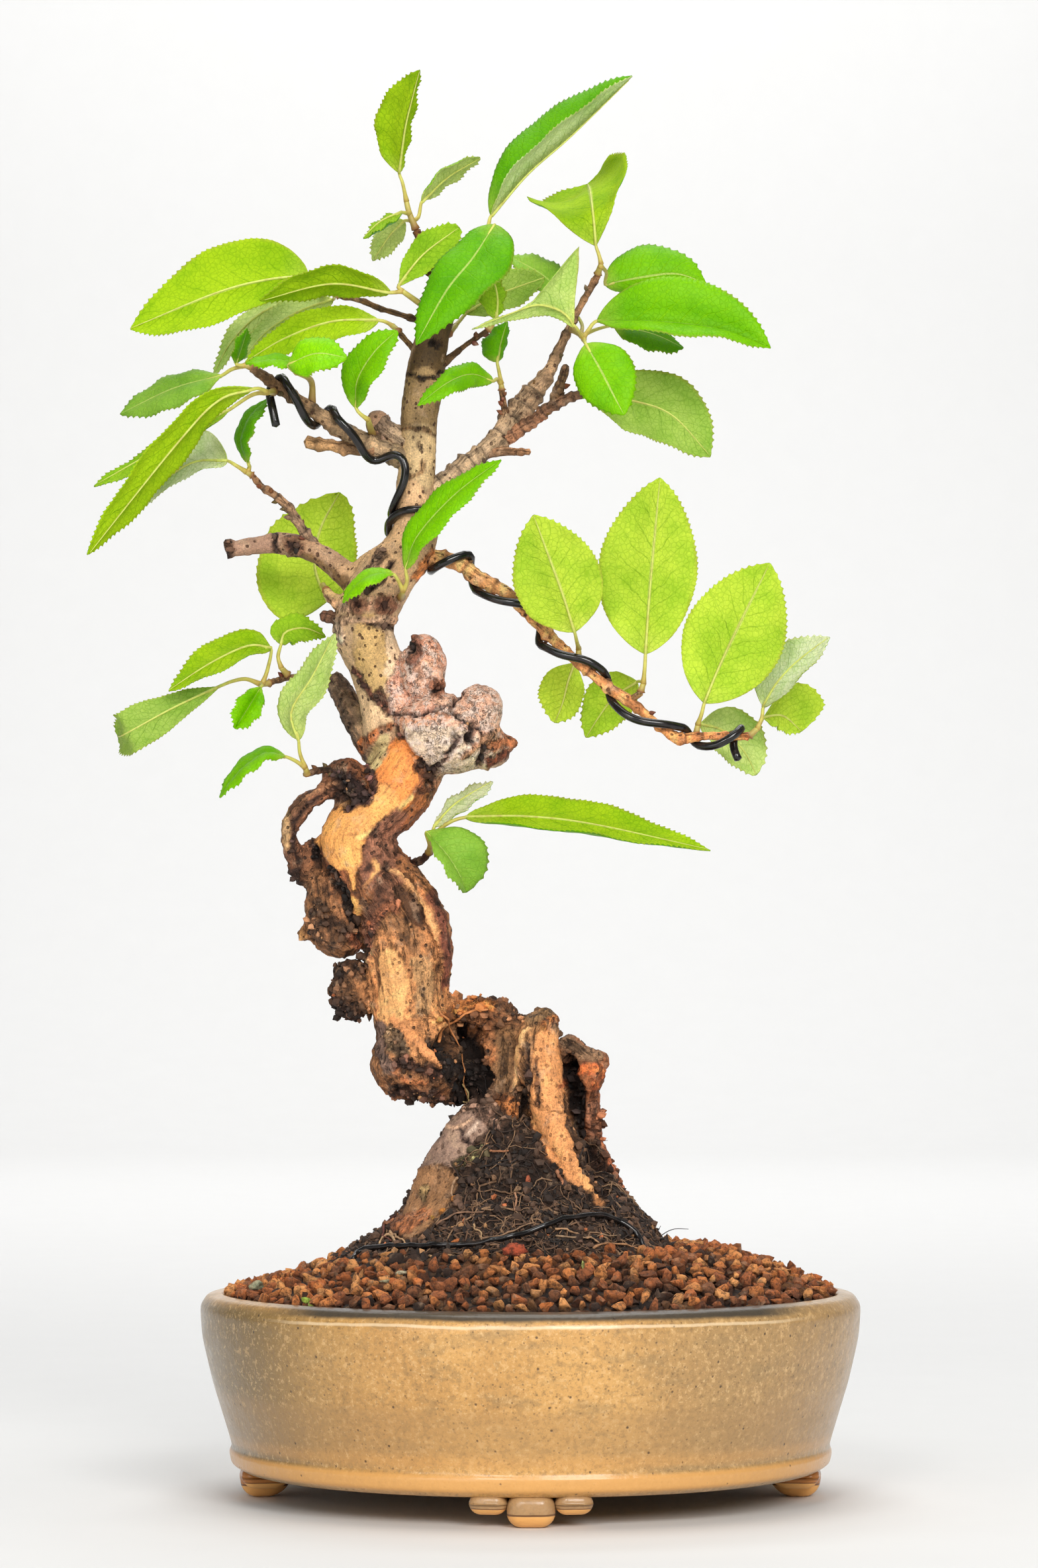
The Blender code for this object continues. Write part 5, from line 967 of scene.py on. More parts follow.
# %% Branch routes and colours
BRANCHES = {
    "upper_left": (
        (628, 702, 0, 36), (600, 688, -1, 36), (575, 680, -2, 34), (550, 668, -3, 31), (528, 655, -4, 29),
        (505, 642, -5, 25), (470, 618, -7, 21), (440, 598, -9, 19),
        (400, 570, -11, 16), (381, 557, -12, 13),
    ),
    "upper_left_stub": ((565, 680, -3, 24), (520, 676, -3, 19), (463, 668, -3, 19)),
    "knob_neck": ((612, 672, 0, 42), (572, 640, 1, 30)),
    "lower_left_twig": (
        (485, 838, 6, 18), (468, 815, 5, 16), (450, 790, 3, 14), (435, 765, 1, 13), (410, 745, -1, 12),
        (395, 735, -2, 10), (382, 719, -3, 9),
    ),
    "right": (
        (635, 745, 0, 32), (662, 735, 1, 32), (700, 705, 3, 29), (735, 678, 5, 28), (757, 658, 6, 36),
        (775, 635, 7, 38), (795, 608, 8, 36), (815, 582, 8, 28), (832, 556, 8, 20), (846, 525, 8, 15),
        (858, 500, 7, 14), (870, 475, 7, 11), (885, 448, 6, 11), (903, 416, 5, 10),
    ),
    "right_fork": (
        (760, 662, 6, 26), (782, 650, 5, 21), (805, 636, 4, 17), (830, 616, 2, 17), (860, 601, 0, 14),
        (880, 595, -1, 12),
    ),
    "right_spur": ((836, 606, 1, 14), (848, 576, 1, 13), (855, 552, 1, 9)),
    "right_stub": ((735, 684, 5, 20), (765, 682, 4, 13), (800, 683, 4, 10)),
    "middle_spur": ((770, 650, 6, 15), (762, 615, 5, 11), (758, 590, 4, 9)),
    "crown_twig": ((668, 550, 0, 15), (690, 532, -1, 9), (708, 518, -2, 8), (736, 500, -4, 8)),
    "first_left_twig": ((645, 550, 0, 13), (628, 531, 0, 10), (603, 503, -2, 8)),
    "second_left_twig": (
        (664, 492, 2, 14), (620, 480, 3, 10), (575, 466, 4, 9), (548, 455, 4, 9), (513, 447, 5, 8),
    ),
    "apex": ((672, 465, 1, 30), (658, 420, 3, 18), (641, 375, 4, 14), (629, 349, 4, 13)),
    "long_right": (
        (625, 842, 0, 34), (660, 843, 0, 26), (700, 855, -1, 22), (715, 868, -1, 25), (745, 885, -2, 21),
        (770, 900, -3, 20), (800, 930, -3, 18), (830, 960, -4, 17),
        (860, 990, -4, 17), (890, 1015, -5, 16),
        (920, 1040, -5, 15), (945, 1055, -5, 18), (970, 1075, -5, 14),
        (1000, 1100, -4, 14), (1025, 1115, -4, 18),
        (1060, 1112, -3, 13), (1100, 1112, -2, 13), (1130, 1113, -2, 12),
    ),
    "long_right_spur": ((950, 1060, -5, 12), (968, 1046, -6, 10)),
    "back_spur": ((540, 1078, 8, 14), (553, 1059, 8, 8)),
    "back_twig": (
        (508, 1036, 10, 16), (495, 1024, 10, 11), (463, 1025, 9, 10),
        (440, 1023, 8, 9), (420, 1028, 6, 9),
        (407, 1032, 5, 9),
    ),
    "old_scar": ((545, 938, 0, 34), (510, 935, 0, 20), (486, 929, 0, 14)),
    "knob_spur": ((530, 1168, -2, 18), (500, 1163, -3, 11), (480, 1165, -3, 10), (465, 1169, -4, 9)),
    "low_right_twig": ((585, 1296, 2, 18), (618, 1304, 1, 12), (638, 1299, 0, 11), (647, 1289, -1, 9)),
}
BRANCH_LOOKS = {
    "upper_left": ((186, 158, 122), (134, 96, 62)),
    "upper_left_stub": ((150, 112, 80), (196, 150, 100)),
    "knob_neck": ((176, 150, 120), (166, 136, 112)),
    "lower_left_twig": ((176, 146, 120), (160, 116, 78)),
    "right": ((206, 176, 140), (150, 108, 74)),
    "right_fork": ((196, 136, 98), (120, 88, 66)),
    "right_spur": ((130, 98, 66), (120, 88, 56)),
    "right_stub": ((160, 120, 88), (196, 140, 96)),
    "middle_spur": ((140, 100, 66), (150, 108, 70)),
    "crown_twig": ((120, 90, 56), (132, 96, 60)),
    "first_left_twig": ((130, 100, 60), (150, 112, 66)),
    "second_left_twig": ((116, 84, 48), (132, 96, 52)),
    "apex": ((110, 84, 42), (142, 86, 46)),
    "long_right": ((255, 184, 118), (252, 158, 92)),
    "long_right_spur": ((150, 96, 60), (176, 136, 76)),
    "back_spur": ((120, 92, 72), (110, 80, 60)),
    "back_twig": ((116, 88, 64), (132, 98, 62)),
    "old_scar": ((176, 140, 108), (128, 84, 62)),
    "knob_spur": ((84, 56, 38), (96, 64, 40)),
    "low_right_twig": ((72, 48, 36), (86, 50, 34)),
}
RING_STEP = 3.0
# Pixels from one leaf scar to the next, least and most; short shoots are ringed closely
SCAR_GAPS = {
    "right": (15, 40), "right_fork": (9, 16), "right_spur": (7, 12), "back_spur": (8, 14),
    "old_scar": (7, 12), "knob_spur": (8, 14), "lower_left_twig": (16, 30), "low_right_twig": (8, 14),
}
COMMON_SCAR_GAP = (26, 58)


def branch_tube(name, points, draw):
    """A branch with ringed leaf scars and uneven bark: vertices, faces, colours, fibre coordinates."""
    count = max(12, int(path_length(points) / RING_STEP))
    centres, radii = limb_path(points, count)
    scars = np.cumsum([draw.uniform(*SCAR_GAPS.get(name, COMMON_SCAR_GAP)) for _ in range(60)])
    length = np.linspace(0.0, path_length(points), count)
    swell, ringed = np.ones(count), np.zeros(count)
    for scar in scars:
        swell += draw.uniform(0.12, 0.34) * np.exp(-(((length - scar) / 4.5) ** 2))
        groove = np.exp(-(((length - scar - 5.0) / 2.2) ** 2))
        swell -= 0.1 * groove
        ringed = np.maximum(ringed, draw.uniform(0.4, 0.9) * groove)
    sides = 14 if radii.max() > 1.6 * MM else 10
    verts, faces = tube_rings(centres, radii * swell, sides)
    away = verts - per_vertex(centres, sides)
    lengths = per_vertex(length, sides) * PIXEL
    ringed = per_vertex(ringed, sides)[:, None]
    verts = verts + away * (0.24 * rough(verts, 0.5, 3, 17.0))[:, None]
    start, end = (colour(*tone) for tone in BRANCH_LOOKS[name])
    share = (lengths / (length[-1] * PIXEL))[:, None]
    spot_dark = np.clip(rough(verts, 0.35, 3, 23.0) * 1.8, -0.7, 0.7)[:, None]
    tones = (start * (1 - share) + end * share) * (1.0 + 0.6 * spot_dark) * (1.0 - 0.85 * ringed)
    places = np.column_stack([away[:, 0], away[:, 1] + away[:, 2], lengths])
    return verts, faces, np.clip(tones, 0.0, 1.0), places


wood = Build()
wood.add(skin, skin_faces, wood_tone, fibre, kind=wood_kind[:, 1:])
draw = random.Random(11)
for name, points in BRANCHES.items():
    wood.add(*branch_tube(name, points, draw), kind=(0.0, 0.3, 0.9))
print(wood.count, "vertices of wood")

# %% Buds and short spurs along the branches
BUDDED = ("right", "right_fork", "right_spur", "upper_left", "crown_twig", "apex", "lower_left_twig",
          "long_right", "middle_spur", "back_twig", "knob_spur", "back_spur", "low_right_twig")
BUD_GAP = 26
BARE_NODES = 0.45


def bud(place, way, size, tone):
    """A pointed scale-covered bud that leans out from the bark."""
    steps = np.linspace(0.0, 1.0, 6)
    path = place + way * (steps[:, None] * size * 2.4)
    radii = size * np.array((0.75, 0.95, 0.9, 0.7, 0.42, 0.12))
    verts, faces = tube_rings(path, radii, 7)
    wood.add(verts, faces, tone, verts - place)


for name in BUDDED:
    count = max(10, int(path_length(BRANCHES[name]) / BUD_GAP))
    centres, radii = limb_path(BRANCHES[name], count)
    ahead = np.gradient(centres, axis=0)
    for k in range(2, count - 1):
        if draw.random() < BARE_NODES:
            continue
        way = ahead[k] / np.linalg.norm(ahead[k])
        side = np.cross(way, (draw.uniform(-1, 1), draw.uniform(-1, 1), draw.uniform(-1, 1)))
        side /= np.linalg.norm(side)
        lean = side * 0.9 + way * 0.7
        size = draw.uniform(0.4, 0.75) * MM
        bud(centres[k] + side * radii[k] * 0.8, lean / np.linalg.norm(lean), size,
            colour(draw.choice((96, 112, 128)), draw.choice((62, 70, 80)), draw.choice((38, 44, 50))))
print(wood.count, "vertices with buds")

# %% The trunk piece, with the plain plug of the root ball inside the soil
PLUG = ((BALL_MIDDLE, 22.0, 29.0), (BALL_MIDDLE, 40.0, 33.5), (BALL_MIDDLE, 49.0, 35.8))
plug_verts, plug_faces = ring_stack(PLUG, BALL_SIDES, POT_AXIS)
wood.add(plug_verts, plug_faces, colour(70, 50, 36), plug_verts)
trunk = wood.object("gnarled_trunk", [bark])
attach(trunk, "root")
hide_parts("trunk")
print("trunk", len(trunk.data.polygons), "faces")

# %% [markdown]
# ## Leaves
#
# Chinese quince leaves are leathery ovals with a finely toothed edge, a pale midrib and veins that sink into
# the upper face. A flat card with a picture would be quick, but it has no thickness and its teeth would be
# painted. Each leaf here is a real blade: a grid between its rib and its two edges, arched, quilted between
# its veins, with two faces a third of a millimetre apart. Leaves that show their underside are paler.

# %% Leafy shoots, as in the packed part: first the stem's places, then the leaves
def leaf(petiole, rib, left, right, belly=0.44):
    """A leaf's stalk and midrib as places, how far its sides reach, sink and lead, and where it is widest."""
    return {"petiole": petiole, "rib": rib, "left": left, "right": right, "belly": belly}


SHOOTS = {
    "shoot_apex": (
        ((628, 346, 4), (618, 321, 4), (613, 300, 4)),
        leaf(((614, 304, 4), (608, 276, 3)),
             ((603, 262, 3), (609, 215, 0), (615, 180, -2), (634, 106, -6)),
             (46, 4, 8), (9, 6, 0)),
        leaf(((621, 334, 4), (632, 328, 5)), ((637, 305, 6), (675, 268, 9), (725, 238, 12)),
             (12, -6, 0), (12, 6, 0), 0.5),
        leaf(((619, 323, 4), (613, 322, 3)), ((607, 321, 2), (575, 336, -2), (549, 360, -5)),
             (7, -6, 0), (5, 6, 0)),
        leaf(((622, 334, 4), (617, 333, 7)), ((610, 334, 9), (588, 356, 13), (563, 394, 17)),
             (20, 3, 0), (21, -3, 0)),
    ),
    "shoot_crown": (
        ((686, 446, 1), (712, 405, -1), (734, 356, -2)),
        leaf(((733, 358, -2), (738, 340, -2)),
             ((742, 326, -1), (797, 262, 0), (862, 205, 1), (955, 115, 2)),
             (52, 5, 0), (-24, -7, 0)),
        leaf(((733, 358, -2), (744, 346, -4)),
             ((747, 340, -6), (715, 390, -9), (675, 440, -11), (629, 521, -12)),
             (54, -3, -38), (52, 4, -6), 0.46),
    ),
    "shoot_behind_crown": (
        ((650, 470, -1), (625, 452, -3), (608, 440, -4)),
        leaf(((608, 440, -4), (604, 436, -4)), ((602, 432, -4), (640, 385, -2), (694, 344, 0)),
             (26, 3, 0), (26, -2, 0), 0.6),
        leaf(((608, 440, -4), (600, 441, -4)), ((590, 442, -4), (500, 428, -5), (392, 454, -6)),
             (20, 5, 0), (26, -5, 0)),
    ),
    "shoot_right_top": (
        ((903, 414, 5), (908, 399, 4)),
        leaf(((908, 399, 4), (905, 386, 4)),
             ((900, 371, 4), (896, 322, 4), (892, 290, 12), (888, 278, 26)),
             (94, 0, 6), (62, 0, 42), 0.5),
        leaf(((907, 402, 4), (916, 412, 7)),
             ((914, 430, 9), (960, 421, 10), (1020, 414, 11), (1066, 428, 12)),
             (46, 5, -8), (26, 4, 0)),
    ),
    "shoot_right_mid": (
        ((864, 497, 5), (876, 505, 2), (882, 513, 0)),
        leaf(((882, 513, 0), (868, 492, -3)),
             ((851, 473, -4), (815, 463, -6), (775, 475, -9), (708, 500, -12)),
             (18, 4, 0), (84, 5, -62), 0.36),
        leaf(((882, 512, 0), (883, 516, -2)),
             ((885, 520, -4), (908, 560, -5), (926, 595, -6), (943, 627, -7)),
             (48, 0, 0), (44, 2, 0)),
        leaf(((881, 511, 0), (890, 497, 1)),
             ((902, 485, 1), (1000, 489, -1), (1090, 500, -2), (1164, 526, -3)),
             (72, -2, 0), (14, -8, 0)),
        leaf(((878, 508, 1), (900, 498, 5)), ((926, 492, 8), (985, 505, 10), (1032, 526, 11)),
             (12, 5, 0), (24, -3, 10)),
        leaf(((877, 506, 2), (879, 490, 8), (864, 466, 11)),
             ((850, 446, 12), (818, 416, 12), (768, 387, 13)),
             (20, -4, 0), (26, 5, -10)),
    ),
    "shoot_fork": (
        ((884, 595, -1), (892, 597, 0)),
        leaf(((892, 597, 0), (896, 599, 2)),
             ((900, 601, 3), (955, 606, 5), (1015, 628, 6), (1073, 690, 7)),
             (56, 3, 10), (47, -4, 0)),
    ),
    "shoot_middle_spur": (
        ((758, 589, 4), (757, 580, 4)),
        leaf(((757, 580, 4), (751, 573, 3)),
             ((744, 576, 0), (712, 566, -4), (678, 578, -8), (631, 613, -10)),
             (20, -2, 0), (18, 3, 0)),
        leaf(((757, 579, 4), (754, 562, 5)), ((751, 547, 5), (757, 518, 6), (766, 486, 8)),
             (27, 4, -10), (6, 4, 0)),
    ),
    "shoot_crown_twig": (
        ((737, 499, -4), (742, 493, -4)),
        leaf(((742, 493, -4), (746, 488, -4)), ((749, 482, -4), (750, 445, -5), (738, 403, -6)),
             (27, -5, 0), (13, 7, 0), 0.5),
    ),
    "shoot_crown_back": (
        ((678, 504, 1), (688, 492, 3.5)),
        leaf(((687, 493, 3.5), (696, 483, 5.5)), ((704, 474, 6.5), (752, 446, 7), (822, 420, 6)),
             (34, 2, 0), (26, -4, 0), 0.5),
    ),
    "shoot_wired_end": (
        ((381, 556, -12), (370, 552, -12)),
        leaf(((371, 552, -12), (362, 552, -12)), ((356, 549, -12), (365, 522, -13), (373, 496, -14)),
             (11, -3, 0), (10, 3, 0)),
        leaf(((371, 552, -12), (350, 558, -11)), ((334, 568, -10), (262, 588, -8), (182, 626, -5)),
             (26, -5, 0), (20, 5, -10), 0.5),
    ),
    "shoot_wired_top": (
        ((471, 614, -6), (470, 576, -8), (447, 562, -15)),
        leaf(((448, 563, -15), (439, 557, -18)), ((436, 551, -19), (478, 535, -21), (524, 541, -22)),
             (26, 3, 0), (30, -3, -14), 0.5),
        leaf(((448, 563, -15), (454, 557, -16)), ((456, 551, -15), (415, 546, -15), (371, 550, -15)),
             (8, -5, 0), (9, 5, 0)),
    ),
    "shoot_wired_low": (
        ((413, 592, -12), (404, 593, -15)),
        leaf(((404, 593, -15), (395, 588, -16)),
             ((385, 587, -17), (330, 604, -19), (268, 668, -21), (132, 838, -24)),
             (25, 7, 0), (27, -5, 0), 0.5),
        leaf(((404, 593, -15), (380, 597, -13)), ((345, 620, -12), (260, 668, -11), (142, 735, -10)),
             (12, -5, 0), (10, 4, 0), 0.5),
    ),
    "shoot_knob": (
        ((562, 655, -3), (556, 634, -9)),
        leaf(((556, 634, -9), (545, 626, -10)),
             ((538, 617, -10), (541, 575, -11), (566, 533, -12), (600, 500, -12)),
             (30, 3, 0), (24, -4, 0), 0.5),
    ),
    "shoot_first_twig": (
        ((602, 501, -2), (594, 493, -1)),
        leaf(((594, 493, -1), (584, 487, 0)),
             ((572, 484, 0), (500, 487, 1), (430, 512, 2), (370, 548, 3)),
             (28, -5, 0), (26, 2, 0)),
    ),
    "shoot_second_twig": (
        ((512, 447, 5), (503, 443, 5)),
        leaf(((503, 443, 5), (484, 428, 5)),
             ((466, 417, 4), (400, 424, 3), (325, 444, 1), (197, 497, -1)),
             (42, -5, 22), (68, 5, -22)),
        leaf(((503, 443, 5), (505, 448, 8)),
             ((503, 453, 10), (450, 472, 12), (403, 502, 13), (368, 542, 13)),
             (22, -3, 0), (24, 4, 0)),
        leaf(((503, 443, 5), (490, 444, 10)),
             ((470, 452, 15), (402, 470, 19), (352, 515, 19), (322, 568, 18)),
             (16, -3, 0), (18, 5, 0)),
    ),
    "shoot_lower_left": (
        ((381, 718, -3), (372, 713, -3)),
        leaf(((372, 713, -3), (356, 703, -4)),
             ((343, 696, -3), (290, 700, 0), (235, 738, 2), (186, 785, 3)),
             (14, -3, 0), (52, 4, -6), 0.36),
        leaf(((374, 713, -3), (377, 706, -3)),
             ((375, 700, -4), (366, 665, -4), (381, 628, -4), (406, 604, -4)),
             (9, 6, 0), (12, -6, 0), 0.5),
    ),
    "shoot_bud_collar": (
        ((493, 892, 2), (488, 884, 5)),
        leaf(((488, 884, 5), (490, 896, 9)),
             ((494, 908, 12), (476, 856, 13), (484, 800, 14), (513, 744, 15)),
             (84, 2, -44), (64, 2, -10), 0.42),
    ),
    "shoot_back_twig": (
        ((407, 1032, 5), (394, 1034, 4)),
        leaf(((396, 1034, 4), (404, 1012, 4)),
             ((410, 980, 3), (375, 977, 1), (318, 1003, -2), (255, 1044, -5)),
             (16, -5, 0), (30, 6, 0), 0.42),
        leaf(((394, 1034, 4), (372, 1026, 3), (352, 1029, 2)),
             ((334, 1036, 1), (262, 1070, -3), (192, 1108, -6), (178, 1113, 2)),
             (31, -2, 0), (33, 3, 0), 0.66),
        leaf(((394, 1034, 4), (396, 1036, 1)), ((394, 1038, -1), (376, 1068, -3), (355, 1101, -5)),
             (20, -4, 0), (20, -4, 0), 0.5),
    ),
    "shoot_back_twig_top": (
        ((434, 1019, 6), (424, 1008, 5)),
        leaf(((425, 1009, 5), (420, 992, 5)),
             ((425, 973, 6), (432, 956, 7), (460, 950, 8), (492, 962, 9)),
             (24, 4, -8), (20, -4, 0), 0.4),
    ),
    "shoot_knob_spur": (
        ((464, 1169, -4), (461, 1160, -5)),
        leaf(((461, 1160, -5), (453, 1138, -6)),
             ((451, 1118, -7), (441, 1075, -8), (473, 1022, -9), (506, 957, -9)),
             (26, 5, 0), (27, -4, 0)),
        leaf(((461, 1160, -5), (447, 1150, -6)),
             ((431, 1143, -7), (400, 1142, -8), (364, 1168, -9), (332, 1205, -10)),
             (9, -7, 0), (13, 7, 0)),
    ),
    "shoot_trunk_front": (
        ((606, 902, -5), (609, 893, -10)),
        leaf(((609, 893, -10), (615, 878, -11)),
             ((613, 860, -12), (632, 810, -13), (688, 748, -14), (757, 695, -15)),
             (25, 4, 0), (21, -5, 0)),
        leaf(((609, 893, -10), (602, 878, -11)),
             ((594, 867, -12), (568, 869, -12), (540, 885, -12), (518, 911, -12)),
             (11, -6, 0), (10, 6, 0)),
    ),
    "shoot_long_first": (
        ((874, 992, -4), (874, 980, -4)),
        leaf(((874, 980, -4), (871, 968, -7)),
             ((868, 955, -9), (851, 900, -11), (829, 840, -12), (806, 778, -13)),
             (66, 3, 0), (66, -1, 0)),
        leaf(((874, 981, -4), (873, 983, 0)),
             ((868, 1002, 2), (858, 1030, 2), (850, 1062, 3), (838, 1092, 4)),
             (28, 2, 0), (40, 2, 0), 0.5),
    ),
    "shoot_long_second": (
        ((968, 1045, -6), (972, 1032, -6)),
        leaf(((972, 1032, -6), (974, 1008, -7)),
             ((975, 988, -7), (981, 900, -8), (990, 800, -9), (997, 722, -10)),
             (80, 3, 0), (68, 3, 0), 0.46),
        leaf(((972, 1033, -6), (970, 1030, -1)),
             ((962, 1030, 2), (928, 1052, 4.5), (903, 1085, 6), (885, 1114, 6)),
             (36, 2, 0), (38, -2, 0)),
    ),
    "shoot_long_third": (
        ((1052, 1108, -3), (1054, 1095, -3)),
        leaf(((1054, 1095, -3), (1060, 1078, -4)),
             ((1064, 1062, -4), (1090, 1000, -5), (1126, 925, -7), (1163, 851, -8)),
             (74, 3, 0), (76, -2, 0), 0.46),
        leaf(((1054, 1097, -3), (1056, 1096, 0)),
             ((1058, 1094, 2), (1092, 1104, 4), (1124, 1136, 5), (1142, 1171, 5)),
             (44, 3, 0), (30, -2, 0), 0.5),
    ),
    "shoot_long_end": (
        ((1132, 1112, -2), (1144, 1101, -2)),
        leaf(((1144, 1101, -2), (1151, 1084, -2)),
             ((1153, 1068, -2), (1176, 1030, -4), (1207, 998, -5), (1253, 963, -7)),
             (38, 5, 0), (20, -6, 0)),
        leaf(((1144, 1101, -2), (1149, 1092, 1)), ((1154, 1084, 2), (1182, 1082, 3), (1210, 1105, 4)),
             (56, 3, 26), (20, -3, 0), 0.5),
    ),
    "shoot_low_right": (
        ((648, 1288, -1), (651, 1274, -3)),
        leaf(((651, 1275, -3), (653, 1262, -3)), ((656, 1249, -3), (690, 1214, -1), (744, 1181, 1)),
             (12, 5, 0), (14, -5, 0), 0.5),
        leaf(((650, 1277, -3), (646, 1267, -5)),
             ((643, 1257, -6), (670, 1288, -7), (690, 1318, -7), (704, 1348, -6)),
             (58, 2, 0), (13, -6, 0), 0.55),
        leaf(((651, 1274, -3), (660, 1257, -3), (680, 1242, -4)),
             ((703, 1235, -4), (800, 1235, -6), (900, 1247, -8), (1073, 1285, -11)),
             (35, 7, 0), (13, -8, 0), 0.4),
    ),
}
# How much further than first guessed the shoots reach to the front and the back
LEAF_REACH = 1.7
print(sum(len(shoot) - 1 for shoot in SHOOTS.values()), "leaves on", len(SHOOTS), "shoots")

# %% Colours of a leaf: the side that faces the viewer (1 the upper, -1 the under side), its tone, the other's
LEAF_TONES = {
    # Painted light and painted shade: the upper-face tones sunlit, bright, deep and dark are one green,
    # lightest in sunlit and darkest in dark
    "deep": (1, (100, 172, 0), (200, 218, 150)),
    "bright": (1, (122, 190, 0), (188, 210, 112)),
    "sunlit": (1, (138, 208, 0), (190, 212, 110)),
    "soft": (1, (136, 180, 60), (194, 212, 118)),
    "milky": (1, (156, 198, 74), (200, 216, 128)),
    "dark": (1, (92, 156, 0), (180, 204, 110)),
    "yellow_back": (-1, (162, 196, 26), (114, 180, 0)),
    "green_back": (-1, (150, 190, 40), (98, 168, 0)),
    "light_back": (-1, (190, 216, 66), (126, 188, 6)),
    "pale_back": (-1, (200, 218, 128), (126, 178, 26)),
    "sage_back": (-1, (160, 188, 84), (112, 168, 16)),
    "cream_back": (-1, (218, 226, 180), (136, 176, 56)),
}
LEAF_LOOKS = {
    "shoot_apex": "yellow_back pale_back green_back pale_back",
    "shoot_crown": "deep deep",
    "shoot_behind_crown": "green_back yellow_back",
    "shoot_right_top": "yellow_back bright",
    "shoot_right_mid": "pale_back bright bright dark milky",
    "shoot_fork": "sage_back",
    "shoot_middle_spur": "bright deep",
    "shoot_crown_twig": "green_back",
    "shoot_crown_back": "sage_back",
    "shoot_wired_end": "dark soft",
    "shoot_wired_top": "sunlit bright",
    "shoot_wired_low": "yellow_back green_back",
    "shoot_knob": "bright",
    "shoot_first_twig": "yellow_back",
    "shoot_second_twig": "yellow_back pale_back pale_back",
    "shoot_lower_left": "cream_back dark",
    "shoot_bud_collar": "light_back",
    "shoot_back_twig": "yellow_back sage_back bright",
    "shoot_back_twig_top": "green_back",
    "shoot_knob_spur": "pale_back bright",
    "shoot_trunk_front": "bright sunlit",
    "shoot_long_first": "light_back light_back",
    "shoot_long_second": "light_back light_back",
    "shoot_long_third": "light_back pale_back",
    "shoot_long_end": "cream_back light_back",
    "shoot_low_right": "cream_back soft yellow_back",
}
for name, looks in LEAF_LOOKS.items():
    if len(looks.split()) != len(SHOOTS[name]) - 1:
        print("count differs at", name)

# %% [markdown]
# ## Leaf finish
#
# Veins are drawn from two numbers that every point of a blade carries: how far it is from the midrib and how
# far along the leaf. Side veins leave the midrib at a slant and reach the edge; between them runs a fine net.
# The upper face is satin with sunken veins, the under side is more matt with raised ones.

# %% Leaf materials
def leaf_finish(name, upper):
    """A leaf face: veins and net from the blade's own coordinates, tone from its tint."""
    face = Finish(name, Specular_IOR_Level=0.12 if upper else 0.05, Subsurface_Weight=0.25,
                  Subsurface_Scale=MM, Subsurface_Radius=(0.9, 1.0, 0.15))
    across, along, seed = face.parts(face.painted("place"))
    away = face.reckon("ABSOLUTE", across)
    hand = face.times(face.reckon("SIGN", across), 0.22)
    body = face.body_place()
    sway = face.times(face.mottle(body, 160.0, 2.0), 0.9)
    run = face.plus(face.times(along, 9.0), hand)
    run = face.minus(run, face.times(face.reckon("POWER", away, 0.85), 2.1))
    run = face.plus(run, face.plus(sway, seed))
    off = face.reckon("ABSOLUTE", face.minus(face.reckon("FRACT", run), 0.5))
    fade = face.minus(1.0, face.times(away, 0.8))
    side_vein = face.times(face.step_up(off, 0.07, 0.015), fade)
    midrib = face.step_up(away, 0.05, 0.02)
    net = face.cells(body, 900.0, "DISTANCE_TO_EDGE")
    net_line = face.step_up(net, 0.1, 0.02)
    clouds = face.mottle(body, 90.0, 4.0)
    grain = face.mottle(body, 1800.0, 3.0)
    tone = face.painted()
    darker = face.dyed(tone, (0.72, 0.84, 0.6))
    tone = face.blend(face.step_up(clouds, 0.4, 0.68), tone, darker)
    vein_tone = face.dyed(tone, (1.45, 1.18, 1.6) if upper else (0.62, 0.74, 0.55))
    tone = face.blend(face.times(side_vein, 0.5 if upper else 0.6), tone, vein_tone)
    tone = face.blend(face.times(midrib, 0.55), tone, (0.62, 0.7, 0.2))
    deep = face.dyed(tone, (0.7, 0.8, 0.6))
    tone = face.blend(face.times(net_line, 0.35 if upper else 0.6), tone, deep)
    light = face.dyed(tone, (1.22, 1.14, 1.3))
    tone = face.blend(face.step_up(grain, 0.52, 0.72), tone, light)
    edge = face.times(face.step_up(away, 0.93, 1.0), face.step_up(clouds, 0.4, 0.6))
    tone = face.blend(face.times(edge, 0.4), tone, (0.36, 0.26, 0.06))
    face.feed("Base Color", tone)
    low, high = (0.38, 0.56) if upper else (0.58, 0.76)
    face.feed("Roughness", face.spread(grain, low, high))
    way = -0.8 if upper else 0.8
    height = face.times(face.reckon("MAXIMUM", side_vein, midrib), way)
    height = face.plus(height, face.times(net_line, 0.5 * way))
    height = face.plus(height, face.times(grain, 0.25))
    face.emboss(height, 0.0002, 0.7)
    return face


leaf_upper = leaf_finish("leaf_upper_face", True)
leaf_under = leaf_finish("leaf_under_face", False)

stem_green = Finish("leaf_stalk", Roughness=0.5)
fuzz = stem_green.mottle(stem_green.body_place(), 700.0, 4.0)
stalk_tone = stem_green.painted()
fuzzy_tone = stem_green.blend(0.35, stalk_tone, (0.3, 0.12, 0.03))
stalk_tone = stem_green.blend(stem_green.step_up(fuzz, 0.4, 0.7), stalk_tone, fuzzy_tone)
stem_green.feed("Base Color", stalk_tone)
stem_green.emboss(fuzz, 0.0002, 0.5)
print("leaf finishes of", len(leaf_upper.tree.nodes), "and", len(leaf_under.tree.nodes), "nodes")


# %% The outline of a blade
TOOTH_SPACING = 8.0
TOOTH_HEIGHT = 2.7
MOST_TEETH, LEAST_TEETH = 46, 14
# The rows of points from the midrib to the edge, as shares of the way; only the last one has teeth
OUTWARD = (0.0, 0.3, 0.6, 0.88, 1.0)
ACROSS = len(OUTWARD) - 1
BLADE_HALF_THICK = 0.16 * MM
SLIMNESS = 1.55


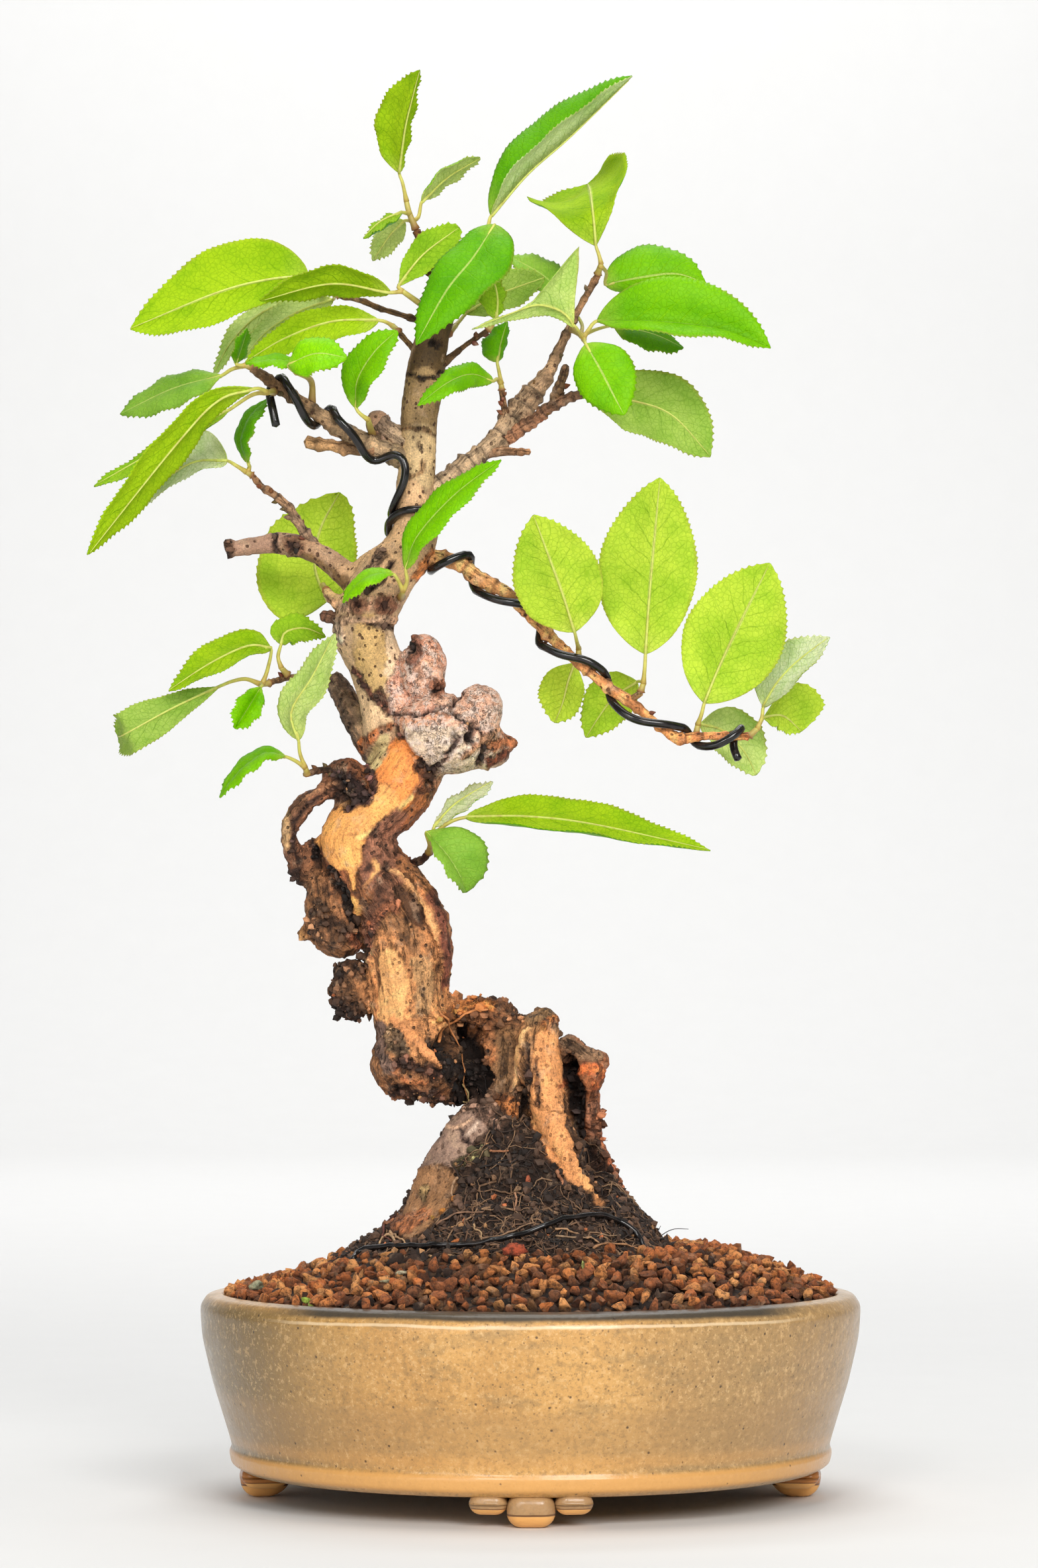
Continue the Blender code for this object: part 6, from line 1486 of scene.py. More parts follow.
def half_width(share, belly, slimness):
    """A leaf's half width along its rib, 1 at the belly and nearly 0 at both ends."""
    share = np.clip(share, 1e-4, 1 - 1e-4)
    rise = slimness * belly
    wide = (share / belly) ** rise * ((1 - share) / (1 - belly)) ** (slimness - rise)
    return np.maximum(wide, 0.012)


# Leaves whose outline differs from the common one: a blunt one, a narrow one in the crown, and a folded
# one at the right with both edges given point by point (share of its length, column, row, depth)
ODD_OUTLINES = {
    ("shoot_bud_collar", 0): {"slimness": 0.95},
    ("shoot_crown", 1): {"right": (36, 4, -6)},
    ("shoot_right_mid", 0): {
        "rib": ((866, 494, -8), (858, 479, -9), (840, 467, -10), (809, 461, -13),
                (773, 473, -17), (745, 484, -20), (712, 498, -24)),
        "edges": (((0.0, 866, 495, -8), (0.12, 850, 484, -8), (0.25, 830, 478, -9), (0.4, 806, 478, -12),
                   (0.55, 783, 482, -15), (0.7, 760, 487, -18), (0.85, 737, 493, -21), (1.0, 712, 498, -24)),
                  ((0.0, 866, 493, -8), (0.1, 869, 445, -8), (0.2, 875, 404, -8), (0.27, 875, 372, -8),
                   (0.33, 840, 412, -10), (0.38, 823, 433, -11), (0.43, 803, 458, -13), (0.55, 783, 468, -15),
                   (0.7, 760, 476, -18), (0.85, 735, 487, -21), (1.0, 712, 498, -24))),
    },
}


def reached(places, base):
    """The places with their depths spread away from the depth of the shoot's base."""
    return [(column, row, base + LEAF_REACH * (depth - base)) for column, row, depth in places]


print("half width at the quarters:", half_width(np.array((0.25, 0.5, 0.75)), 0.44, SLIMNESS).round(2))


# %% One blade
def blade(shape, side_up, draw):
    """Grid of points (stations, across, 3), their surface coordinates and the rib's line."""
    teeth = int(min(max(path_length(shape["rib"]) / TOOTH_SPACING, LEAST_TEETH), MOST_TEETH))
    count = teeth * 3 + 1
    rib = smooth_path(shape["rib"], count)
    whole = rib[-1, :2] - rib[0, :2]
    whole /= np.hypot(*whole)
    ahead = np.gradient(rib[:, :2], axis=0)
    ahead = ahead / np.hypot(*ahead.T)[:, None] + 0.35 * whole
    ahead /= np.hypot(*ahead.T)[:, None]
    side = np.stack([ahead[:, 1], -ahead[:, 0]], axis=1)
    share = np.linspace(0.0, 1.0, count)
    wide = half_width(share, shape["belly"], shape.get("slimness", SLIMNESS))
    saw = np.tile((0.0, 0.12, 1.0), teeth + 1)[:count]
    tooth = saw * TOOTH_HEIGHT * np.minimum(1.0, 3.0 * wide) * (0.5 + 0.5 * share)
    rib_line = spots(rib)
    halves = []
    for number, (key, hand) in enumerate((("left", 1), ("right", -1))):
        reach, deep, along = shape[key]
        if "edges" in shape:
            knots = np.array(shape["edges"][number], float)
            edge = np.column_stack([np.interp(share, knots[:, 0], knots[:, k]) for k in (1, 2, 3)])
            out = edge[:, :2] - rib[:, :2]
            out = out / (np.hypot(*out.T)[:, None] + 1e-6) * 0.7
        else:
            edge = rib[:, :2] + hand * side * (reach * wide)[:, None] + ahead * (along * wide)[:, None]
            edge = np.column_stack([edge, rib[:, 2] + deep * wide])
            out = hand * side * math.copysign(1.0, reach) + 0.9 * ahead
        toothed = edge.copy()
        toothed[:, :2] += out * tooth[:, None]
        halves.append((spots(edge), spots(toothed)))
    run = np.gradient(rib_line, axis=0)
    lead = unit(np.cross(run, halves[0][0] - halves[1][0]))
    columns = []
    marks = []
    ripple, phase = draw.uniform(2.0, 3.4), draw.uniform(0, 6.28)
    for k in range(-ACROSS, ACROSS + 1):
        u = OUTWARD[abs(k)]
        span = halves[int(k >= 0)][int(abs(k) == ACROSS)] - rib_line
        width = np.linalg.norm(span, axis=1)
        normal = unit(np.cross(run, span) * (1.0 if k < 0 else -1.0))
        normal = (1 - min(1.0, u * 2)) * lead + min(1.0, u * 2) * normal
        arch = 0.16 * width * 4 * u * (1 - u) * side_up
        vein = share * 9.0 - 2.1 * u**0.85 + (0.11 if k > 0 else -0.11)
        fade = np.minimum(1.0, 2 * wide)
        quilt = np.cos(math.tau * vein) * 0.06 * MM * side_up * min(1.0, 3 * u) * fade
        wave = np.sin(math.tau * ripple * share + phase + (1.3 if k > 0 else 0.0)) * 0.35 * MM * u**2
        columns.append(rib_line + span * u + normal * (arch - quilt + wave * fade)[:, None])
        marks.append(np.column_stack([np.full(count, math.copysign(u, k)), share]))
    grid = np.stack(columns, axis=1)
    return grid, np.stack(marks, axis=1), rib_line, lead


print("rows of points across a blade:", 2 * ACROSS + 1)

# %% Both faces of a blade, its rim and its rib
# The surface place of a stalk, so far from any midrib that no vein falls on it
NO_VEINS = (3.0, 0.0, 0.0)


def add_blade(build, shape, look, seed, draw):
    """Both faces of a blade, its rim and its raised rib."""
    side_up, tone, other = LEAF_TONES[look]
    grid, marks, rib_line, lead = blade(shape, side_up, draw)
    count, wide = grid.shape[:2]
    normal = unit(np.cross(np.gradient(grid, axis=0), np.gradient(grid, axis=1)))
    if (normal * lead[:, None]).sum() < 0:
        normal = -normal
    thin = np.full((count, wide, 1), BLADE_HALF_THICK)
    thin[:, (0, -1)] *= 0.35
    index = np.arange(count * wide).reshape(count, wide)
    quads = np.stack([index[:-1, :-1], index[1:, :-1], index[1:, 1:], index[:-1, 1:]], axis=-1)
    quads = quads.reshape(-1, 4)
    place = np.concatenate([marks, np.full((count, wide, 1), seed)], axis=2).reshape(-1, 3)
    share = marks[..., 1].reshape(-1)
    front = grid + normal * thin
    back = grid - normal * thin
    straight = np.dot(np.cross(front[3, 4] - front[2, 4], front[3, 5] - front[3, 4]), normal[3, 4]) > 0
    front_quads, back_quads = (quads, quads[:, ::-1]) if straight else (quads[:, ::-1], quads)
    glow = 0.93 + 0.1 * (draw.random() - 0.5)
    for points, faces, paint, upper in (
        (front, front_quads, tone, side_up > 0), (back, back_quads, other, side_up < 0)):
        paint = colour(*paint) * glow
        young = np.clip(1.0 - share * 6.0, 0.0, 1.0)[:, None] * 0.4
        paint = paint * (1 - young) + colour(200, 206, 96) * young
        build.add(points.reshape(-1, 3), faces.tolist(), paint, place, 0 if upper else 1)
    start = build.count - 2 * count * wide
    loop = [*index[:, 0], *index[-1, 1:], *index[-2::-1, -1], *index[0, -2:0:-1]]
    rim = []
    for a, b in zip(loop, loop[1:] + loop[:1]):
        rim.append([start + a, start + b, start + b + count * wide, start + a + count * wide])
    if straight:
        rim = [quad[::-1] for quad in rim]
    build.faces += rim
    build.slots += [1] * len(rim)
    rib_line = rib_line[::4] + lead[::4] * (-side_up * 0.2 * MM)
    radii = np.linspace(0.34, 0.07, len(rib_line)) * MM
    build.add(*tube_rings(rib_line, radii, 6), colour(206, 214, 104), NO_VEINS, 2)


print("largest blade:", MOST_TEETH * 3 * ACROSS * 2 * 2, "quads")


# %% Stalks and whole shoots
def add_stalk(build, places, radius_start, radius_end, base_tone, tip_tone):
    """A stalk that is thicker where it starts and changes colour on its way."""
    line = spots(smooth_path(places, max(8, int(path_length(places) / 5))))
    share = np.linspace(0.0, 1.0, len(line))
    radii = radius_start * (1 - share) + radius_end * share
    radii = radii * (1.0 + 0.35 * np.exp(-((share / 0.12) ** 2)))
    share = per_vertex(share, 8)[:, None] ** 0.6
    tone = colour(*base_tone) * (1 - share) + colour(*tip_tone) * share
    build.add(*tube_rings(line, radii, 8), tone, NO_VEINS, 2)


def dress_shoot(name, draw):
    """One piece of a shoot's stem, its stalks and its blades."""
    stem, *leaves = SHOOTS[name]
    base = stem[0][2]
    stem = reached(stem, base)
    build = Build()
    add_stalk(build, stem, 0.8 * MM, 0.6 * MM, (142, 96, 54), (196, 186, 92))
    for number, (shape, look) in enumerate(zip(leaves, LEAF_LOOKS[name].split())):
        shape = {**shape, **{key: reached(shape[key], base) for key in ("petiole", "rib")}}
        shape.update(ODD_OUTLINES.get((name, number), {}))
        rib = shape["rib"]
        inside = [a + 0.3 * (b - a) for a, b in zip(rib[0], rib[1])]
        stalk = [*shape["petiole"], rib[0], inside]
        add_stalk(build, stalk, 0.52 * MM, 0.32 * MM, (190, 160, 78), (206, 212, 100))
        add_blade(build, shape, look, draw.random(), draw)
    piece = build.object(name + "_leaves", [leaf_upper, leaf_under, stem_green])
    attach(piece, "root")
    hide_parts(name)
    return piece


draw = random.Random(23)
leafy = [dress_shoot(name, draw) for name in SHOOTS]
print("leaf faces:", sum(len(piece.data.polygons) for piece in leafy))

# %% [markdown]
# ## Wires
#
# The training wire is annealed aluminium with a black-brown coating: it bends in wide smooth turns round the
# branches. The tie wire holds the root ball down. Both follow the same routes as in the packed part and are
# pushed off the wood wherever they would sink in.

# %% Wire routes
TRAINING_ROUTE = (
    (417, 643, -12), (413, 622, -12), (409, 603, -11.5), (407, 588, -10), (414, 576, -9), (425, 579, -12),
    (438, 583, -12.5), (449, 605, -12), (459, 630, -10), (468, 644, -8), (481, 644, -5.5), (487, 632, -4),
    (494, 627, -4.5), (506, 632, -9), (524, 645, -8.5), (541, 666, -7.5), (551, 688, -6), (561, 701, -4),
    (572, 699, -3.5), (583, 689, -5), (597, 680, -6.2),
    (608, 686, -6.6), (614, 696, -6.6), (616, 706, -6.5),
    (612, 728, -6.5), (602, 748, -5.5), (594, 765, -3), (592, 780, 0), (605, 790, 5), (630, 792, 7.5),
    (655, 787, 5), (668, 779, 0), (660, 774, -5), (640, 770, -6.5), (618, 768, -6.5), (598, 776, -4),
    (587, 792, -0.5), (590, 812, 4), (612, 832, 7.5), (640, 850, 5), (648, 862, -2), (664, 853, -4.5),
    (688, 841, -3.5), (703, 846, -1), (711, 862, 3.5), (716, 886, 0), (728, 897, -3.5), (752, 908, -5),
    (780, 911, -6), (804, 914, -5.5), (817, 930, -2.5), (816, 950, 0.2), (820, 965, -3.5), (832, 983, -6),
    (852, 993, -6.8), (880, 993, -7.3), (902, 1006, -7),
    (920, 1028, -4), (918, 1045, -1.8), (924, 1058, -4.5),
    (942, 1080, -6.8), (972, 1092, -7.3), (1008, 1093, -6.6),
    (1032, 1103, -4.5), (1043, 1110, -1), (1052, 1125, -2),
    (1070, 1131, -4), (1095, 1122, -4.6), (1112, 1108, -4.6),
    (1126, 1097, -3), (1118, 1099, -0.2), (1106, 1110, 0.6),
    (1104, 1124, 0.2), (1107, 1136, -0.6), (1115, 1147, -1.4),
)
TIE_ROUTE = (
    (533, 1905), (545, 1893), (580, 1888), (640, 1886),
    (700, 1884), (760, 1875), (800, 1862), (850, 1843),
    (890, 1838), (930, 1845), (958, 1866), (974, 1896),
)
TRAINING_RADIUS, TIE_RADIUS = 0.95 * MM, 0.65 * MM
print(len(TRAINING_ROUTE), "places of the training wire,", len(TIE_ROUTE), "of the tie wire")


# %% Surfaces that wires and roots lie on
def surface_of(thing):
    """A piece's faces in a form that finds the nearest place on them fast."""
    corners = [tuple(vert.co) for vert in thing.data.vertices]
    return BVHTree.FromPolygons(corners, [tuple(face.vertices) for face in thing.data.polygons])


trunk_surface = surface_of(trunk)
soil_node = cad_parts["soil"]
soil_surface = surface_of(soil_node)


def lifted(path, surface, distance, rounds, smooth_rounds):
    """The path pushed away from a surface, and smoothed in its first rounds."""
    path = [Vector(place) for place in path]
    for turn in range(rounds):
        for k, place in enumerate(path):
            near, normal, _, reach = surface.find_nearest(place)
            inside = (place - near).dot(normal) < 0
            if inside or reach < distance:
                way = normal if inside or reach < 1e-6 else (place - near).normalized()
                path[k] = near + way * distance
        if turn < smooth_rounds:
            path[1:-1] = [(a + 2 * b + c) / 4 for a, b, c in zip(path, path[1:], path[2:])]
    return np.array(path)


def first_hit(column, row, *more):
    """The first place on the wood, the soil or more surfaces that is seen at a pixel."""
    eye = Vector(EYE + POT_AXIS)
    way = (Vector(spots((column, row, 0.0))[0]) - eye).normalized()
    hits = [surface.ray_cast(eye, way) for surface in (trunk_surface, soil_surface, *more)]
    hits = [hit for hit in hits if hit[0] is not None]
    return min(hits, key=lambda hit: hit[3])[0] if hits else None


def laid_on(route, count):
    """Points of the wood or the soil behind a smooth line through (column, row) places."""
    run = smooth_path([(column, row, 0.0) for column, row in route], count)
    found = [first_hit(column, row) for column, row, _ in run]
    return [place for place in found if place is not None]


print("the tie wire's middle is at", [round(value, 3) for value in laid_on(TIE_ROUTE, 3)[1]])

# %% Wire finish
wire_coat = Finish("black_brown_wire", Roughness=0.34)
wire_wear = wire_coat.mottle(wire_coat.body_place(), 420.0, 4.0)
worn_share = wire_coat.step_up(wire_wear, 0.45, 0.7)
wire_tone = wire_coat.blend(worn_share, (0.006, 0.005, 0.005), (0.022, 0.016, 0.014))
wire_coat.feed("Base Color", wire_tone)
wire_coat.feed("Roughness", wire_coat.spread(wire_wear, 0.12, 0.24))
wire_coat.emboss(wire_wear, 0.0001, 0.2)
print("wire coating:", len(wire_coat.tree.nodes), "nodes")


# %% The two wires
def wire_piece(name, node, line, radius):
    """A round wire along a line, in place of the packed part's node."""
    build = Build()
    build.add(*tube_rings(line, radius, 12), (0, 0, 0))
    piece = build.object(name, [wire_coat])
    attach(piece, "root")
    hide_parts(node)
    return piece


training_line = lifted(spots(smooth_path(TRAINING_ROUTE, 230)), trunk_surface, 1.0 * MM, 14, 9)
training = wire_piece("training_wire_bent", "training_wire", training_line, TRAINING_RADIUS)
tie_line = lifted(laid_on(TIE_ROUTE, 70), trunk_surface, 0.7 * MM, 10, 7)
tie = wire_piece("tie_wire_bent", "tie_wire", tie_line, TIE_RADIUS)
print("wires:", len(training_line), "and", len(tie_line), "points")

# %% [markdown]
# ## Fine roots
#
# The old root ball is a felt of hair roots and dark soil. Blender's hair would draw thousands, but hair isn't
# mesh. Instead short strands wander over the skin of the root ball: each step goes on in nearly the same
# direction and is pulled back to the surface.

# %% Finish of roots and crumbs
root_felt = Finish("root_threads", Roughness=0.8)
root_grain = root_felt.mottle(root_felt.body_place(), 800.0, 4.0)
root_tone = root_felt.painted()
root_shade = root_felt.blend(0.5, root_tone, (0.02, 0.012, 0.008))
root_tone = root_felt.blend(root_felt.step_up(root_grain, 0.4, 0.7), root_tone, root_shade)
root_felt.feed("Base Color", root_tone)
root_felt.emboss(root_grain, 0.0002, 0.6)
print("root finish:", len(root_felt.tree.nodes), "nodes")


# %% Root strands over the ball
def strand(start, way, steps, step, lift, draw):
    """A line that wanders from start over the crumbly parts of the trunk's skin."""
    place, line = Vector(start), []
    for _ in range(steps):
        near, normal, face, _ = trunk_surface.find_nearest(place)
        corner = trunk.data.polygons[face].vertices[0]
        if corner >= len(skin) or wood_kind[corner, 2] < 0.8:
            break
        line.append(near + normal * lift * (0.4 + 1.2 * draw.random()))
        turn = Vector((draw.uniform(-1, 1), draw.uniform(-1, 1), draw.uniform(-1, 1)))
        way = way + turn * 0.5
        way = (way - normal * way.dot(normal)).normalized()
        place = near + way * step
    return np.array(line)


STRANDS = 760
STRAND_TONES = ((34, 26, 22), (56, 41, 33), (104, 76, 56), (46, 35, 29), (150, 116, 86), (124, 92, 66))
draw = random.Random(31)
threads = Build()
for _ in range(STRANDS):
    angle = draw.uniform(-math.pi, 0.35) if draw.random() < 0.72 else draw.uniform(0, math.tau)
    height = draw.uniform(52.5, 66.0) if draw.random() < 0.7 else draw.uniform(60.0, 84.0)
    radius = 36.0 - (height - 52.0) * 0.9
    start = POT_AXIS + np.array((-3.0 + radius * math.cos(angle), radius * math.sin(angle), height)) * MM
    way = Vector((draw.uniform(-1, 1), draw.uniform(-0.4, 0.4), draw.uniform(-0.8, 0.3))).normalized()
    steps = draw.randint(7, 18)
    line = strand(start, way, steps, draw.uniform(1.0, 1.8) * MM, 0.35 * MM, draw)
    if len(line) < 4 or line[:, 2].min() < 50.5 * MM:
        continue
    thick = draw.choice((0.12, 0.16, 0.2, 0.3)) * MM
    tone = draw.choice(STRAND_TONES)
    threads.add(*tube_rings(line, np.linspace(thick, 0.4 * thick, len(line)), 5), colour(*tone))
print(threads.count, "vertices of strands")

# %% Rootlets that lie on the ball: colour, width in pixels, places (column, row)
ROOTLETS = (
    ((206, 160, 112), 2.6, ((648, 1902), (672, 1900), (696, 1904), (717, 1902))),
    ((204, 166, 124), 3.4, ((604, 1884), (592, 1866), (584, 1870), (572, 1884))),
    ((196, 156, 116), 3.0, ((592, 1864), (606, 1872), (612, 1884))),
    ((172, 132, 96), 2.6, ((836, 1860), (862, 1862), (886, 1872), (906, 1882))),
    ((176, 128, 88), 2.8, ((892, 1888), (930, 1882), (960, 1890), (984, 1906))),
    ((150, 116, 88), 2.4, ((730, 1874), (762, 1868), (784, 1856), (808, 1848))),
    ((190, 154, 112), 2.4, ((716, 1850), (724, 1864), (730, 1876))),
    ((176, 138, 104), 3.0, ((694, 1780), (686, 1798), (688, 1818))),
    ((150, 112, 86), 2.4, ((664, 1852), (690, 1838), (716, 1832), (730, 1834))),
    ((160, 130, 100), 2.2, ((842, 1872), (880, 1874), (912, 1870), (940, 1868))),
    ((176, 128, 96), 2.6, ((780, 1806), (778, 1820), (776, 1832))),
    ((180, 120, 84), 4.2, ((838, 1772), (844, 1782), (848, 1792))),
    ((170, 112, 76), 2.6, ((742, 1738), (758, 1744), (770, 1740))),
    ((214, 140, 84), 2.2, ((665, 1536), (680, 1560), (694, 1590), (700, 1612), (703, 1656))),
    ((222, 144, 84), 3.4, ((658, 1572), (668, 1556), (684, 1544), (712, 1526), (740, 1522))),
    ((196, 168, 112), 2.4, ((700, 1640), (708, 1656), (704, 1668))),
    ((112, 60, 46), 3.2, ((594, 1838), (584, 1850), (582, 1866), (590, 1878))),
)
for tone, width, places in ROOTLETS:
    line = lifted(laid_on(places, 14), trunk_surface, 0.8 * MM, 4, 2)
    thick = 0.7 * breadth(width)
    knotted = 1.0 + 0.25 * np.sin(np.arange(len(line)) * 2.2)
    radii = np.linspace(thick, 0.6 * thick, len(line)) * knotted
    threads.add(*tube_rings(line, radii, 6), colour(*tone))
print(threads.count, "vertices with rootlets")

# %% Hair roots that stand off the ball at its sides: colour, width, places (column, row, depth)
HAIRS = (
    ((92, 44, 34), 3.2, ((928, 1786, 0), (944, 1800, -1), (956, 1828, -1), (966, 1852, -1), (978, 1872, 0))),
    ((40, 32, 30), 1.8, ((984, 1884, 0), (1000, 1866, -1), (1018, 1857, -2), (1040, 1857, -2))),
    ((36, 30, 28), 1.6, ((990, 1888, 0), (1008, 1880, -1), (1024, 1880, -2))),
    ((36, 30, 28), 1.6, ((980, 1878, 0), (990, 1868, -1), (998, 1852, -1))),
    ((52, 40, 34), 1.6, ((996, 1894, 0), (1016, 1892, -1), (1030, 1882, -2), (1040, 1878, -2))),
    ((40, 32, 30), 1.4, ((972, 1862, 0), (978, 1852, -1), (986, 1846, -1))),
    ((60, 42, 36), 1.4, ((898, 1720, 0), (908, 1724, -1), (918, 1723, -1))),
    ((84, 46, 38), 2.6, ((598, 1836, -1), (586, 1844, -2), (578, 1860, -2), (580, 1878, -2))),
)
for tone, width, places in HAIRS:
    line = spots(smooth_path(places, 14))
    thick = breadth(width) / 2
    threads.add(*tube_rings(line, np.linspace(thick, 0.5 * thick, len(line)), 6), colour(*tone))
fine_roots = threads.object("fine_roots", [root_felt])
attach(fine_roots, "root")
print("root strand faces:", len(fine_roots.data.polygons))

# %% [markdown]
# ## Crumbs
#
# Where the old wood rots and where black soil clings to the roots, the surface breaks up into crumbs of about
# a millimetre. They stand off the skin, so they are small jittered pieces set on it, thickest where the kind
# of surface is most crumbly, and each takes its colour from the skin under it.

# %% Crumbs on rotten wood and on the root ball
CRUMBS = 6500
CRUMBLY_ENOUGH = 0.72
BRIGHT_CRUMBS = ((214, 124, 76), (196, 144, 96), (150, 110, 80))


def jittered(verts, most, draw):
    """The points of a ball moved in or out, each by its own share of up to most."""
    return verts * (1.0 + np.array([draw.uniform(-most, most) for _ in verts])[:, None])


draw = random.Random(41)
crumb_ball, faces = unit_ball(1)
crumbs_on = Build()
chosen = np.flatnonzero(wood_kind[:, 2] > CRUMBLY_ENOUGH)
for index in draw.sample(list(chosen), min(len(chosen), CRUMBS)):
    size = draw.choice((0.3, 0.4, 0.5, 0.7, 0.95)) * MM
    verts = jittered(crumb_ball, 0.35, draw)
    stretch = np.array([draw.uniform(0.6, 1.3) for _ in range(3)])
    level = draw.choice((0.25, 0.4, 0.7, 1.0, 1.6, 2.8))
    tone = wood_tone[index] * min(level, 0.75 / max(wood_tone[index]))
    if draw.random() < 0.035:
        size *= 0.8
        tone = colour(*draw.choice(BRIGHT_CRUMBS))
    place = skin[index] + skin_normals[index] * size * draw.uniform(0.0, 0.6)
    crumbs_on.add(place + verts * stretch * size, faces, np.clip(tone, 0.0, 1.0))
crumb_piece = crumbs_on.object("bark_crumbs", [root_felt], smooth=False)
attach(crumb_piece, "root")
print("crumb faces:", len(crumb_piece.data.polygons))

# %% [markdown]
# ## Soil of baked clay grains
#
# Bonsai soil is sieved baked clay in angular grains of three to four millimetres. A bump on the mound would
# look flat at its rim, so the grains are real: one small ball, with its points jittered and cut flat on a few
# sides, is repeated with new sizes, turns and tones, spread by throwing points that keep their distance.

# %% One angular grain
GRAIN_BALL, GRAIN_FACES = unit_ball(2)
FLAT_SIDES = 7


def grain_shape(draw):
    """A ball that is jittered, cut flat on some sides, turned and stretched."""
    verts = jittered(GRAIN_BALL, 0.2, draw)
    for _ in range(FLAT_SIDES):
        cut = np.array([draw.gauss(0, 1) for _ in range(3)])
        cut /= np.linalg.norm(cut)
        over = verts @ cut - draw.uniform(0.3, 0.7)
        verts = verts - np.clip(over, 0.0, None)[:, None] * cut
    verts = jittered(verts, 0.12, draw)
    angle = draw.uniform(0, math.tau)
    turn = np.array(Matrix.Rotation(angle, 3, Vector([draw.gauss(0, 1) for _ in range(3)])))
    return verts @ turn.T * [draw.uniform(0.9, 1.4) for _ in range(3)]


print("grain of", len(GRAIN_FACES), "faces")


# %% The mound that the grains lie on
# Radii in mm where the mound starts at the wall and where it ends at the ball
SOIL_EDGE, MOUND_TOP = 68.0, 37.8


def mound(radius, angle):
    """Height in mm of the packed soil's top at this distance from the middle."""
    share = min(max((SOIL_EDGE - radius) / (SOIL_EDGE - MOUND_TOP), 0.0), 1.0)
    height = 44.4 * (1 - share) ** 2 + 52.3 * (1 - (1 - share) ** 2) + 1.9 * share**2
    return height - 2.4 * 4 * share * (1 - share) * max(0.0, -math.cos(angle))


print("mound from", mound(SOIL_EDGE, 0.0), "to", round(mound(MOUND_TOP, 0.0), 1), "mm")

# %% Seats of the grains in two layers: how far apart they lie in mm, and how many are wanted
GRAIN_LAYERS = ((2.3, 1450), (2.75, 950))
THROWS = 26000
NEAREST, FURTHEST = 33.0, 67.6
BALL_RADIUS = 35.6
draw = random.Random(5)
seats = []
for layer, (gap, wanted) in enumerate(GRAIN_LAYERS):
    laid = []
    for _ in range(THROWS):
        if len(laid) >= wanted:
            break
        radius = math.sqrt(draw.uniform(NEAREST**2, FURTHEST**2))
        angle = draw.uniform(0, math.tau)
        x, y = radius * math.cos(angle), radius * math.sin(angle)
        if any(abs(x - a) < gap and abs(y - b) < gap and math.hypot(x - a, y - b) < gap for a, b in laid):
            continue
        if math.hypot(x - BALL_MIDDLE, y) < BALL_RADIUS:
            continue
        laid.append((x, y))
        seats.append((x, y, mound(radius, angle) + (0.2 if layer == 0 else 1.5), layer))
print(len(seats), "grains")

# %% Grains of clay: warm tones, darker and often sooty near the root ball, with painted shade on the lower layer and on each grain's lower side, and painted light on the upper layer
GRAIN_TONES = ((218, 150, 88), (208, 136, 76), (200, 122, 64), (190, 110, 56), (176, 100, 52), (156, 90, 50),
               (130, 80, 48))
SOOTY_TONE = (62, 45, 36)
grains = Build()
for x, y, z, layer in seats:
    shape = grain_shape(draw)
    size = draw.uniform(1.15, 1.85)
    if draw.random() < 0.12:
        size *= 0.65
    tone = draw.choice(GRAIN_TONES)
    near_ball = max(0.0, 1.0 - (math.hypot(x - BALL_MIDDLE, y) - 36.0) / 6.0)
    if draw.random() < 0.04 + 0.3 * near_ball:
        tone = SOOTY_TONE
    # Painted light on the upper layer (times 1.5) and painted shade on the lower layer (times 0.35)
    level = draw.uniform(0.8, 1.25) * (1.0 - 0.35 * near_ball) * (1.5 if layer else 0.35)
    # Painted shade: each grain darker towards its lower side
    underside_shade = 0.18 + 0.82 * np.clip(shape[:, 2:] * 0.9 + 0.55, 0.0, 1.0)
    verts = POT_AXIS + (np.array((x, y, z)) + shape * size) * MM
    grains.add(verts, GRAIN_FACES, colour(*tone) * level * underside_shade)
print(grains.count, "vertices of grains")

# %% Finish of the clay, and of the packed soil under it
clay = Finish("baked_clay_grain", Roughness=0.88)
clay_place = clay.body_place()
clay_pores = clay.mottle(clay_place, 900.0, 6.0, 0.75)
clay_dust = clay.mottle(clay_place, 300.0, 4.0)
clay_tone = clay.painted()
pore_tone = clay.blend(0.75, clay_tone, (0.04, 0.018, 0.009))
clay_tone = clay.blend(clay.step_up(clay_pores, 0.38, 0.56), pore_tone, clay_tone)
dust_tone = clay.blend(0.4, clay_tone, (0.78, 0.5, 0.3))
clay_tone = clay.blend(clay.step_up(clay_dust, 0.55, 0.75), clay_tone, dust_tone)
clay.feed("Base Color", clay_tone)
clay.emboss(clay_pores, 0.0012, 1.0)
grain_piece = grains.object("clay_grains", [clay], smooth=False)
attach(grain_piece, "root")

# Packed soil under the grains: dark soil colour, darkened further as painted shade for the gaps between the
# grains, blackest at its cell edges
packed = Finish("packed_soil", Roughness=0.95)
packed_cells = packed.cells(packed.body_place(), 420.0)
packed_gaps = packed.step_up(packed_cells, 0.2, 0.6)
packed_tone = packed.blend(packed_gaps, (0.09, 0.045, 0.022), (0.016, 0.009, 0.006))
packed.feed("Base Color", packed_tone)
packed.emboss(packed_cells, -0.001, 0.8)
soil_node.data.materials.clear()
soil_node.data.materials.append(packed.material)
print("grain faces:", len(grain_piece.data.polygons))

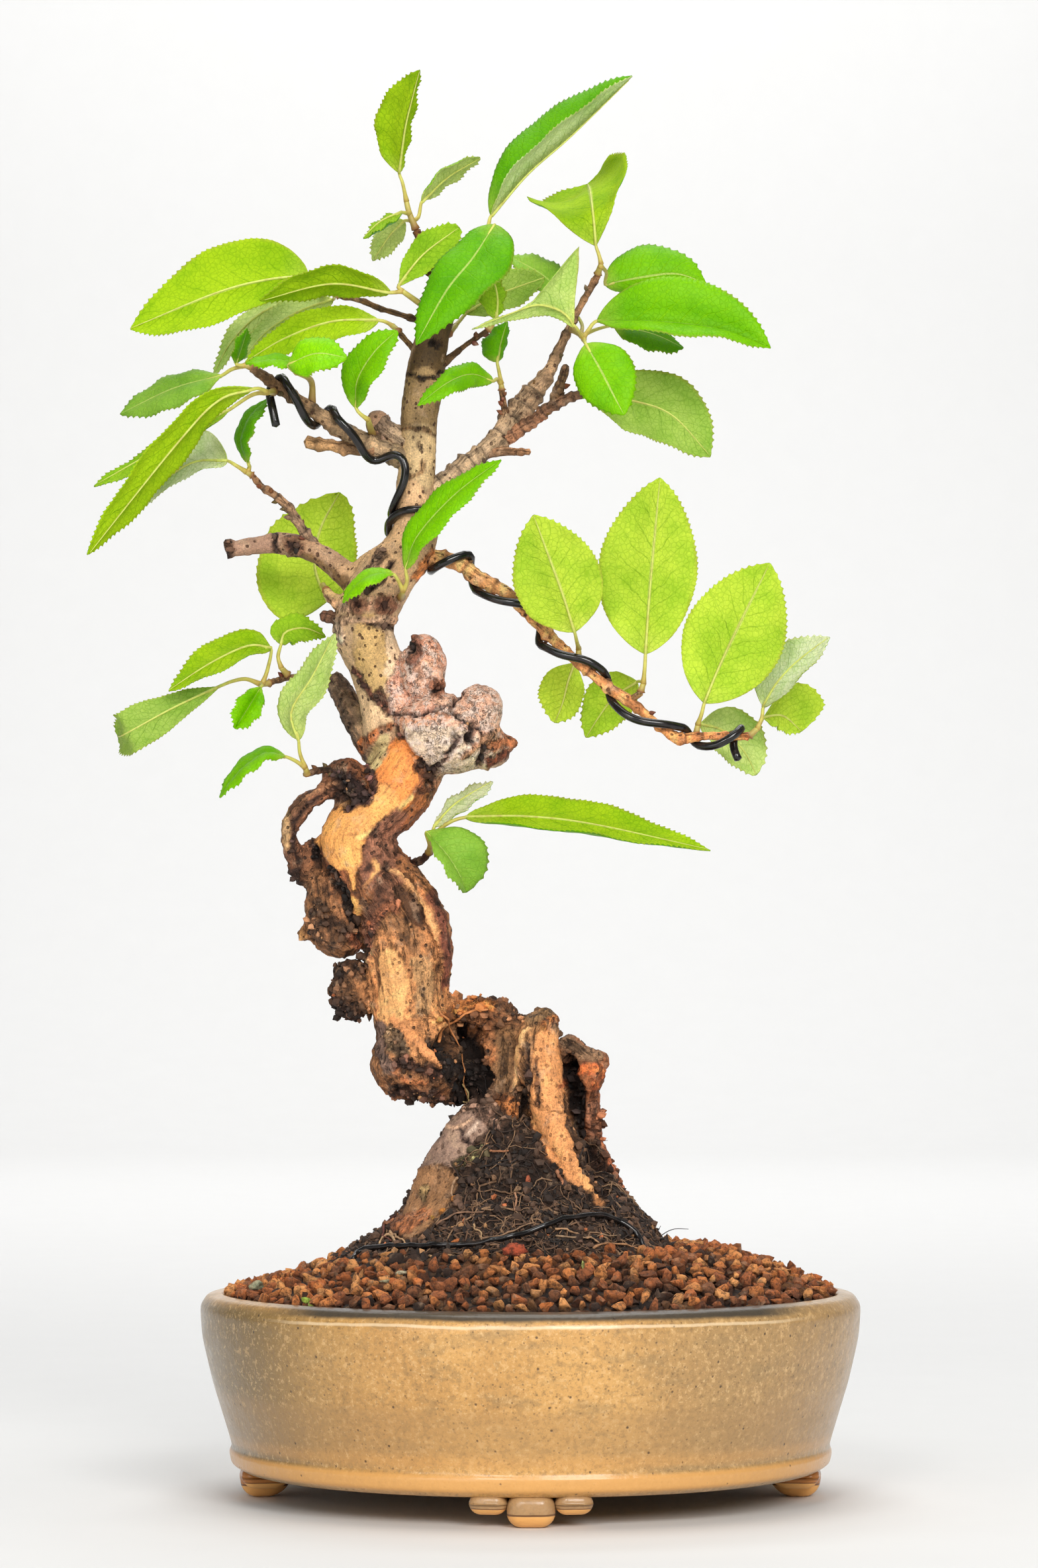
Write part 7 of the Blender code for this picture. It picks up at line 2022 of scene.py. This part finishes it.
# %% Litter on the soil and beads of clay caught in the roots: colour, half sizes in mm, place (column, row)
LITTER = (
    ((226, 214, 176), (2.6, 0.35, 0.7), (606, 1926)),
    ((206, 198, 156), (1.5, 0.35, 0.6), (584, 1938)),
    ((196, 226, 92), (1.2, 0.3, 0.9), (462, 1966)),
    ((214, 236, 120), (0.8, 0.3, 0.7), (472, 1974)),
    ((206, 214, 122), (0.5, 0.4, 0.9), (880, 1914)),
    ((190, 196, 158), (2.0, 1.2, 1.1), (388, 1944)),
    ((232, 148, 70), (0.6, 0.6, 1.0), (684, 1814)),
    ((240, 156, 72), (0.8, 0.6, 0.7), (668, 1832)),
    ((250, 186, 92), (0.6, 0.5, 0.7), (654, 1842)),
    ((212, 112, 74), (1.0, 0.8, 1.1), (798, 1786)),
    ((230, 134, 72), (1.4, 0.9, 0.7), (692, 1878)),
    ((214, 98, 62), (2.3, 1.2, 1.3), (776, 1892)),
    ((176, 128, 92), (0.9, 0.7, 0.7), (714, 1792)),
    ((170, 128, 94), (0.9, 0.7, 0.8), (744, 1782)),
    ((188, 146, 108), (1.0, 0.7, 0.9), (782, 1800)),
    ((150, 110, 80), (0.9, 0.7, 0.8), (860, 1798)),
)
draw = random.Random(67)
scraps = Build()
grain_surface = surface_of(grain_piece)
for tone, halves, (column, row) in LITTER:
    shape = grain_shape(draw)
    below = (first_hit(column, row + lower, grain_surface) for lower in range(0, 90, 3))
    rests = next(hit for hit in below if hit is not None)
    raised = (0.0, -0.6 * halves[1], 0.5 * halves[2])
    scraps.add(np.array(rests) + (shape * halves + raised) * MM, GRAIN_FACES, colour(*tone))
litter = scraps.object("soil_litter", [clay])
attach(litter, "root")
print(len(LITTER), "scraps of litter")

# %% [markdown]
# ## The pot
#
# A thrown stoneware pot with a rolled lip, a foot band and four cloud feet of three lobes. It is turned from
# its section like on a wheel, with a little waviness so that the glaze catches the light unevenly. The glaze
# is olive tan with fine speckles, thin and warm at the edges; painted shade darkens both flanks, and the
# middle of the lip has a painted dark band with a painted highlight line under it.

# %% The wall's section (radius, height in mm), down the outside, under and up inside
POT_SECTION = (
    (69.8, 46.0), (72.9, 45.4), (74.4, 43.0), (74.0, 36.0), (71.7, 25.8), (68.6, 16.2), (67.3, 11.9),
    (67.9, 10.4), (67.4, 8.0), (64.4, 6.2), (8.0, 6.2), (8.0, 12.0), (59.0, 12.0), (62.4, 14.4),
    (65.2, 24.0), (68.0, 40.0), (68.9, 45.2),
)
POT_TURNS = 200


def rounded_section(section, steps):
    """The section with its long spans divided and its corners eased."""
    points = np.array(section)
    closed = np.vstack([points, points[:1]])
    fine = []
    for a, b in zip(closed, closed[1:]):
        fine += [a + (b - a) * k / steps for k in range(steps)]
    fine = np.array(fine)
    for _ in range(2):
        fine = (np.roll(fine, 1, axis=0) + 2 * fine + np.roll(fine, -1, axis=0)) / 4
    return fine


section = rounded_section(POT_SECTION, 6)
print("section of", len(section), "points")

# %% Turned wall with the unevenness of hand work
turns = np.linspace(0.0, math.tau, POT_TURNS, endpoint=False)
pot_verts = []
for radius, height in section:
    wave = 0.12 * np.sin(2 * turns + 0.6) + 0.08 * np.sin(5 * turns + height * 0.05)
    spots_round = [Vector((2.2 * math.cos(t), 2.2 * math.sin(t), height * 0.06)) for t in turns]
    wave += np.array([noise.noise(spot) for spot in spots_round]) * 0.22
    reach = (radius + (wave - 0.25 if radius > 60 else 0.0)) * MM
    level = np.full(POT_TURNS, height * MM)
    pot_verts.append(np.column_stack([reach * np.cos(turns), reach * np.sin(turns), level]))
pot_verts = np.concatenate(pot_verts) + POT_AXIS
index = np.arange(len(pot_verts)).reshape(len(section), POT_TURNS)
after = np.roll(index, -1, axis=1)
below = np.roll(index, -1, axis=0)
below_after = np.roll(below, -1, axis=1)
pot_quads = np.stack([index, below, below_after, after], axis=-1).reshape(-1, 4).tolist()
pot_build = Build()
pot_build.add(pot_verts, pot_quads, (1, 1, 1))
print("wall of", len(pot_quads), "faces")


# %% Cloud feet: the half width of each lobe in mm, how high it ends, how far aside it stands
LOBES = ((5.15, 0.0, 0.0), (4.1, 2.7, -8.85), (4.1, 2.7, 8.85))
TOE_CIRCLE = 60.6


def toe(half_wide, lift, angle, sideways):
    """One lobe of a foot: a block that slants in under the pot, bevelled round."""
    body = bmesh.new()
    bmesh.ops.create_cube(body, size=2.0)
    for vert in body.verts:
        outside = vert.co.x > 0
        if vert.co.z > 0:
            radial, height = (65.8 if outside else 50.5), 7.4 * MM
        else:
            radial, height = (64.6 if outside else 56.6), lift
        vert.co = Vector((radial * MM, vert.co.y * half_wide, height))
    bmesh.ops.bevel(body, geom=list(body.edges), offset=0.62 * half_wide, segments=6, profile=0.5,
                    affect="EDGES")
    bmesh.ops.recalc_face_normals(body, faces=body.faces)
    turn = Matrix.Rotation(angle + sideways / (TOE_CIRCLE * MM), 3, "Z")
    bmesh.ops.rotate(body, matrix=turn, verts=body.verts)
    verts, faces = shape_of(body)
    return verts + POT_AXIS, faces


for k in range(4):
    angle = -math.pi / 2 + k * math.tau / 4
    for half_wide, lift, aside in LOBES:
        verts, faces = toe(half_wide * MM, lift * MM, angle, aside * MM)
        up_foot = (verts[:, 2] / MM - lift) / (3.2 if lift else 6.4)
        pot_build.add(verts, faces, np.column_stack([0 * up_foot, up_foot, 0 * up_foot + k % 2]))
print("pot:", pot_build.count, "vertices")

# %% Glaze
glaze = Finish("olive_tan_glaze", Roughness=0.3, Coat_Weight=0.35, Coat_Roughness=0.14,
               Specular_IOR_Level=0.35)
at_pot = glaze.body_place()
broad, _, high = glaze.parts(at_pot)
cloud = glaze.mottle(at_pot, 28.0, 5.0, 0.62)
fleck = glaze.mottle(at_pot, 1100.0, 4.0, 0.75)
curdle = glaze.mottle(at_pot, 640.0, 4.0, 0.7)
drift = glaze.mottle(glaze.stretched(at_pot, (1.0, 1.0, 3.0)), 70.0, 4.0)
pinhole = glaze.step_up(glaze.cells(at_pot, 260.0), 0.1, 0.04)
fine_dots = glaze.step_up(glaze.cells(at_pot, 720.0), 0.2, 0.12)
sideways = glaze.plus(broad, glaze.times(drift, 0.012))
wave = glaze.plus(high, glaze.times(cloud, 0.002))
# in_front is 1 across the middle of the pot, front and back, and 0 at its flanks: the lip's painted shade and
# painted highlight lie there
in_front = glaze.step_up(glaze.reckon("ABSOLUTE", glaze.minus(broad, 0.014)), 0.062, 0.046)
print("glaze patterns:", len(glaze.tree.nodes), "nodes")


# %% Where each tone of the glaze lies
def band(height, start, full, fading, end):
    """1 from one height to another, 0 below and above, with soft edges."""
    return glaze.times(glaze.step_up(height, start, full), glaze.step_up(height, end, fading))


# Painted shade: the left flank of the pot darkened, below the lip
left_flank_shade = glaze.times(glaze.step_up(sideways, -0.01, -0.048), glaze.step_up(high, 0.0465, 0.0435))
dots = glaze.times(fine_dots, glaze.step_up(drift, 0.42, 0.52))
# Painted shade: a dark band along the top of the lip's middle
lip_band_shade = glaze.times(glaze.step_up(wave, 0.0446, 0.0456), in_front)
# Painted highlight: a pale line under the lip's dark band
lip_highlight_band = glaze.times(band(wave, 0.0434, 0.0437, 0.0440, 0.0443), in_front)
wash = band(high, 0.0120, 0.0135, 0.0140, 0.0165)
brown_zone = band(wave, 0.0150, 0.0175, 0.0245, 0.0275)
edge_band = band(high, 0.0070, 0.0080, 0.0108, 0.0118)
on_wall, up_foot, on_side = glaze.parts(glaze.painted())
on_foot = glaze.minus(1.0, on_wall)
up_foot = glaze.plus(up_foot, glaze.times(drift, 0.12))
bare = glaze.times(on_foot, glaze.step_up(up_foot, 0.5, 0.44))
seam = glaze.times(on_foot, band(up_foot, 0.46, 0.485, 0.52, 0.545))
print("with their places:", len(glaze.tree.nodes), "nodes")

# %% Tones laid over one another: where, how strongly, which colour
GLAZE_COATS = (
    # Painted shade on the left flank
    (left_flank_shade, 0.92, (0.16, 0.108, 0.036)),
    # Painted shade on the right flank
    (glaze.step_up(sideways, 0.028, 0.06), 0.8, (0.38, 0.235, 0.095)),
    (glaze.step_up(drift, 0.5, 0.72), 0.5, (0.32, 0.21, 0.09)),
    (glaze.step_up(curdle, 0.5, 0.62), 0.4, (0.26, 0.16, 0.065)),
    (glaze.step_up(curdle, 0.46, 0.36), 0.4, (0.78, 0.5, 0.23)),
    (dots, 0.7, (0.16, 0.09, 0.035)),
    (glaze.step_up(fleck, 0.55, 0.64), 0.45, (0.18, 0.1, 0.04)),
    (glaze.step_up(fleck, 0.42, 0.34), 0.45, (0.84, 0.58, 0.28)),
    # Painted shade on the lip
    (lip_band_shade, 0.95, (0.045, 0.038, 0.028)),
    # Painted highlight line under the lip
    (lip_highlight_band, 0.6, (0.86, 0.66, 0.42)),
    (wash, 0.4, (0.62, 0.32, 0.1)),
    (brown_zone, 0.4, (0.38, 0.22, 0.085)),
    (edge_band, 0.85, (0.72, 0.37, 0.11)),
    (pinhole, 0.8, (0.05, 0.028, 0.015)),
    (on_foot, 0.7, (0.36, 0.225, 0.12)),
    (glaze.times(on_foot, on_side), 0.85, (0.5, 0.18, 0.035)),
    (bare, 1.0, glaze.blend(cloud, (0.9, 0.5, 0.17), (0.8, 0.38, 0.1))),
    (seam, 0.85, (0.12, 0.045, 0.015)),
)
skin_tone = glaze.blend(glaze.step_up(cloud, 0.36, 0.64), (0.54, 0.285, 0.085), (0.66, 0.365, 0.115))
for share, weight, other in GLAZE_COATS:
    skin_tone = glaze.blend(glaze.times(share, weight), skin_tone, other)
glaze.feed("Base Color", skin_tone)
satin = glaze.put(
    "MapRange", {"Value": drift, "From Min": 0.3, "From Max": 0.7, "To Min": 0.26, "To Max": 0.42})
satin = glaze.put("Mix", {0: bare, 2: satin, 3: 0.75}, data_type="FLOAT")
glaze.feed("Roughness", satin)
uneven = glaze.plus(glaze.times(glaze.mottle(at_pot, 240.0, 3.0), 0.8), glaze.times(fleck, 0.2))
glaze.emboss(glaze.minus(uneven, glaze.times(pinhole, 0.5)), 0.0007, 0.5)
pot_piece = pot_build.object("glazed_pot", [glaze])
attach(pot_piece, "root")
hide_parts("pot")
print("glaze:", len(glaze.tree.nodes), "nodes in", len(GLAZE_COATS), "coats")

# %% The drain screen's finish
mesh_plastic = Finish("screen_plastic", Roughness=0.5)
mesh_grain = mesh_plastic.mottle(mesh_plastic.body_place(), 600.0, 3.0)
mesh_tone = mesh_plastic.blend(mesh_grain, (0.02, 0.02, 0.02), (0.035, 0.034, 0.03))
mesh_plastic.feed("Base Color", mesh_tone)
mesh_plastic.emboss(mesh_grain, 0.0002, 0.4)
screen_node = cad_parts["drain_screen"]
screen_node.data.materials.clear()
screen_node.data.materials.append(mesh_plastic.material)
print("pot faces:", len(pot_piece.data.polygons))

# %% [markdown]
# ## Floor, light and camera
#
# The photograph was taken on white paper under large soft lights, so the floor is a pale sheet that curves up
# behind. The camera stands a metre away with a long lens, at a third of the tree's height, and tilts up by
# three degrees, as the lip and the foot of the pot show.

# %% Floor and backdrop in one sweep
paper = Finish("white_paper", Roughness=0.9)
paper_grain = paper.mottle(paper.body_place(), 40.0, 3.0)
paper.feed("Base Color", paper.blend(paper_grain, (0.75, 0.748, 0.74), (0.77, 0.768, 0.76)))
HALF_WIDE, BEND_START, BEND_RADIUS, SHEET_TOP = 3.0, 2.3, 0.8, 4.0
bend = np.linspace(0.1, math.pi / 2, 14)
sweep = [(-HALF_WIDE, 0.0), (BEND_START, 0.0)]
sweep += [(BEND_START + BEND_RADIUS * math.sin(a), BEND_RADIUS * (1.0 - math.cos(a))) for a in bend]
sweep += [(BEND_START + BEND_RADIUS, SHEET_TOP)]
sheet = Build()
rows = np.array([(x, y, z) for y, z in sweep for x in (-HALF_WIDE, HALF_WIDE)])
sheet.add(rows, [[2 * k, 2 * k + 1, 2 * k + 3, 2 * k + 2] for k in range(len(sweep) - 1)], (1, 1, 1))
floor = sheet.object("paper_sweep", [paper])
floor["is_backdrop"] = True
print("paper sheet of", len(floor.data.polygons), "faces")


# %% Lights
def soft_light(name, place, aim, side, power, tint=(1.0, 1.0, 1.0)):
    """A square lamp of so many metres and watts that shines from its place to its aim."""
    data = bpy.data.lights.new(name, "AREA")
    data.shape = "SQUARE"
    data.size = side
    data.energy = power
    data.color = tint
    thing = bpy.data.objects.new(name, data)
    thing.location = place
    thing.rotation_euler = (Vector(aim) - Vector(place)).to_track_quat("-Z", "Y").to_euler()
    bpy.context.scene.collection.objects.link(thing)


WARM_WHITE = (1.0, 0.99, 0.97)
soft_light("key", (0.5, -1.5, 0.8), (0.0, 0.0, 0.14), 0.7, 19.0, WARM_WHITE)
soft_light("second_key", (-0.34, -1.45, 0.8), (0.0, 0.0, 0.14), 0.34, 5.5, WARM_WHITE)
soft_light("fill", (-0.8, -1.4, 0.3), (0.0, 0.0, 0.06), 0.8, 4.5)
soft_light("top", (0.0, 0.0, 1.6), (0.0, 0.0, 0.1), 0.9, 11.0)
soft_light("backdrop", (0.0, 1.5, 2.1), (0.0, 2.9, 0.4), 1.5, 44.0)
world = bpy.data.worlds.new("studio")
world.use_nodes = True
sky = world.node_tree.nodes["Background"]
sky.inputs["Color"].default_value = (0.98, 0.985, 1.0, 1.0)
sky.inputs["Strength"].default_value = 0.22
bpy.context.scene.world = world
bpy.context.scene.view_settings.view_transform = "Standard"
print(len(bpy.data.lights), "lamps")

# %% Camera
SENSOR = 36.0
PICTURE_HEIGHT = 2369.0
camera_data = bpy.data.cameras.new("camera")
camera_data.sensor_width = SENSOR
camera_data.lens = FOCAL * SENSOR / PICTURE_HEIGHT
camera = bpy.data.objects.new("camera", camera_data)
camera.location = EYE + POT_AXIS
camera.rotation_euler = (math.pi / 2 + PITCH, 0.0, 0.0)
bpy.context.scene.collection.objects.link(camera)
bpy.context.scene.camera = camera
print("camera at", tuple(round(v, 3) for v in camera.location))

# %% [markdown]
# ## Keep the size and finish
#
# The dressed part has to stay the size of the packed one, so no point may leave the packed part's box. Points
# that stick out by a hair, such as leaf tips, are set back on it. Then the packed part's box is printed.

# %% Keep inside the box, print the packed part's box, finish
low, high_corner = (np.array(corner) for corner in part_box)
for piece in (*leafy, trunk, training, tie, fine_roots, crumb_piece, grain_piece, litter, pot_piece):
    flat = np.empty(len(piece.data.vertices) * 3)
    piece.data.vertices.foreach_get("co", flat)
    flat = np.clip(flat.reshape(-1, 3), low, high_corner).ravel()
    piece.data.vertices.foreach_set("co", flat)
    piece.data.update()
[[list(corner) for corner in box] for box in (part_box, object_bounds())]
print("part", [round(v, 4) for corner in part_box for v in corner])
